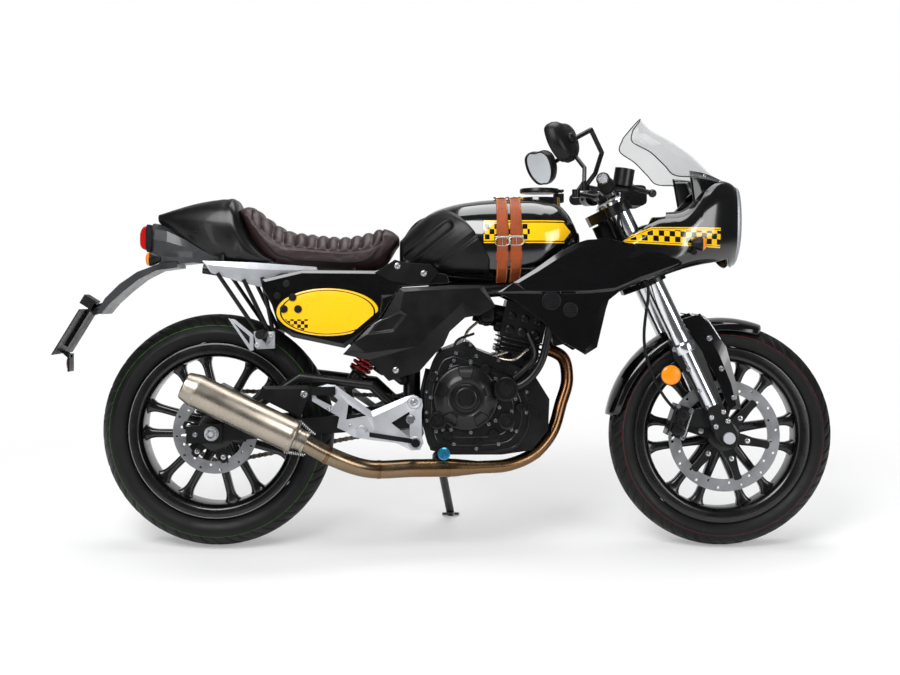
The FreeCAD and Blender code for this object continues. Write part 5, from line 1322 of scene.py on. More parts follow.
        # Painted highlight: a ring of flat colour on each flange, lighter than the rim, for light caught by
        # the rim's edge.
        for y in (-self.rim_half - 0.5, self.rim_half + 0.5):
            lines.append(lathe([(self.rim_highlight_r, y), (self.rim_highlight_r + 1.4, y), (self.rim_highlight_r + 1.4, y * 0.99),
                                (self.rim_highlight_r, y * 0.99)], self.centre, steps=144, closed=True).painted(1))
        way = in_side_view(self.valve_turn)
        foot = self.centre + way * (self.window_r - 2)
        valve = rod(foot, foot - (way + Y_AXIS * 0.25) * 28, 3.2, 12).painted(2)
        pin = Finish(self.name + " rim line", "yellow", self.rim_highlight_colour, 0.35, 0.0, 0.3, Grain.PEEL, 800.0,
                     0.02, 0.05)
        self.piece(self.name + "_wheel_cast", merged(pieces + lines + [valve]), BLACK_ALLOY, pin, RUBBER,
                   replaces=self.name + "_wheel_casting", smooth_deg=45)

    def drilled(self, hole: float, thick: float) -> Skin:
        """Drilled ring: a plate with a round rim and opening, and holes that lie in turn further in and out.

        Args:
            hole: Radius of a hole.
            thick: Thickness.

        Returns:
            The closed ring.
        """
        def circle(x: float, z: float, radius: float, count: int) -> list[Spot]:
            """Corners of a round loop at zero height."""
            turn = np.linspace(0, 2 * math.pi, count, endpoint=False)
            return [(x + radius * math.cos(a), z + radius * math.sin(a), 0.0) for a in turn]

        middle_r, spread = (self.disc_inner + self.disc_r) / 2, (self.disc_r - self.disc_inner) / 5
        turns = 2 * math.pi * (np.arange(self.disc_holes) + 0.5) / self.disc_holes
        reach = middle_r + spread * (-1.0) ** np.arange(self.disc_holes)
        holes = [circle(self.x + r * math.cos(a), self.radius + r * math.sin(a), hole, 12)
                 for a, r in zip(turns, reach)]
        return relief(circle(self.x, self.radius, self.disc_r, 144), self.disc_y + thick / 2,
                      self.disc_y - thick / 2, (), [circle(self.x, self.radius, self.disc_inner, 108)] + holes)

    def disc(self) -> None:
        """Drilled ring on a black carrier with bright bolts."""
        ring = self.drilled(3.6, 5.0)
        carrier = []
        for index in range(6):
            angle = 60 * index + 12
            arm = corners_cut([(18, -19), (self.disc_inner - 14, -8), (self.disc_inner + 5, -12),
                               (self.disc_inner + 8, 0), (self.disc_inner + 5, 12), (self.disc_inner - 14, 8),
                               (18, 19)], 2)
            flat = prism(arm, -3.4, 3.4).moved(self.x, self.disc_y, self.radius)
            carrier.append(flat.turned(Y_AXIS, angle, (self.x, 0, self.radius)).painted(1))
            place = self.centre + in_side_view(math.radians(-angle)) * (self.hub_r + 24)
            place = place + Y_AXIS * (self.disc_y - 3.4)
            carrier.append(screw(place, RIGHT_OUT, 5.8, 2.6).painted(2))
        middle = lathe([(20, -4.6), (self.hub_r - 2, -4.6), (self.hub_r + 4, -2), (self.hub_r + 4, 2.5),
                        (20, 2.5)], (self.x, self.disc_y, self.radius), closed=True).painted(1)
        self.piece(self.name + "_disc_drilled", merged([ring, middle] + carrier), DISC_STEEL, BLACK_ENGINE,
                   SCREW_STEEL, replaces=self.name + "_disc", smooth_deg=30)

    def caliper(self) -> None:
        """Two piston domes, a bridge with windows, pins and a bleed screw on the caliper's outer face."""
        angle = math.radians(self.caliper_deg)
        reach = self.disc_r * 0.86
        middle = np.array([self.x + reach * math.cos(angle), self.disc_y - 31.5,
                           self.radius + reach * math.sin(angle)])
        out = in_side_view(angle)
        along = np.array([-out[2], 0, out[0]])
        parts = []
        for side in (-1, 1):
            at = middle + along * 20 * side
            parts.append(lathe([(17, -3), (17, 4), (15, 6.5), (8, 7.2), (7, 5.5), (0, 5.5)], at, RIGHT_OUT,
                               40))
            parts.append(screw(middle + along * 36 * side - out * 17, RIGHT_OUT, 5.5, 6.0).painted(1))
            parts.append(screw(middle + along * 36 * side + out * 18, RIGHT_OUT, 4.5, 5.0).painted(1))
        bridge = middle + out * 22
        parts.append(tube(np.array([bridge - along * 34, bridge + along * 34]), 4.0, 14))
        pin = middle - out * 20 - Y_AXIS * 2
        parts.append(rod(pin - along * 38, pin + along * 38, 2.6, 16).painted(1))
        parts.append(rod(middle + along * 40 + out * 4, middle + along * 50 + out * 8, 3.2, 14).painted(1))
        parts.append(mould(tuple(middle + Y_AXIS * 4), (10, 9, 10), 4.0))
        self.piece(self.name + "_caliper_castings", merged(parts), BLACK_ENGINE, SCREW_STEEL,
                   body=self.caliper_body, smooth_deg=30)

    def build(self) -> None:
        """Builds the whole wheel."""
        self.caliper()
        self.tyre()
        self.casting()
        self.disc()


@dataclass
class ChainDrive(Group):
    """Roller chain round both sprockets, link by link."""

    rear: Spot = (-662.5, 305.0, 96.0)
    front: Spot = (-91.96, 350.0, 34.0)
    y: float = 86.0
    pitch: float = 15.875

    def pins(self) -> tuple[Array, Array]:
        """Places and directions of the pins, evenly spaced along two arcs and two straight runs.

        Returns:
            Array of x, z places and array of unit directions.
        """
        xr, zr, big = self.rear
        xf, zf, small = self.front
        span, tilt = math.hypot(xf - xr, zf - zr), math.atan2(zf - zr, xf - xr)
        lean_in = math.acos((big - small) / span)
        front_arc = np.linspace(tilt + lean_in, tilt - lean_in, 60)
        rear_arc = np.linspace(tilt - lean_in, tilt + lean_in - 2 * math.pi, 120)
        line = np.concatenate([np.stack([xf + small * np.cos(front_arc), zf + small * np.sin(front_arc)],
                                        axis=-1),
                               np.stack([xr + big * np.cos(rear_arc), zr + big * np.sin(rear_arc)], axis=-1)])
        line = np.vstack([line, line[:1]])
        length = np.concatenate([[0], np.cumsum(np.linalg.norm(np.diff(line, axis=0), axis=1))])
        count = 2 * round(length[-1] / self.pitch / 2)
        at = np.arange(count) * length[-1] / count
        places = np.stack([np.interp(at, length, line[:, i]) for i in (0, 1)], axis=-1)
        return places, unit(np.roll(places, -1, axis=0) - places)

    def build(self) -> None:
        """Lays a pair of waisted plates between neighbouring pins and a roller on each pin."""
        places, ways = self.pins()
        turn = np.linspace(math.pi / 2, 3 * math.pi / 2, 5)
        end = np.stack([6.3 * np.cos(turn), 6.3 * np.sin(turn)], axis=-1)
        other = end * np.array([-1, -1]) + np.array([self.pitch, 0])
        outline = np.vstack([end, [[self.pitch / 2, -4.4]], other, [[self.pitch / 2, 4.4]]])
        skins = []
        for index, (place, way) in enumerate(zip(places, ways)):
            side = np.array([-way[1], way[0]])
            flat = place + outline[:, :1] * way + outline[:, 1:] * side
            out = 4.6 if index % 2 else 3.1
            for y in (out, -out - 1.3):
                skins.append(prism(flat, self.y + y, self.y + y + 1.3).painted(index % 2))
            skins.append(lathe([(5.0, -3.1), (5.0, 3.1)], (place[0], self.y, place[1]), steps=8))
            skins.append(lathe([(0, -6.0), (2.4, -6.0), (2.4, 6.0), (0, 6.0)], (place[0], self.y, place[1]),
                               steps=6))
        self.piece("chain_links", merged(skins), DARK_STEEL, CHAIN_PLATE, replaces="drive_chain",
                   smooth_deg=35)


@dataclass
class RearSuspension(Group):
    """Spring and damper, swingarm bolts and chain adjusters."""

    low: Spot = (-318.0, 0.0, 418.0)
    top: Spot = (-228.0, 0.0, 560.0)
    link: Spot = (-320.0, 0.0, 342.0)

    def build(self) -> None:
        """Coil: a tube along a helix, middle line plus radius·(cos, sin), between two perches."""
        low, top = np.array(self.low), np.array(self.top)
        way = unit(top - low)
        length = float(np.linalg.norm(top - low))
        first, second = across(way)
        t = np.linspace(0, 1, 260)[:, None]
        turn = t * 2 * math.pi * 6.5
        path = low + (top - low) * (0.30 + 0.48 * t) + 24.5 * (np.cos(turn) * first + np.sin(turn) * second)
        coil = tube(path, 5.0, 10)
        body = lathe([(0, 0), (14, 0), (17, 8), (17, length * 0.24), (28, length * 0.27), (28, length * 0.30),
                      (15, length * 0.31), (15, length * 0.76), (27, length * 0.78), (27, length * 0.84),
                      (20, length * 0.87), (17, length - 6), (12, length), (0, length)], low, way,
                     40).painted(1)
        arm = rod(self.link, low, 9, 20).painted(1)
        eyes = [rod((p[0], -19, p[2]), (p[0], 19, p[2]), 13, 28).painted(1) for p in (low, top)]
        can = rod(top + np.array([34, -22, -34]), top + np.array([-14, -22, -104]), 17, 32, 3).painted(1)
        self.piece("shock_with_coil", merged([coil, body, arm, can] + eyes), RED_SPRING, BLACK_ENGINE,
                   replaces="rear_shock")
        bolts = []
        for side in (-1, 1):
            out = side * Y_AXIS
            bolts.append(nut((-662.5, side * 128, 305), out, 15, 12).painted(1))
            bolts.append(screw((-706, side * 121, 302), out, 5, 5))
            for y in (side * 103, side * 115):
                bolts.append(rod((-724, y, 300), (-742, y, 299), 3.6, 14))
            bolts.append(lathe([(0, 12), (9, 12), (13, 8), (13, 0), (0, 0)], (-151.98, side * 126, 342), out,
                               32))
        self.piece("swingarm_fasteners", merged(bolts), SCREW_STEEL, SILVER_ALLOY)


@dataclass
class FrontEnd(Group):
    """Fork legs with their caps, mudguard, stays and reflectors, all turning with the steering."""

    rides_on: str = "steering"

    def leg_prism(self, outline: Sequence[tuple[float, float]], y0: float, y1: float, cut: int = 2) -> Skin:
        """Plate whose outline is given ahead of and up along a leg."""
        flat = np.array([FORK.at(ahead, 0, up)[[0, 2]] for ahead, up in corners_cut(outline, cut)])
        return prism(flat, y0, y1)

    def legs(self) -> None:
        """Outer tube, seal and slider, each a profile turned about the leg, and the axle clamp."""
        base = FORK.at(0, -FORK.half_span, 0)
        outer = lathe([(0, 268), (26, 268), (26, 300), (25, 304), (25, 437), (26, 440), (26, 676), (24, 678),
                       (0, 678)], base, FORK.way, 72)
        cap = lathe([(0, 678), (20, 678), (20, 683), (12, 683), (12, 689), (0, 689)], base, FORK.way,
                    48).painted(2)
        hexagon = lathe([(0, 683), (14, 683), (14, 690), (0, 690)], base, FORK.way, 6).painted(2)
        seal = lathe([(21, 244), (28.6, 244), (29.4, 246), (29.4, 266), (28.6, 268), (27, 272), (21, 272)],
                     base, FORK.way, 72, closed=True)
        self.piece("fork_tubes_turned", merged([outer, seal, cap, hexagon]).both(), POLISHED, BLACK_ENGINE,
                   SILVER_ALLOY, replaces="fork_upper_tubes")
        slider = lathe([(0, 86), (20, 86), (20, 250), (0, 250)], base, FORK.way, 72)
        foot = self.leg_prism([(-24, 92), (24, 92), (25, 20), (26, 0), (18, -20), (0, -27), (-18, -20),
                               (-26, 0), (-25, 20)], -FORK.half_span - 20, -FORK.half_span + 20, 1).painted(1)
        lugs = []
        for ahead, up in ((17, 40), (-17, 40), (17, 66), (-17, 66)):
            lugs.append(screw(FORK.at(ahead, -FORK.half_span - 20, up), RIGHT_OUT, 5.0, 5.0).painted(2))
        clamp = self.leg_prism([(-14, 14), (14, 14), (14, -28), (-14, -28)], -FORK.half_span - 24,
                               -FORK.half_span - 19, 1).painted(1)
        self.piece("fork_sliders_and_feet", merged([slider, foot, clamp] + lugs).both(), POLISHED,
                   BLACK_ENGINE, SCREW_STEEL, replaces="fork_lowers", bevel=1.2)
        spot = FORK.at(-64.5, -FORK.half_span - 24, 210)
        lens = lathe([(0, 7), (12, 6.2), (22, 4), (25, 1.5)], spot, RIGHT_OUT, 48)
        cup = lathe([(25, 1.5), (27, 2), (27, -4), (0, -4)], spot, RIGHT_OUT, 48).painted(1)
        self.piece("fork_reflectors", merged([lens, cup]).both(), AMBER_LENS, BLACK_SATIN)
        carrier = [(512, 542, 3), (546, 588, 4), (596, 515, 6), (640, 405, 6), (661, 352, 5), (618, 324, 5),
                   (588, 400, 4), (566, 444, 4), (524, 496, 3)]
        crease = [(550, 560, 9), (590, 480, 10), (622, 400, 9), (634, 350, 7)]
        plates = relief(carrier, -FORK.half_span + 16, -FORK.half_span - 4, [crease])
        bolts = [screw((x, -FORK.half_span - 13, z), RIGHT_OUT, 5.5, 4.5).painted(1)
                 for x, z in ((525, 520), (590, 415), (612, 372), (561, 470))]
        self.piece("fork_side_carriers", merged([plates] + bolts).both(), BLACK_SATIN, SCREW_STEEL,
                   smooth_deg=14)

    def mudguard(self) -> None:
        """Curved guard: a half-round section carried round the wheel, narrowing to both ends."""
        turn = np.radians(np.linspace(70, 170, 61))[:, None]
        section = smooth([(-1, 0), (-0.88, 0.55), (-0.45, 0.90), (0, 1.0), (0.45, 0.90), (0.88, 0.55),
                          (1, 0)], 33)
        share = (turn - turn[0]) / (turn[-1] - turn[0])
        ends = np.sqrt(np.clip(1 - np.abs(2 * share - 1) ** 8, 0, 1)) * 0.35 + 0.65
        skirt = 20 + 12 * ends
        radius = 307.5 - skirt * (1 - section[None, :, 1])
        y = 66.5 * ends * section[None, :, 0]
        points = np.stack([FORK.axle_x + radius * np.cos(turn), y + 0 * turn,
                           FORK.axle_z + radius * np.sin(turn)], axis=-1)
        self.piece("front_mudguard_moulded", grid(points), BLACK_GLOSS, replaces="front_mudguard",
                   thick=3.5)
        stay = [(550, 597, 3), (597, 612, 3), (664, 527, 4), (695, 413, 5), (703, 364, 5), (675, 362, 5),
                (636, 452, 5), (586, 540, 3)]
        fold = [(596, 588, 7), (646, 505, 8), (676, 430, 9), (690, 375, 8)]
        plate = relief(stay, -70.5, -74.5, [fold])
        spots = ((620, 548), (652, 470), (684, 395))
        screws = [screw((x, -81.5, z), RIGHT_OUT, 6.0, 4.0).painted(1) for x, z in spots]
        line = smooth([(574, -76.5, 611), (606, -76.5, 604), (634, -76.5, 570), (650, -76.5, 545)], 30)
        edge = tube(line, 1.6, 8).painted(1)
        self.piece("mudguard_stays", merged([plate, edge] + screws).both(), BLACK_GLOSS, SCREW_STEEL,
                   smooth_deg=14)

    def build(self) -> None:
        """Builds the legs and the guard and finishes the yokes, the axles and the calipers."""
        self.legs()
        self.mudguard()
        self.dress(SILVER_ALLOY, "front_axle", "rear_axle")
        self.dress(BLACK_ENGINE, "triple_clamps")
        self.dress(BLACK_ENGINE, "front_caliper", "rear_caliper")


def both_halves(half: Sequence[tuple[float, float]]) -> list[tuple[float, float]]:
    """Section shares from the top down one side and back up the other."""
    return list(half) + [(-a, b) for a, b in reversed(half) if a != 0]


@dataclass(frozen=True)
class Hull:
    """Smooth body through stations along the machine."""

    x0: float
    z0: float
    length: float
    height: float
    half: float
    stations: tuple[tuple[float, float, float, float], ...]
    table: tuple[tuple[float, float], ...]
    dome: float = 5.0

    def section(self, x: Array, turn: Array, grow: float = 0.0) -> Array:
        """Points at distances along and round: low + (high − low)·share up, and half·width·share across.

        Args:
            x: Distances along the machine.
            turn: Shares round the section, from the top at 0 over one side to the bottom and back at 1.
            grow: How far the section is pushed out from its own middle, in millimetres.

        Returns:
            Array of one row for each distance and one column for each share.
        """
        stations = np.array(self.stations)
        share = np.clip((np.asarray(x) - self.x0) / self.length, 0, 1)
        low, high, width = hermite(stations[:, 0], stations[:, 1:], share).T
        fine = smooth(both_halves(self.table), 721, closed=True)
        y = self.half * width[:, None] * fine[None, :, 0]
        z = self.z0 + self.height * (low[:, None] + (high - low)[:, None] * fine[None, :, 1])
        if grow:
            way = unit(np.stack([np.gradient(z, axis=1), -np.gradient(y, axis=1)], axis=-1))
            facing = np.sign((way * np.stack([y, z - z.mean(axis=1, keepdims=True)], axis=-1)).sum(-1))
            y, z = y + grow * facing * way[..., 0], z + grow * facing * way[..., 1]
        place = np.clip(np.asarray(turn) % 1.0000001, 0, 1) * 720
        index = np.minimum(place.astype(int), 719)
        share = place - index
        y, z = (v[:, index] * (1 - share) + v[:, index + 1] * share for v in (y, z))
        return np.stack([np.broadcast_to(np.asarray(x)[:, None], y.shape), y, z], axis=-1)

    def skin(self, rows: int = 80, cols: int = 96, grow: float = 0.0) -> Skin:
        """Whole body with softly domed ends, which shrink by the cosine while they move out by the sine.

        Args:
            rows: Rows along.
            cols: Points round.
            grow: How far it is pushed out.

        Returns:
            The surface.
        """
        body = self.section(np.linspace(self.x0 + self.dome, self.x0 + self.length - self.dome, rows),
                            np.linspace(0, 1, cols + 1), grow)
        angle = np.linspace(0, math.pi / 2, 7)[1:]
        ends = []
        for row, way in ((body[0], -1), (body[-1], 1)):
            middle = row.mean(axis=0)
            size = np.cos(angle) * 0.22 + 0.78
            size[-1] = 0.0
            shrunk = middle + (row - middle)[None] * size[:, None, None]
            ends.append(shrunk + way * self.dome * np.sin(angle)[:, None, None] * X_AXIS)
        return grid(np.concatenate([ends[0][::-1], body, ends[1]]))


TANK = Hull(
    -182.98, 714.0, 467.97, 197.0, 150.0,
    ((0.0, 0.10, 0.44, 0.52), (0.07, 0.04, 0.62, 0.60), (0.17, 0.0, 0.81, 0.72), (0.28, 0.0, 0.91, 0.84),
     (0.42, 0.0, 0.97, 0.95), (0.62, 0.0, 1.0, 1.0), (0.80, 0.05, 0.99, 0.98), (0.90, 0.20, 0.91, 0.86),
     (0.97, 0.34, 0.68, 0.66), (1.0, 0.40, 0.50, 0.50)),
    ((0, 1.0), (0.40, 0.985), (0.70, 0.91), (0.90, 0.76), (1.0, 0.52), (0.98, 0.25), (0.86, 0.06), (0.74, 0)))
SEAT_ROUND = ((0, 1.0), (0.55, 0.97), (0.85, 0.84), (1.0, 0.58), (0.97, 0.22), (0.86, 0))
SEAT_PAD = Hull(
    -599.03, 706.0, 414.05, 187.0, 122.0,
    ((0.0, 0.90, 0.97, 0.55), (0.045, 0.70, 1.0, 0.66), (0.12, 0.44, 0.89, 0.80), (0.21, 0.25, 0.74, 0.90),
     (0.31, 0.18, 0.63, 0.97), (0.43, 0.155, 0.59, 1.0), (0.55, 0.14, 0.56, 1.0), (0.68, 0.12, 0.55, 0.96),
     (0.81, 0.14, 0.61, 0.86), (0.90, 0.25, 0.67, 0.74), (0.955, 0.37, 0.65, 0.62), (1.0, 0.49, 0.58, 0.50)),
    SEAT_ROUND)
COWL = Hull(
    -817.0, 739.0, 312.97, 172.0, 104.0,
    ((0.0, 0.68, 0.77, 0.40), (0.16, 0.51, 0.86, 0.62), (0.33, 0.31, 0.94, 0.80), (0.50, 0.155, 0.99, 0.92),
     (0.57, 0.11, 1.0, 0.95), (0.68, 0.05, 0.91, 0.99), (0.72, 0.03, 0.69, 1.0), (0.86, 0.0, 0.28, 1.0),
     (1.0, 0.03, 0.06, 1.0)), SEAT_ROUND)
NOSE = Hull(
    373.0, 660.0, 330.0, 300.0, 162.0,
    ((0.0, 0.0, 0.48, 1.0), (0.18, 0.06, 0.62, 1.0), (0.32, 0.12, 0.71, 0.99), (0.56, 0.22, 0.77, 0.93),
     (0.70, 0.26, 0.94, 0.86), (0.83, 0.29, 1.0, 0.76), (0.94, 0.34, 0.97, 0.64), (1.0, 0.40, 0.90, 0.54)),
    ((0, 1.0), (0.50, 0.985), (0.80, 0.93), (0.95, 0.78), (1.0, 0.45), (0.93, 0.15), (0.74, 0)))


def band(line: Array, out: Array, side: Array, width: float, thick: float, lift: float = 0.0) -> Skin:
    """Flat strap laid along a line: a rounded section of given width and thickness carried along it.

    Args:
        line: Points along the strap's inner middle.
        out: Unit direction away from what it lies on, at each point.
        side: Unit direction across the strap.
        width: Its width.
        thick: Its thickness.
        lift: How far its inner face lies off the line.

    Returns:
        The strap.
    """
    half, edge = width / 2, min(1.2, thick / 3)
    loop = corners_cut([(-half, lift), (-half + edge, lift + thick - edge * 0.3), (-half + 3, lift + thick),
                        (0, lift + thick * 1.08), (half - 3, lift + thick),
                        (half - edge, lift + thick - edge * 0.3), (half, lift)], 1, 0.18)
    loop = looped(loop)
    points = line[:, None] + loop[None, :, :1] * side + loop[None, :, 1:] * out[:, None]
    return grid(points, cap=True)


def stitches(line: Array, out: Array, pitch: float = 5.0, long: float = 3.2, radius: float = 0.55) -> Skin:
    """Row of short thread loops along a line: each a thin bar bowed out of the surface.

    Args:
        line: Points that the row follows.
        out: Unit direction out of the surface at each point.
        pitch: Spacing of the stitches.
        long: Length of one.
        radius: Thickness of the thread.

    Returns:
        The stitches.
    """
    run = np.concatenate([[0], np.cumsum(np.linalg.norm(np.diff(line, axis=0), axis=1))])
    starts = np.arange(pitch / 2, run[-1] - long, pitch)
    loops = []
    for start in starts:
        at = start + np.array([0, 0.15, 0.5, 0.85, 1.0]) * long
        path = np.stack([np.interp(at, run, line[:, i]) for i in range(3)], axis=-1)
        away = np.stack([np.interp(at, run, out[:, i]) for i in range(3)], axis=-1)
        loops.append(tube(path + away * np.array([-0.4, 0.35, 0.6, 0.35, -0.4])[:, None], radius, 5))
    return merged(loops)


@dataclass
class TankGroup(Group):
    """Fuel tank with its paint, pads, leather straps and buckles, and the hinged cap."""

    strap_x: tuple[float, float] = (80.5, 115.5)
    cap_x: float = 185.99

    def tank(self) -> None:
        """Body, front foot, filler collar and the hinge's two cheeks."""
        body = TANK.skin(110, 120)
        collar = lathe([(55, -36), (55, 4.5), (54, 6), (50, 6), (48, 5.4), (0, 5.4)], (self.cap_x, 0, 911),
                       Z_AXIS, 96)
        foot = block((20.0, -62, 692), (80.0, 62, 720))
        cheeks = []
        for y in (-18.0, 12.2):
            cheeks.append(block((self.cap_x + 38, y + 1.6, 905), (self.cap_x + 63.5, y + 5.0, 928)).painted(1))
            pin_x = self.cap_x + 60
            cheeks.append(rod((pin_x, y + 1.6, 935.3), (pin_x, y + 5.2, 935.3), 4, 20).painted(1))
        seam = tube(TANK.section(np.linspace(-168, 262, 60), np.array([0.435]))[:, 0], 1.6, 8)
        self.piece("tank_body_painted", merged([body, collar, foot, seam, seam.mirrored()] + cheeks),
                   TANK_PAINT, BLACK_ENGINE, replaces="fuel_tank", smooth_deg=50)

    def cap(self) -> None:
        """Lid with a dished top, a grip bar across it, a key slot, bolts and the hinge's ear and pin."""
        at = (self.cap_x, 0, 929.3)
        lid = lathe([(0, 0), (50, 0), (52, 1.5), (52, 9.5), (50.5, 12), (42, 12), (40, 9.6), (22, 9.0),
                     (20, 11.2), (0, 11.6)], at, Z_AXIS, 96)
        grip = block((self.cap_x - 34, -3.5, 938), (self.cap_x + 34, 3.5, 941.2))
        lock = lathe([(0, 10.6), (8.5, 10.6), (9.5, 12), (7, 12), (6.4, 11.2), (0, 11.2)], at, Z_AXIS,
                     32).painted(1)
        slot = block((self.cap_x - 4.6, -0.8, 940.2), (self.cap_x + 4.6, 0.8, 941.0)).painted(2)
        bolts = [screw((self.cap_x + 46 * math.cos(a), 46 * math.sin(a), 940.6), Z_AXIS, 3.0, 1.6).painted(1)
                 for a in np.radians([30, 90, 150, 210, 270, 330])]
        ear = block((self.cap_x + 42, -11.5, 931.5), (self.cap_x + 60, 11.5, 939))
        pin = rod((self.cap_x + 60, -11.8, 935.3), (self.cap_x + 60, 11.8, 935.3), 4.0, 20).painted(1)
        self.piece("fuel_cap_machined", merged([lid, grip, lock, slot, ear, pin] + bolts), BLACK_PANEL,
                   SCREW_STEEL, DARK_STEEL, body="fuel_cap", replaces="fuel_cap", bevel=0.6)

    def straps(self) -> None:
        """Two straps over the tank, stitched along both edges, each with a keeper and buckles."""
        turn = np.linspace(-0.437, 0.437, 150)
        leather, thread, metal = [], [], []
        for x in self.strap_x:
            line = TANK.section(np.array([x]), turn % 1.0)[0]
            outer = TANK.section(np.array([x]), turn % 1.0, 1.0)[0]
            out = unit(outer - line)
            leather.append(band(line, out, X_AXIS, 29.0, 2.7, 0.2))
            for side in (-11.6, 11.6):
                thread.append(stitches(line[3:-3] + out[3:-3] * 3.05 + side * X_AXIS, out[3:-3]))
            near = int(np.argmin(np.abs(line[:75, 2] - 796.0)))
            far = len(line) - 1 - near
            for index, size in ((near, 1.0), (66, 0.9), (far, 1.0)):
                metal.append(self.buckle(line[index], out[index], unit(line[index + 1] - line[index - 1]),
                                         size))
            for index in (near + 5, near - 6, far + 6):
                leather.append(band(line[index - 2:index + 3], out[index - 2:index + 3], X_AXIS, 32.0, 2.4,
                                    2.9))
            tongue = band(line[near - 12:near + 16], out[near - 12:near + 16], X_AXIS, 24.0, 2.2, 3.1)
            leather.append(tongue)
            for index in range(near + 3, near + 16, 4):
                metal.append(lathe([(1.6, 5.1), (2.6, 5.5), (3.2, 5.1)], line[index], out[index],
                                   16).painted(1))
        self.piece("tank_straps_leather", merged(leather), TAN_HIDE, replaces="tank_straps",
                   smooth_deg=50)
        self.piece("strap_stitching", merged(thread), TAN_THREAD)
        self.piece("strap_buckles", merged(metal), BUCKLE_METAL, DARK_STEEL)

    @staticmethod
    def buckle(place: Array, out: Array, along: Array, size: float) -> Skin:
        """Square wire frame with a roller and a prong, standing just off the strap.

        Args:
            place: Point of the strap.
            out: Unit direction out of the strap.
            along: Unit direction along the strap.
            size: Scale of the frame.

        Returns:
            The buckle.
        """
        half_x, half_s = 19.0 * size, 11.0 * size
        loop = corners_cut([(-half_x, -half_s), (half_x, -half_s), (half_x, half_s), (-half_x, half_s)], 3,
                           0.25)
        loop = looped(loop, 2)
        path = place + out * 5.2 + loop[:, :1] * X_AXIS + loop[:, 1:] * along
        frame_wire = tube(path, 1.9, 10, cap=False)
        roller = rod(place + out * 5.4 - X_AXIS * half_x + along * half_s, place + out * 5.4 + X_AXIS * half_x
                     + along * half_s, 2.7, 16)
        prong = tube(np.array([place + out * 5.0 - along * half_s, place + out * 6.6, place + out * 7.4
                               + along * half_s]), 1.5, 10)
        return frame_wire + roller + prong

    def pads(self) -> None:
        """Moulded knee pads with recessed slots, laid on the tank's side."""
        shares = ((0.0, 0.06, 0.50), (0.12, 0.04, 0.74), (0.36, 0.02, 0.92), (0.50, 0.01, 0.97),
                  (0.66, 0.01, 0.84), (0.84, 0.01, 0.55), (0.97, 0.01, 0.20))
        table = np.array(shares)
        along = np.linspace(0.0, 0.97, 72)
        low, high = hermite(table[:, 0], table[:, 1:], along).T
        up = np.linspace(0, 1, 44)
        x = -180.0 + 236.0 * along
        z_want = 716.0 + 170.0 * (low[:, None] + (high - low)[:, None] * up)
        turn = np.linspace(0.02, 0.49, 220)
        side = TANK.section(x, turn)
        y = np.array([np.interp(z_want[i], side[i, ::-1, 2], side[i, ::-1, 1]) for i in range(len(x))])
        edge = np.minimum.reduce([np.broadcast_to(up, y.shape), 1 - np.broadcast_to(up, y.shape),
                                  np.broadcast_to(along[:, None] / 0.97, y.shape) * 2.0,
                                  (1 - np.broadcast_to(along[:, None] / 0.97, y.shape)) * 2.0])
        rise = 6.4 * np.clip(edge / 0.05, 0, 1) ** 0.5
        spots = np.stack([np.broadcast_to(x[:, None], y.shape), z_want], axis=-1)
        for start, stop, wide in (((-160, 757), (-57, 838), 13.0), ((-84, 740), (12, 812), 8.0)):
            foot, run = np.array(start), np.array(stop) - np.array(start)
            share = np.clip(((spots - foot) @ run) / (run @ run), 0, 1)
            gap = np.linalg.norm(spots - foot - share[..., None] * run, axis=-1)
            rise = rise - 4.4 * np.clip((wide - gap) / 5.0, 0, 1)
            rise = rise + 1.6 * np.exp(-((gap - wide - 3.0) / 3.0) ** 2)
        points = np.stack([np.broadcast_to(x[:, None], y.shape), y + rise, z_want], axis=-1)
        back = points.copy()
        back[..., 1] = y - 1.0
        skirts = [np.stack([points[0], back[0]]), np.stack([points[-1], back[-1]]),
                  np.stack([points[:, 0], back[:, 0]]), np.stack([points[:, -1], back[:, -1]])]
        skin = merged([grid(points)] + [grid(s) for s in skirts])
        self.piece("tank_knee_pads", skin.both(), BLACK_SATIN, replaces="tank_side_pads", smooth_deg=50)

    def build(self) -> None:
        """Builds the tank with everything on it."""
        self.tank()
        self.cap()
        self.straps()
        self.pads()


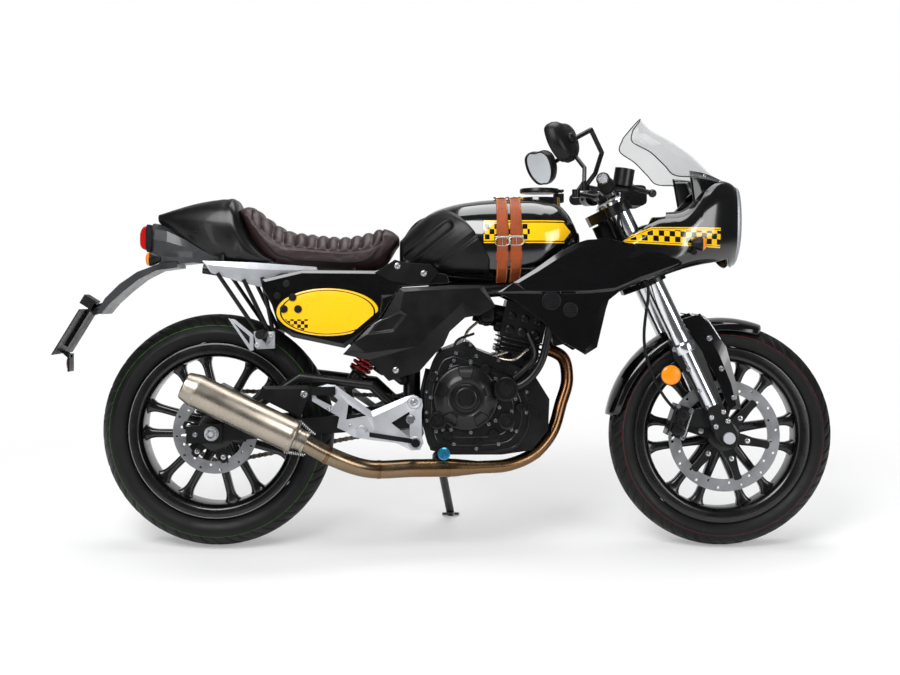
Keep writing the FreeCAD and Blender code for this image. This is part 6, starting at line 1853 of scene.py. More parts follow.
@dataclass
class SeatAndTail(Group):
    """Ribbed seat, tail cowl, lamp, turn lamps, plate and mudguard."""

    ribs: int = 12
    rib_from: float = -566.0
    rib_to: float = -226.0
    rib_foot: float = 0.55
    rib_depth: float = 9.0
    groove_depth: float = 2.5
    voxel: float = 5.0
    swell: float = 3.0
    held: float = 10.0
    cap: float = 6.0
    pressure: float = 4.0
    frames: int = 20

    def inflated(self) -> Skin:
        """Plain pad, blown up by a cloth simulation from a slightly smaller shape, then made finer.

        The blank is meshed evenly, held along its foot, and pressed outwards for some frames without
        gravity. No point may move further than the cap.

        Returns:
            The pad in upright millimetres.
        """
        skin = SEAT_PAD.skin(90, 72, -self.swell)
        mesh = bpy.data.meshes.new("seat_blank")
        mesh.from_pydata((skin.points * MM).tolist(), [], skin.faces)
        blank = bpy.data.objects.new("seat_blank", mesh)
        scene = bpy.context.scene
        scene.collection.objects.link(blank)
        even = blank.modifiers.new("even", "REMESH")
        even.mode, even.voxel_size = "VOXEL", self.voxel * MM
        blank.data = self.finished(blank)
        blank.modifiers.clear()
        start = np.empty(len(blank.data.vertices) * 3)
        blank.data.vertices.foreach_get("co", start)
        start = start.reshape(-1, 3)
        foot = blank.vertex_groups.new(name="foot")
        low, _ = self.edges(start[:, 0] / MM)
        foot.add(np.flatnonzero(start[:, 2] / MM < low + self.held).tolist(), 1.0, "REPLACE")
        air = blank.modifiers.new("air", "CLOTH")
        air.settings.vertex_group_mass = "foot"
        air.settings.use_pressure, air.settings.uniform_pressure_force = True, self.pressure
        air.settings.effector_weights.gravity = 0.0
        air.point_cache.frame_start, air.point_cache.frame_end = 1, self.frames
        for number in range(1, self.frames + 1):
            scene.frame_set(number)
        blown = blank.evaluated_get(bpy.context.evaluated_depsgraph_get()).data
        after = np.empty(len(blown.vertices) * 3)
        blown.vertices.foreach_get("co", after)
        move = after.reshape(-1, 3) - start
        size = np.linalg.norm(move, axis=1, keepdims=True)
        log.info("seat cloth: moved up to %.1f mm", size.max() / MM)
        move *= np.minimum(1.0, self.cap * MM / np.maximum(size, 1e-9))
        blank.modifiers.clear()
        blank.data.vertices.foreach_set("co", (start + move).ravel())
        scene.frame_set(1)
        fine = blank.modifiers.new("fine", "SUBSURF")
        fine.levels = fine.render_levels = 1
        made = self.finished(blank)
        places = np.empty(len(made.vertices) * 3)
        made.vertices.foreach_get("co", places)
        out = np.empty(len(made.vertices) * 3)
        made.vertices.foreach_get("normal", out)
        places, out = places.reshape(-1, 3) / MM, out.reshape(-1, 3)
        faces = [list(face.vertices) for face in made.polygons]
        bpy.data.objects.remove(blank)
        shaped = places + out * self.channels(places)[:, None]
        return Skin(shaped, faces, places[:, :2] / SEAT_PAD.length)

    @staticmethod
    def finished(made: bpy.types.Object) -> bpy.types.Mesh:
        """New mesh of an object with its modifiers applied."""
        return bpy.data.meshes.new_from_object(made.evaluated_get(bpy.context.evaluated_depsgraph_get()))

    @staticmethod
    def edges(x: Array) -> tuple[Array, Array]:
        """Lower and upper edge of the pad at distances along the machine.

        Args:
            x: The distances.

        Returns:
            Heights of the lower and of the upper edge.
        """
        stations = np.array(SEAT_PAD.stations)
        share = np.clip((x - SEAT_PAD.x0) / SEAT_PAD.length, 0, 1)
        low, high = hermite(stations[:, 0], stations[:, 1:3], share).T
        return SEAT_PAD.z0 + SEAT_PAD.height * low, SEAT_PAD.z0 + SEAT_PAD.height * high

    def channels(self, places: Array) -> Array:
        """Height of the sewn ribs: a root of |sin| along the seat, and a groove where they end on the sides.

        Args:
            places: Points of the pad.

        Returns:
            Height at each point.
        """
        x = places[:, 0]
        low, high = self.edges(x)
        up = (places[:, 2] - low) / np.maximum(high - low, 1.0)
        phase = (x - self.rib_from) / (self.rib_to - self.rib_from) * self.ribs * math.pi
        held = (x > self.rib_from) & (x < self.rib_to)
        wave = np.where(held, np.abs(np.sin(phase)) ** 0.6, 0.9)
        top = np.clip((up - self.rib_foot) / 0.08, 0, 1)
        groove = np.exp(-((up - self.rib_foot + 0.02) / 0.03) ** 2) * held
        return (wave - 0.9) * self.rib_depth * top - self.groove_depth * groove

    def seat(self) -> None:
        """Padded seat with cross ribs, a stitched seam on each side and piping along the foot."""
        pad = self.inflated()
        made = self.piece("seat_padded", pad, SEAT_HIDE, replaces="seat", smooth_deg=75)
        tree = BVHTree.FromPolygons(pad.points.tolist(), pad.faces)

        def laid(at: Array, share: float, side: int, lift: float) -> tuple[Array, Array]:
            """Line on the pad's surface at a share of its height, with the directions out of it.

            Args:
                at: Distances along the machine.
                share: Share of the pad's height.
                side: 1 for the left side, -1 for the right.
                lift: How far the line stands off the pad.

            Returns:
                The line and the directions.
            """
            low, high = self.edges(at)
            wanted = np.stack([at, np.full_like(at, side * SEAT_PAD.half * 1.1), low + (high - low) * share],
                              axis=-1)
            hits = [tree.find_nearest(Vector(p))[:2] for p in wanted.tolist()]
            spots, ways = np.array([tuple(h[0]) for h in hits]), np.array([tuple(h[1]) for h in hits])
            return spots + ways * lift, ways

        rows, piping = [], []
        for side in (-1, 1):
            line, way = laid(np.linspace(self.rib_from, self.rib_to, 160), self.rib_foot - 0.08, side, 0.3)
            rows.append(stitches(line, way, 6.0, 4.0, 0.7))
            line, _ = laid(np.linspace(-580, -200, 60), 0.06, side, 0.6)
            piping.append(tube(smooth(line[::4], 90), 2.2, 10))
        self.piece("seat_stitching", merged(rows), THREAD)
        self.piece("seat_piping", merged(piping), RUBBER)

    def tail(self) -> None:
        """Smooth cowl, lamp with a ribbed lens, number plate, and the reflector with its holder."""
        self.piece("tail_cowl_smooth", COWL.skin(70, 84), BLACK_PANEL, replaces="tail_cowl", smooth_deg=55)
        lens = corners_cut([(-861, 787), (-861, 824), (-851, 840), (-833, 840), (-833, 777), (-849, 777)], 2,
                           0.2)
        lamp = prism(lens, -57, 57)
        rim = prism(corners_cut([(-846, 772), (-846, 844), (-830, 844), (-830, 772)], 1, 0.2), -59,
                    59).painted(1)
        self.piece("tail_lamp_lens", merged([lamp, rim]), RED_LENS, BLACK_SATIN, replaces="tail_lamp",
                   bevel=2.5)
        self.piece("number_plate_blank", self.plate(), BLACK_SATIN, SCREW_STEEL, replaces="number_plate",
                   bevel=0.6)
        reflector = lathe([(0, 7), (15, 6), (20, 3), (20, 0), (0, 0)], (-1058, 0, 479), -X_AXIS, 40)
        holder = block((-1059, -24, 458), (-1054, 24, 505)).painted(1)
        tie = prism(np.array([(-1077.0, 508.0), (-1072.0, 513.0), (-1054.0, 503.0), (-1054.0, 494.0),
                              (-1060.0, 492.0)]), -11.0, 11.0).painted(1)
        self.piece("rear_reflector", merged([reflector, holder, tie]), RED_LENS, BLACK_SATIN, bevel=0.8)

    @staticmethod
    def plate() -> Skin:
        """Blank plate with four screws, on its own slope.

        Returns:
            The plate.
        """
        top, low = np.array([-1006.0, 622.0]), np.array([-1078.0, 505.0])
        down = unit(low - top)
        away = np.array([down[1], -down[0]])
        outline = np.array([top, low, low + away * 3.0, top + away * 3.0])
        sheet = prism(outline, -100, 100)
        facing = np.array([away[0], 0, away[1]])
        screws = []
        for d in (14, 122):
            x, z = top + down * d + away * 3.0
            screws += [screw((x, y, z), facing, 5.0, 3.0).painted(1) for y in (-72, 72)]
        return merged([sheet] + screws)

    def blinkers(self) -> None:
        """Turn lamps: body and lens turned about the machine's length, and a rubber stem."""
        lamps = (("rear_turn_lamps", -820, 752, 115, 92, -1, "rear_indicators"),
                 ("front_turn_lamps", 584, 790, 157, 119, 1, "front_indicators"))
        for name, x, z, y, inner, way, node in lamps:
            axis = way * X_AXIS
            body = lathe([(0, -26), (7, -25), (12, -18), (17, -6), (18.6, 0), (18.6, 2), (0, 2)], (x, -y, z),
                         axis, 48)
            lens = lathe([(18.0, 2), (17.2, 6), (14, 10), (7, 12.2), (0, 12.8)], (x, -y, z), axis,
                         48).painted(1)
            stem = tube(np.array([(x - way * 9, -y + 12, z), (x - way * 9, -(y + inner) / 2, z),
                                  (x - way * 9, -inner, z)]), np.array([6.5, 6.0, 7.5]), 20).painted(2)
            self.piece(name, merged([body, lens, stem]).both(), BLACK_SATIN, AMBER_LENS, RUBBER,
                       replaces=node)

    def build(self) -> None:
        """Builds the seat and everything behind it."""
        self.seat()
        self.tail()
        self.blinkers()
        self.dress(GREY_PLASTIC, "tail_mudguard")
        self.dress(BLACK_SATIN, "plate_bracket")
        trim = [(-690, 748), (-564, 744, 1), (-396, 732), (-390, 719), (-486, 716), (-510, 706),
                (-519, 676), (-576, 689), (-666, 716)]
        fold = [(-676, 738, 3), (-570, 727, 3), (-500, 724, 2), (-404, 724, 1)]
        strip = relief(trim, -101.0, -108.0, [fold])
        rods = [rod(a, b, 5.5, 16).painted(1) for a, b in (
            ((-650, -112, 716), (-545, -112, 562)), ((-583, -112, 700), (-514, -112, 558)),
            ((-545, -112, 562), (-514, -112, 558)), ((-535, -112, 706), (-507, -112, 566)))]
        peg = rod((-530, -118, 560), (-530, -204, 560), 11.5, 24, 2.0).painted(2)
        foot = relief([(-556, 566, 0), (-502, 566, 0), (-502, 523, 0), (-548, 521, 0)], -106.0, -120.0,
                      holes=[[(-540, 550, 0), (-520, 552, 0), (-524, 536, 0)]])
        loop = relief([(-621, 600, 0), (-604, 597, 0), (-556, 558, 0), (-556, 518, 0), (-565, 517, 0)], -114.0,
                      -120.0, holes=[[(-606, 588, 0), (-566, 554, 0), (-566, 533, 0)]])
        bolts = [screw((x, -121, z), RIGHT_OUT, 6.0, 4.0) for x, z in ((-512, 557), (-512, 533), (-546, 531))]
        self.piece("tail_trim_and_hangers", merged([strip, foot, loop, peg] + rods + bolts).both(),
                   SILVER_ALLOY, BLACK_ENGINE, RUBBER, replaces="tail_trim", bevel=1.0, smooth_deg=12)


@dataclass
class SidePanels(Group):
    """Gloss side panels with their yellow boards, frame covers in relief, and the bolts on them."""

    panel_y: float = -136.0
    board_y: float = -139.0
    cover_y: float = -136.0

    def board(self) -> Skin:
        """Domed board: an ellipse in rings, cut off where the frame cover's slanting edge passes over it.

        Returns:
            The board.
        """
        turn = np.linspace(0, 2 * math.pi, 121)
        rings = []
        for size, y in ((1.0, 0.0), (1.0, -5.0), (0.985, -8.4), (0.955, -9.0), (0.6, -9.4), (0.0, -9.6)):
            x = BOARD_MIDDLE[0] + BOARD_HALF[0] * size * np.cos(turn)
            z = BOARD_MIDDLE[1] + BOARD_HALF[1] * size * np.sin(turn)
            edge = BOARD_MIDDLE[0] + BOARD_HALF[0] - 3.0 + np.minimum(0.0, z - BOARD_MIDDLE[1] - 3.0) * 1.18
            rings.append(np.stack([np.minimum(x, edge), np.full_like(turn, self.board_y + y), z], axis=-1))
        return grid(np.array(rings))

    def build(self) -> None:
        """Panel, board, cover and bracket plate, each a relief whose creases stand out."""
        panel = [(-533, 700), (-430, 724), (-245, 722), (-190, 738), (-60, 712), (-53, 690),
                 (-181, 682), (-233, 598), (-265, 577), (-303, 540), (-321, 524), (-454, 552),
                 (-489, 575), (-507, 634), (-533, 680)]
        folds = [[(-524, 692, 2.4), (-430, 715, 2.4), (-245, 713, 2.4), (-190, 728, 2.4), (-75, 705, 2)],
                 [(-228, 660, 4), (-160, 662, 4)], [(-222, 652, 0), (-168, 654, 0)],
                 [(-505, 660, 2.4), (-478, 584, 2.4), (-452, 563, 2.4), (-326, 536, 2.4)]]
        self.piece("side_panels_gloss", relief(panel, -128.0, self.panel_y, folds).both(), BLACK_GLOSS,
                   replaces="side_covers", bevel=1.6, smooth_deg=10)
        plugs = [lathe([(0, 5), (8.5, 4.4), (10, 2.5), (10, -2), (0, -2)], (x, y, z), RIGHT_OUT, 32).painted(1)
                 for x, y, z in ((-470, -137, 688), (-493, -137, 657), (-453, -148, 654), (-475, -148, 624),
                                 (-439, -148, 624))]
        self.piece("number_boards", merged([self.board()] + plugs).both(), BOARD_PAINT, BLACK_SATIN)
        cover = [(-228, 597), (-182, 678), (-53, 685), (33, 685), (64, 631), (25, 609),
                 (-14, 602), (-53, 567), (-69, 531), (-88, 513), (-131, 464), (-209, 440),
                 (-260, 494), (-326, 508), (-299, 538), (-260, 577)]
        ridge = [(-300, 517, 3), (-265, 512, 5), (-138, 529, 7), (-97, 570, 8), (-54, 609, 8), (-22, 640, 7),
                 (28, 668, 4)]
        shelf = [(-262, 560, 5), (-232, 600, 5), (-180, 621, 5), (-163, 610, 5), (-196, 567, 5)]
        well = [(-254, 563, 1), (-227, 595, 1), (-181, 613, 1), (-172, 609, 1), (-200, 573, 1), (-254, 563, 1)]
        upper = [(-170, 668, 4), (-50, 676, 5), (22, 677, 4)]
        skin = relief(cover, -125.0, self.cover_y, [ridge, shelf + shelf[:1], well, upper])
        self.piece("frame_covers_moulded", skin.both(), BLACK_PANEL, replaces="frame_covers", bevel=1.4,
                   smooth_deg=9)
        plate = [(-244, 717), (-193, 750), (-167, 742), (-101, 738), (-81, 717), (-106, 691),
                 (-148, 685), (-205, 697)]
        bridge = relief(plate, -134.0, -140.5)
        bolts = [screw((x, y, z), RIGHT_OUT, 6.5, 3.5).painted(1)
                 for x, y, z in ((-187, -140.5, 734), (-120, -140.5, 715), (-191, -138, 468))]
        self.piece("tank_side_plates", merged([bridge] + bolts).both(), BLACK_PANEL, SCREW_STEEL,
                   bevel=1.2, smooth_deg=20)


@dataclass
class Cockpit(Group):
    """Bars, grips, levers, reservoir, cables, mirrors and the dials."""

    rides_on: str = "steering"
    inner: Spot = (362.0, -74.0, 925.0)
    outer: Spot = (313.6, -330.0, 938.0)

    def bars(self) -> None:
        """Clip-on bars with ribbed grips, weights at their ends and switch housings."""
        inner, outer = np.array(self.inner), np.array(self.outer)
        way = unit(outer - inner)
        grip = [(0, 0), (13, 0), (17, 2)]
        grip += [(17.0 if k % 2 else 15.6, 5 + k * 3.4) for k in range(32)]
        grip += [(17.5, 114), (19.5, 116), (19.5, 118), (0, 118)]
        rubber = lathe([(r, 118 - h) for r, h in reversed(grip)], outer - way * 118, way, 48)
        weight = lathe([(0, 0), (13, 0), (13, 8), (11, 12), (0, 12)], outer + way * 0.5, way, 40).painted(1)
        self.piece("ribbed_grips", merged([rubber, weight]).both(), RUBBER, SCREW_STEEL,
                   replaces="grips")
        self.dress(BLACK_ENGINE, "handlebars", "controls", "mirror_stems")
        self.mirror()
        house = outer - way * 150
        kill = block(house + np.array([-9, -8, 13]), house + np.array([9, 8, 24]))
        button = rod(house + np.array([-19, 0, -2]), house + np.array([-26, 0, -3]), 5, 20).painted(1)
        self.piece("switches", merged([kill, button]).both(), RED_PLASTIC, BLACK_SATIN, bevel=1.5)

    def mirror(self) -> None:
        """Mirror heads: rings of one shield-shaped loop, scaled and moved back, with the glass in front."""
        half = [(0.0, 0.0), (0.30, 0.0), (0.62, 0.12), (0.93, 0.50), (0.88, 0.84), (0.60, 0.99), (0.0, 1.0)]
        loop = smooth([(s, u - 0.5) for s, u in half] + [(-s, u - 0.5) for s, u in half[-2:0:-1]], 73,
                      closed=True)
        flat = np.stack([np.zeros(73), loop[:, 0] * 60, loop[:, 1] * 96], axis=-1)
        shell = [(-13, 0.90), (-17, 0.92), (-17, 0.98), (-14, 1.0), (-2, 1.0), (8, 0.93), (14, 0.82),
                 (17, 0.66), (19, 0.35), (19.5, 0.0)]
        head = grid(np.array([flat * scale + X_AXIS * x for x, scale in shell]))
        rings = ((-13.6, 0.91), (-14.0, 0.5), (-14.2, 0.0))
        glass = grid(np.array([flat * scale + X_AXIS * x for x, scale in rings]))
        neck = mould((21, 0, 0), (9, 15, 12), 3.0)
        centre = (self.outer[0] - 92, -318.0, self.outer[2] + 92)
        whole = (head + glass.painted(1) + neck).turned(Y_AXIS, -20).turned(Z_AXIS, -35).moved(*centre)
        self.piece("mirror_heads", whole.both(), BLACK_SATIN, MIRROR_GLASS, replaces="mirrors",
                   smooth_deg=50)

    def cables(self) -> None:
        """Throttle and clutch cables from the switches into the headstock, each held by two small ties."""
        cable = smooth([(352, -180, 938), (382, -160, 948), (404, -112, 916), (410, -74, 862),
                        (416, -44, 812)], 60)
        ties = [tube(cable[i:i + 3], 4.2, 16).painted(1) for i in (6, 44)]
        self.piece("control_cables", merged([tube(cable, 3.0, 12)] + ties).both(), RUBBER, SCREW_STEEL)
        self.dress(RUBBER, "brake_hose")

    def dials(self) -> None:
        """Pod with two round dials that face the rider: rim, face, marks and a pointer each."""
        axis = unit(np.array([-0.82, 0, 0.57]))
        parts = []
        shell = corners_cut([(400, 894), (400, 930), (424, 947), (456, 946), (461, 930), (461, 892)], 2, 0.2)
        parts.append(prism(shell, -65, 65))
        for y in (-31, 31):
            at = np.array([408, y, 932])
            parts.append(lathe([(0, -10), (29, -10), (30, 5), (28, 7.5), (26, 7), (25.4, 3)], at, axis,
                               64).painted(1))
            parts.append(lathe([(25.6, 3.0), (0, 3.0)], at, axis, 64).painted(2))
            first, second = across(axis)
            for k in range(9):
                a = math.radians(-120 + 30 * k)
                way = math.cos(a) * first + math.sin(a) * second
                foot = at + axis * 3.2
                parts.append(tube(np.array([foot + way * 19, foot + way * 24]), 0.7, 6).painted(3))
            foot = at + axis * 4
            parts.append(tube(np.array([foot, foot + unit(first - second) * 18]), 0.9, 6).painted(4))
            parts.append(lathe([(3.4, 3), (3.4, 5.5), (0, 5.8)], at, axis, 24).painted(1))
        self.piece("instrument_dials", merged(parts), BLACK_SATIN, SILVER_ALLOY, DIAL_FACE, WHITE_ENAMEL,
                   RED_PLASTIC, replaces="instrument_pod", bevel=1.0)

    def build(self) -> None:
        """Builds the bars, the cables and the dials."""
        self.bars()
        self.cables()
        self.dials()


@dataclass
class Fairing(Group):
    """Nose, lamp, screen, lower panels and vents."""

    lip_from: float = 690.0
    front_x: float = 703.0
    lamp_z: float = 852.0
    lip_r: float = 83.0
    screen_from: tuple[float, float] = (415.0, 943.0)
    screen_span: tuple[float, float] = (271.0, 181.0)
    screen_half: float = 146.0
    screen_rows: tuple[tuple[float, ...], ...] = (
        (0.13, 1.0, 0.02, 0.79, 0.62), (0.24, 0.835, 0.0, 0.61, 0.80), (0.43, 0.67, 0.16, 0.45, 0.92),
        (0.63, 0.46, 0.29, 0.26, 0.96), (0.82, 0.19, 0.39, 0.12, 0.96), (1.0, 0.0, 0.62, 0.10, 0.92))

    def nose(self) -> None:
        """Moulded nose: each side runs from the open top's edge to the open foot, then rolls into the lip.

        The open edge lies where the distance across equals a limit that falls in two soft steps. The lip
        blends the last section into a circle: section·(1 − share) + circle·share.
        """
        x = np.concatenate([np.linspace(384, 490, 30), np.linspace(492, 508, 14)[:-1],
                            np.linspace(508, 580, 18), np.linspace(582, 600, 14), np.linspace(602, 626, 8),
                            np.linspace(628, 646, 14), np.linspace(650, self.lip_from, 14)])
        fine = np.linspace(0, 0.5, 400)
        side = NOSE.section(x, fine)
        widest = side[..., 1].max(axis=1)
        top_limit = 139.3 - 32.4 * soft_step(x, 500, 9) - 106.9 * soft_step(x, 591, 11)
        low_limit = (0.86 - 0.11 * np.clip((x - 384) / 230, 0, 1)) * widest
        low_limit = low_limit * (1 - 0.6 * soft_step(x, 676, 24))
        peak = side[..., 1].argmax(axis=1)
        rows = []
        for index, ring in enumerate(side):
            upper, lower = ring[:peak[index] + 1, 1], ring[peak[index]:, 1]
            first = np.interp(min(top_limit[index], widest[index] - 1), upper, fine[:peak[index] + 1])
            last = np.interp(low_limit[index], lower[::-1], fine[peak[index]:][::-1])
            last = 0.5 if low_limit[index] < 1 else last
            turn = first + (last - first) * np.linspace(0, 1, 73)
            rows.append(np.stack([np.interp(turn, fine, ring[:, k]) for k in range(3)], axis=-1))
        body = np.array(rows)
        end = body[-1]
        angle = np.arctan2(end[:, 2] - self.lamp_z, end[:, 1])
        circle = np.stack([np.zeros_like(angle), self.lip_r * np.cos(angle),
                           self.lamp_z + self.lip_r * np.sin(angle)], axis=-1)
        lip = []
        for share in np.linspace(0, 1, 9)[1:]:
            ring = end * (1 - share ** 2.2) + circle * share ** 2.2
            ring[:, 0] = self.lip_from + (self.front_x - self.lip_from) * math.sin(share * math.pi / 2)
            lip.append(ring)
        half = grid(body) + grid(np.array([end] + lip)).painted(1)
        self.piece("nose_moulded", half.both(), NOSE_PAINT, GREY_ALLOY, replaces="upper_fairing",
                   thick=4.5, smooth_deg=50)

    def screen(self) -> None:
        """Screen: smooth rows of arches, edge + (centre − edge)·cos along and up, half·width·sin across."""
        table = np.array(self.screen_rows)
        along = np.linspace(0, 1, 60)
        rows = hermite(np.linspace(0, 1, len(table)), table, along)
        turn = np.linspace(-math.pi / 2, math.pi / 2, 73)
        bow, sway = np.cos(turn)[None], np.sin(turn)[None]
        x = self.screen_from[0] + self.screen_span[0] * (rows[:, 2:3] + (rows[:, 0:1] - rows[:, 2:3]) * bow)
        z = self.screen_from[1] + self.screen_span[1] * (rows[:, 3:4] + (rows[:, 1:2] - rows[:, 3:4]) * bow)
        y = self.screen_half * rows[:, 4:5] * sway
        points = np.stack([x, y, z], axis=-1)
        self.piece("screen_tinted", grid(points), CLEAR_SHEET, replaces="windscreen", thick=3.0)
        edge = np.concatenate([points[::-1, 0], points[0, 1:-1], points[:, -1]])
        self.piece("screen_edge_trim", tube(edge, 1.5, 10), BLACK_SATIN)

    def lower(self) -> None:
        """Lower panels: a bulged upper facet that ends in a sharp ledge, and a flatter facet below it."""
        outline = [(66, 666, 0), (107, 691, 1), (163, 726, 1), (213, 762, 0), (269, 792, 0), (295, 800, 0),
                   (345, 803, 0), (440, 784, 2), (500, 761, 3), (536, 743, 3), (532, 733, 3), (470, 712, 3),
                   (428, 694, 3), (376, 668, 2), (350, 647, 1),
                   (343, 625, 0), (320, 527, 0), (290, 508, 0), (259, 527, 0), (229, 543, 0), (208, 562, 0),
                   (188, 587, 0), (117, 642, 0)]
        bulge = [(78, 668, 3), (140, 670, 7), (210, 669, 9), (300, 671, 9), (366, 678, 8), (430, 706, 7),
                 (524, 738, 4)]
        ledge = [(80, 664, 0), (140, 664, 1), (210, 663, 2), (300, 664, 2), (362, 670, 3), (428, 699, 4)]
        edge = [(330, 640, 4), (309, 540, 3), (290, 522, 2)]
        brow = [(120, 690, 5), (175, 722, 5), (222, 752, 4), (275, 780, 4), (345, 790, 4), (436, 772, 5),
                (515, 746, 5)]
        skin = relief(outline, -151.0, -157.0, [bulge, ledge, edge, brow])
        self.piece("lower_fairing_moulded", skin.both(), BLACK_GLOSS, replaces="lower_fairing",
                   bevel=1.2, smooth_deg=9)
        upper = smooth([(561, -126, 978), (600, -108, 973), (640, -76, 963), (675, -36, 951), (690, 0, 946)],
                       24)
        lower = smooth([(575, -112, 880), (602, -106, 900), (640, -84, 928), (672, -44, 944), (688, 0, 943)],
                       24)
        base = np.linspace(0, 1, 9)[:, None, None] * (upper - lower)[None] + lower[None]
        self.piece("screen_base", grid(base).both(), BLACK_GLOSS, thick=3.0)
        fixings = [screw(tuple(upper[i] + np.array([3.0, -5.0, -8.0])), unit(np.array([0.35, -0.8, 0.45])),
                         4.5, 3.0) for i in (5, 13)]
        self.piece("screen_screws", merged(fixings).both(), SCREW_STEEL)

    def build(self) -> None:
        """Builds the nose, the screen and the lower panels, then the lamp and the vents."""
        self.nose()
        self.screen()
        self.lower()
        centre = (self.front_x, 0, self.lamp_z)
        rim = lathe([(72.3, -14), (82, -14), (82, -3), (80, 0.5), (76, 1.2), (72.3, -1)], centre, X_AXIS, 96,
                    closed=True)
        self.piece("headlamp_ring", rim, POLISHED, replaces="headlamp_rim")
        bowl = lathe([(0, -66), (18, -64), (40, -50), (58, -30), (68, -10), (71.5, -4), (71.5, -66),
                      (0, -69)], centre, X_AXIS, 96)
        bulb = lathe([(0, -22), (7, -24), (9, -32), (9, -60), (0, -60)], centre, X_AXIS, 32).painted(1)
        self.piece("headlamp_bowl", merged([bowl, bulb]), POLISHED, WHITE_ENAMEL)
        front = lathe([(71.6, -6), (66, -3.5), (50, 0.5), (25, 3.0), (0, 4.0)], centre, X_AXIS, 96)
        self.piece("headlamp_glass", front, LAMP_GLASS, replaces="headlamp", thick=2.0)
        holes = []
        for x, z, size in ((204, 645, 21), (252, 622, 16)):
            holes.append(lathe([(size, 3.6), (size + 3, 3.0), (size + 3, 0), (0, 0)], (x, -158.5, z),
                               RIGHT_OUT, 48).painted(1))
            holes.append(lathe([(size, 2.0), (0, 2.0)], (x, -158.5, z), RIGHT_OUT, 48))
        self.piece("fairing_vents", merged(holes).both(), VENT_MESH, BLACK_SATIN)
        self.dress(BLACK_ENGINE, "radiator")


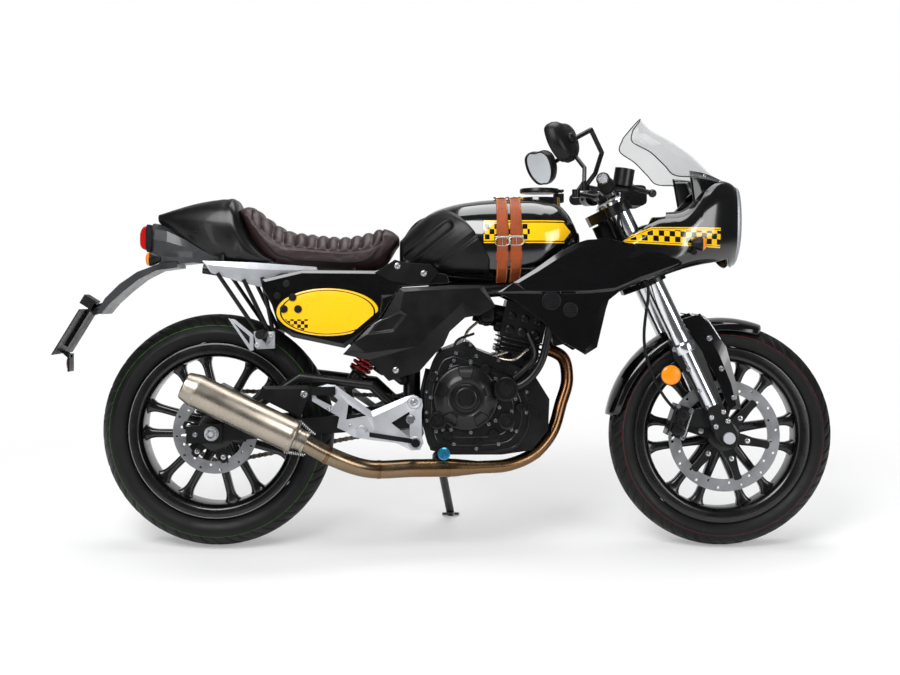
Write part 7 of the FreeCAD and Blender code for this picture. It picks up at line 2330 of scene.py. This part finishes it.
@dataclass
class Engine(Group):
    """Foot brackets, engine covers, fins, pipes and bolts, and the finish of the engine and the frame."""

    def brackets(self) -> None:
        """Cast foot brackets with three windows, raised middle ribs, and ring bosses round their bolts."""
        outline = [(-406, 422), (-367, 432), (-346, 430), (-303, 399), (-254, 363), (-165, 400),
                   (-145, 405), (-125, 394), (-122, 379), (-125, 361), (-125, 300), (-120, 282),
                   (-129, 264), (-152, 263), (-190, 282), (-252, 289), (-300, 297), (-321, 312),
                   (-341, 321), (-335, 348), (-372, 369), (-405, 389)]
        windows = [[(-156, 362), (-203, 333), (-155, 295)],
                   [(-398, 411), (-360, 413), (-338, 391), (-352, 375), (-393, 396)],
                   [(-312, 381), (-266, 351), (-318, 341)]]
        ribs = [[(-382, 426, 3), (-345, 420, 3), (-296, 382, 4), (-250, 348, 4), (-170, 386, 4)],
                [(-300, 318, 4), (-245, 308, 4), (-180, 296, 4), (-150, 280, 4)],
                [(-250, 348, 4), (-240, 312, 4)], [(-138, 366, 3), (-138, 300, 3)]]
        plate = relief(outline, -126.0, -133.0, ribs, windows)
        bosses = []
        for x, z in ((-144, 386), (-142, 282)):
            bosses.append(lathe([(10, -2), (10, 6), (15, 7), (17, 5), (17, -2)], (x, -133, z), RIGHT_OUT, 40))
            bosses.append(screw((x, -135, z), RIGHT_OUT, 8.5, 4.5, 24).painted(1))
        small = [screw((x, -134, z), RIGHT_OUT, 4.5, 4.0).painted(1) for x, z in ((-306, 326), (-360, 368))]
        self.piece("foot_brackets_cast", merged([plate] + bosses + small).both(), SILVER_ALLOY,
                   SCREW_STEEL, replaces="foot_brackets", bevel=1.3, smooth_deg=12)
        hanger = relief([(-530, 428, 0), (-414, 430, 0), (-406, 421, 0), (-434, 347, 0), (-540, 400, 0)],
                        -143.0, -149.0, [[(-522, 420, 2), (-420, 421, 2), (-444, 358, 2)]])
        stay = block((-469, -143, 404), (-345, -134, 426))
        bolt = screw((-425, -150, 408), RIGHT_OUT, 8.0, 4.0, 24).painted(1)
        self.piece("silencer_hanger", merged([hanger, stay, bolt]), BLACK_SATIN, SCREW_STEEL, bevel=1.3,
                   smooth_deg=12)

    def covers(self) -> None:
        """Engine covers, cylinder fins, throttle body and wiring: domes, raised bands and bent tubes."""
        parts = []
        clutch = (-12, -115, 397)
        parts.append(lathe([(84, 0), (84, 9), (82, 12), (79, 12.5), (77, 14), (62, 26), (52, 32.5), (47, 33.6),
                            (43, 32), (38, 31.5), (36, 34.5), (34, 36), (29, 36.5), (27, 39.5), (25, 40.5),
                            (20, 40.5), (18, 38), (0, 38)], clutch, RIGHT_OUT, 120))
        for k in range(5):
            a = math.radians(18 + 72 * k)
            way = in_side_view(a)
            side = np.array([-way[2], 0, way[0]])
            rows = []
            for reach, high, wide in ((46, 34.4, 9), (54, 35.2, 13), (64, 29.5, 17), (74, 20.5, 20),
                                      (78, 15, 20)):
                arch = np.array([(-1, -4), (-0.9, 0), (0.9, 0), (1, -4)])
                rows.append(np.array(clutch) + way * reach + arch[:, :1] * wide * side
                            - Y_AXIS * (high + arch[:, 1:]))
            parts.append(grid(np.array(rows)))
        for x, z, r, high in ((90, 420, 31, 32), (92, 338, 21, 24), (-84, 338, 23, 16), (-12, 511, 29, 0)):
            base = -115.0 if high else -113.0
            parts.append(lathe([(r, 0), (r, high), (r - 2, high + 2), (r - 6, high + 2.4),
                                (r - 8, high - 0.5), (r - 13, high - 0.5), (r - 14.5, high + 3),
                                (0, high + 3.5)], (x, base, z), RIGHT_OUT, 64))
        case = corners_cut([(-118, 320), (-104, 268), (-62, 256), (50, 256), (118, 268), (148, 318),
                            (150, 388), (118, 448), (40, 484), (-45, 524), (-88, 508), (-116, 425)], 2, 0.18)
        band_line = np.stack([case[:, 0], np.full(len(case), -116.0), case[:, 1]], axis=-1)
        parts.append(tube(looped(band_line, 2), 3.4, 10, cap=False))
        middle = np.array([15, 0, 385])
        for shrink in (0.86, 0.70):
            inner = (band_line - middle) * np.array([shrink, 1, shrink]) + middle
            inner[:, 1] = -115.6
            parts.append(tube(looped(inner, 2), 2.0, 8, cap=False))
        for x, z, r, out in ((38, 468, 14, 128), (128, 372, 13, 124), (60, 300, 15, 126), (-98, 450, 13, 124),
                             (134, 420, 10, 122), (20, 283, 11, 122), (-60, 300, 13, 124)):
            parts.append(lathe([(r, 0), (r, out - 116), (r - 2, out - 114), (r * 0.55, out - 114),
                                (r * 0.5, out - 116), (0, out - 116)], (x, -114, z), RIGHT_OUT, 32))
        self.piece("engine_cover_castings", merged(parts), BLACK_ENGINE, replaces="engine_covers",
                   smooth_deg=28)
        generator = lathe([(78, 0), (78, 24), (74, 30), (60, 32), (30, 32), (27, 29), (0, 29)], (60, 115, 352),
                          Y_AXIS, 96)
        self.piece("generator_cover", generator, BLACK_ENGINE, smooth_deg=28)
        lean = math.radians(12)
        up = np.array([math.sin(lean), 0, math.cos(lean)])
        fore = in_side_view(-lean)
        foot = np.array([108.0, 0, 430.0])
        loop = looped(corners_cut([(-61, -71), (61, -71), (61, 71), (-61, 71)], 3, 0.12))
        trim = []
        for k in range(9):
            at = foot + up * (14 + 12.5 * k)
            trim.append(tube(at + loop[:, :1] * fore + loop[:, 1:] * Y_AXIS, 2.2, 8, cap=False))
        for h, r in ((136, 12.5), (172, 10.5)):
            for s in (-34, 0, 34):
                trim.append(lathe([(0, 8), (r * 0.6, 8), (r, 5), (r, -3), (0, -3)], foot + up * h + fore * s
                                  - Y_AXIS * 66, RIGHT_OUT, 32))
        trim.append(lathe([(0, 12), (17, 12), (20, 9), (20, -3), (0, -3)], foot + up * 60 - Y_AXIS * 62,
                          RIGHT_OUT, 40))
        self.piece("barrel_fins_and_caps", merged(trim), BLACK_ENGINE, smooth_deg=28)
        stub = foot + up * 164
        clutter, metal = [], []
        axis = -fore
        clutter.append(lathe([(0, 52), (27, 52), (29, 56), (29, 84), (32, 88), (32, 112), (28, 118),
                              (0, 118)], stub, axis, 48))
        clutter.append(mould(tuple(stub + axis * 98 - Y_AXIS * 40), (22, 16, 26), 3.4))
        clutter.append(mould(tuple(stub + axis * 60 - Y_AXIS * 34 - up * 26), (16, 13, 14), 3.0))
        metal.append(lathe([(28, 44), (30.5, 45), (30.5, 53), (28, 54)], stub, axis, 48, closed=True))
        metal.append(lathe([(31, 92), (33.4, 93), (33.4, 100), (31, 101)], stub, axis, 48, closed=True))
        pipes = [([(20, -60, 590), (-10, -84, 560), (-14, -96, 520), (40, -104, 500), (96, -92, 512)], 3.6,
                  metal), ([(60, -84, 500), (110, -100, 492), (150, -84, 520)], 4.2, metal),
                 ([(-20, -70, 640), (-60, -96, 600), (-84, -104, 540), (-70, -110, 500)], 4.6, clutter),
                 ([(10, -80, 560), (-36, -104, 540), (-40, -112, 470)], 3.4, clutter),
                 ([(150, -90, 560), (166, -110, 500), (140, -122, 470), (112, -120, 446)], 9.0, clutter),
                 ([(-110, -96, 470), (-124, -100, 400), (-118, -96, 330)], 6.0, clutter)]
        for path, radius, kind in pipes:
            kind.append(tube(smooth(path, 40), radius, 14))
        self.piece("throttle_and_wiring", merged(clutter + [m.painted(1) for m in metal]), BLACK_SATIN,
                   STEEL, smooth_deg=35)

    def build(self) -> None:
        """Finishes the castings, builds the brackets and covers, and sets the covers' bolts and the plug."""
        self.dress(BLACK_ENGINE, "crankcase", "cylinder_and_head", "frame_spars", "subframe",
                   "swingarm", "steering_head", "stand_mount", "foot_pedals")
        self.dress(SILVER_ALLOY, "foot_pegs")
        self.brackets()
        self.covers()
        self.dress(DARK_STEEL, "rear_sprocket", "side_stand")
        bolts = []
        circles = (((-12, 397), 90, 11, -119, 1.0), ((90, 420), 36, 4, -117, 1.0),
                   ((92, 338), 27, 3, -117, 1.0), ((-84, 338), 28, 3, -117, 1.0),
                   ((15, 385), 132, 14, -117, 0.9), ((-12, 511), 25, 3, -116, 1.0))
        for centre, radius, count, out, flat in circles:
            for k in range(count):
                a = 2 * math.pi * (k + 0.5) / count
                x, z = centre[0] + radius * math.cos(a), centre[1] + radius * flat * math.sin(a)
                bolts.append(screw((x, out, z), RIGHT_OUT, 3.8, 4.0))
        plug = lathe([(0, 0), (14, 0), (16, 2), (16, 12), (13, 15), (7, 15), (6, 11), (0, 11)],
                     (-68, -139, 256), RIGHT_OUT, 40).painted(3)
        self.piece("engine_bolts_and_caps", merged(bolts + [plug]), SCREW_STEEL, BLACK_ENGINE, SILVER_ALLOY,
                   CYAN_PLUG)


@dataclass
class Exhaust(Group):
    """Header, collector and silencer with springs and welds."""

    header: tuple = ((196, 0, 522), (247.8, 0, 493.8), (258.4, -10, 440), (239.8, -26, 372.2),
                     (214, -48, 300.2), (165.6, -72, 248), (100, -94, 221.9), (19.9, -110, 217))
    collector: tuple = ((19.9, -110, 217), (-141.8, -126, 217), (-269, -146, 219), (-357.1, -176, 254),
                        (-444, -200, 304))

    def build(self) -> None:
        """Bends the pipes along their route and turns the silencer about its own axis."""
        head, tail = smooth(self.header, 90), smooth(self.collector, 90)
        pipe = tube(np.vstack([head[:-1], tail]),
                    np.concatenate([np.full(89, 16.5), np.linspace(16.5, 23, 12), np.full(66, 23.0),
                                    np.linspace(23, 24, 12)]), 40)
        rings = []
        for line, index, size in ((head, 2, 19), (head, 60, 17.4), (tail, 14, 24.2), (tail, 46, 24.0),
                                  (tail, 72, 25)):
            way = unit(line[index + 1] - line[index - 1])
            rings.append(lathe([(size - 4, -5), (size, -4), (size, 4), (size - 4, 5)], line[index], way, 48,
                               closed=True))
        self.piece("exhaust_pipe_bent", merged([pipe] + rings), PIPE_STEEL,
                   replaces="exhaust_pipe")
        front, rear = np.array([-444.0, -200, 304]), np.array([-718.95, -200, 434])
        way = unit(rear - front)
        length = float(np.linalg.norm(rear - front))
        body = lathe([(25, -34), (29, -33), (29, -26), (27, -25), (27, -12), (29, -11), (29, -5), (39, -4),
                      (42, -1), (42.6, 2), (42.6, 10), (42, 12), (42, length - 42), (42.6, length - 40),
                      (42.6, length - 32), (42, length - 30), (0, length - 30)], front, way, 72)
        cap = lathe([(42, length - 30), (41.5, length - 27), (35.5, length - 3), (33, length), (27, length),
                     (24, length - 3), (24, length - 26), (0, length - 27)], front, way, 72)
        rivets = []
        first, second = across(way)
        for h in (6, length - 36):
            for k in range(12):
                a = 2 * math.pi * k / 12
                out = math.cos(a) * first + math.sin(a) * second
                rivets.append(lathe([(0, 1.6), (2.2, 1.2), (3.0, 0)], front + way * h + out * 42.4, out, 10))
        self.piece("silencer_body", merged([body] + rivets), STEEL, replaces="silencer")
        inner = lathe([(26.5, length - 1), (26.5, length - 25), (0, length - 26)], front, way, 48).painted(1)
        self.piece("silencer_outlet_cap", cap + inner, STEEL, BLACK_ENGINE,
                   replaces="silencer_end_cap", smooth_deg=20)
        springs = []
        for side in (-1, 1):
            start = front - way * 44 + second * side * 28
            stop = front + way * 6 + second * side * 43
            turn = np.linspace(0, 2 * math.pi * 9, 160)[:, None]
            axis = unit(stop - start)
            a, b = across(axis)
            springs.append(tube(start + (stop - start) * np.linspace(0, 1, 160)[:, None]
                                + 4.2 * (np.cos(turn) * a + np.sin(turn) * b), 1.1, 6))
        self.piece("exhaust_springs", merged(springs), SCREW_STEEL)


@dataclass
class Stage:
    """Pale floor, backdrop, soft lights and the camera at the photo's viewing angle."""

    view: Spot = (-96.0, -3600.0, 647.0)
    lens: float = 54.32
    sensor: float = 36.0
    shift: tuple[float, float] = (17 / 900, -37.5 / 900)
    tilt_deg: float = 80.0
    pool_x: float = 0.62
    pool_y: float = 0.85
    sky_seen: float = 0.94
    sky_light: float = 0.11

    def floor(self) -> None:
        """Floor that curves into a backdrop; the camera sees its shade near the machine and white beyond."""
        turn = np.radians(np.linspace(0, 90, 24))
        depth = np.concatenate([[-9.0], 3.0 + 2.0 * np.sin(turn), [5.0]])
        rise = np.concatenate([[0.0], 2.0 - 2.0 * np.cos(turn), [9.0]])
        x = np.linspace(-12, 12, 13)
        rows = np.stack([np.stack([x, np.full_like(x, d), np.full_like(x, r)], axis=-1)
                         for d, r in zip(depth, rise)])
        mesh = bpy.data.meshes.new("studio_floor")
        skin = grid(rows)
        mesh.from_pydata(skin.points.tolist(), [], skin.faces)
        mesh.shade_smooth()
        graph = Graph("studio floor")
        spots = graph.noise(1.6, 3.0)
        colour = graph.mix(spots, (0.86, 0.86, 0.86), (0.90, 0.90, 0.90))
        graph.surface(Base_Color=colour, Roughness=spots.ramp(0.0, 1.0, 0.7, 0.8))
        white = graph.tree.nodes.new("ShaderNodeEmission")
        glow = graph.tree.nodes.new("ShaderNodeMixShader")
        rays = graph.tree.nodes.new("ShaderNodeLightPath")
        place_x, place_y, _ = graph.split(graph.place())
        away_x = (place_x * self.pool_x).math("POWER", 2.0)
        away_y = ((place_y - 0.1) * self.pool_y).math("POWER", 2.0)
        far = (away_x + away_y).ramp(0.2, 1.7, 0.3, 1.0)
        share = far * Sock(graph, rays.outputs["Is Camera Ray"])
        graph.tree.links.new(share.socket, glow.inputs[0])
        graph.tree.links.new(graph.shader.outputs[0], glow.inputs[1])
        graph.tree.links.new(white.outputs[0], glow.inputs[2])
        graph.tree.links.new(glow.outputs[0], graph.output.inputs["Surface"])
        mesh.materials.append(graph.material)
        made = bpy.data.objects.new("studio_floor", mesh)
        bpy.context.scene.collection.objects.link(made)

    def light(self, name: str, place: Sequence[float], size: float, power: float, tall: float = 1.0) -> None:
        """Soft light that looks at the machine's middle, with its height as a multiple of its width.

        Args:
            name: The lamp's plain name.
            place: Where it hangs, in metres.
            size: Its width.
            power: Its power in watts.
            tall: Its height as a multiple of its width.
        """
        lamp = bpy.data.lights.new(name, "AREA")
        lamp.shape, lamp.size, lamp.size_y, lamp.energy = "RECTANGLE", size, size * tall, power
        made = bpy.data.objects.new(name, lamp)
        made.location = place
        way = Vector((0, 0, 0.5)) - Vector(place)
        made.rotation_euler = way.to_track_quat("-Z", "Y").to_euler()
        bpy.context.scene.collection.objects.link(made)

    def camera(self) -> None:
        """Camera square to the leaning machine's side."""
        data = bpy.data.cameras.new("photo_camera")
        data.lens, data.sensor_width = self.lens, self.sensor
        data.shift_x, data.shift_y = self.shift
        made = bpy.data.objects.new("photo_camera", data)
        made.location = LEAN.place(np.array(self.view)).tolist()
        made.rotation_euler = (math.radians(self.tilt_deg), 0, 0)
        bpy.context.scene.collection.objects.link(made)
        bpy.context.scene.camera = made

    def build(self) -> None:
        """Sets the floor, five soft lights, the world and the camera."""
        self.floor()
        self.light("key_light", (-1.4, -2.4, 3.4), 2.0, 150)
        self.light("fill_light", (2.8, -2.6, 1.7), 1.6, 45)
        self.light("left_strip", (-2.3, -2.3, 0.9), 0.3, 10, 7.0)
        self.light("right_strip", (2.2, -2.5, 0.9), 0.25, 8, 8.0)
        self.light("top_light", (0.3, 0.9, 3.6), 2.6, 105)
        world = bpy.data.worlds.new("studio")
        world.use_nodes = True
        sky = world.node_tree.nodes["Background"]
        sky.inputs[0].default_value = (0.95, 0.97, 1.0, 1.0)
        rays = world.node_tree.nodes.new("ShaderNodeLightPath")
        power = world.node_tree.nodes.new("ShaderNodeMath")
        power.operation = "MULTIPLY_ADD"
        power.inputs[1].default_value, power.inputs[2].default_value = self.sky_seen, self.sky_light
        world.node_tree.links.new(rays.outputs["Is Camera Ray"], power.inputs[0])
        world.node_tree.links.new(power.outputs[0], sky.inputs[1])
        bpy.context.scene.world = world
        bpy.context.scene.view_settings.view_transform = "Standard"
        self.camera()


# Each wheel's last colour is its rim's painted highlight: grey on the rear, faint and dark on the front.
REAR_WHEEL = RoadWheel("rear", -662.5, 305.0, 75.0, 46.0, 58.0, 46.0, 66.0, 22.0, -66.0, 110.0, 78.0,
                       24, 276.0, srgb(60, 110, 30), srgb(120, 120, 118))
FRONT_WHEEL = RoadWheel("front", 662.5, 293.0, 55.0, 36.0, 42.0, 38.0, 60.0, 30.0, -60.0, 145.0, 113.0, 28,
                        262.0, srgb(112, 40, 44), srgb(30, 30, 31), caliper_deg=162.0,
                        caliper_body="steering")


def main() -> None:
    """Builds every group with its finishes, then the stage."""
    logging.basicConfig(level=logging.INFO, format="%(message)s")
    groups = [REAR_WHEEL, FRONT_WHEEL, ChainDrive(), RearSuspension(), FrontEnd(), TankGroup(), SeatAndTail(),
              SidePanels(), Cockpit(), Fairing(), Engine(), Exhaust()]
    for group in groups:
        group.build()
    Stage().build()


if __name__ == "__main__":
    main()
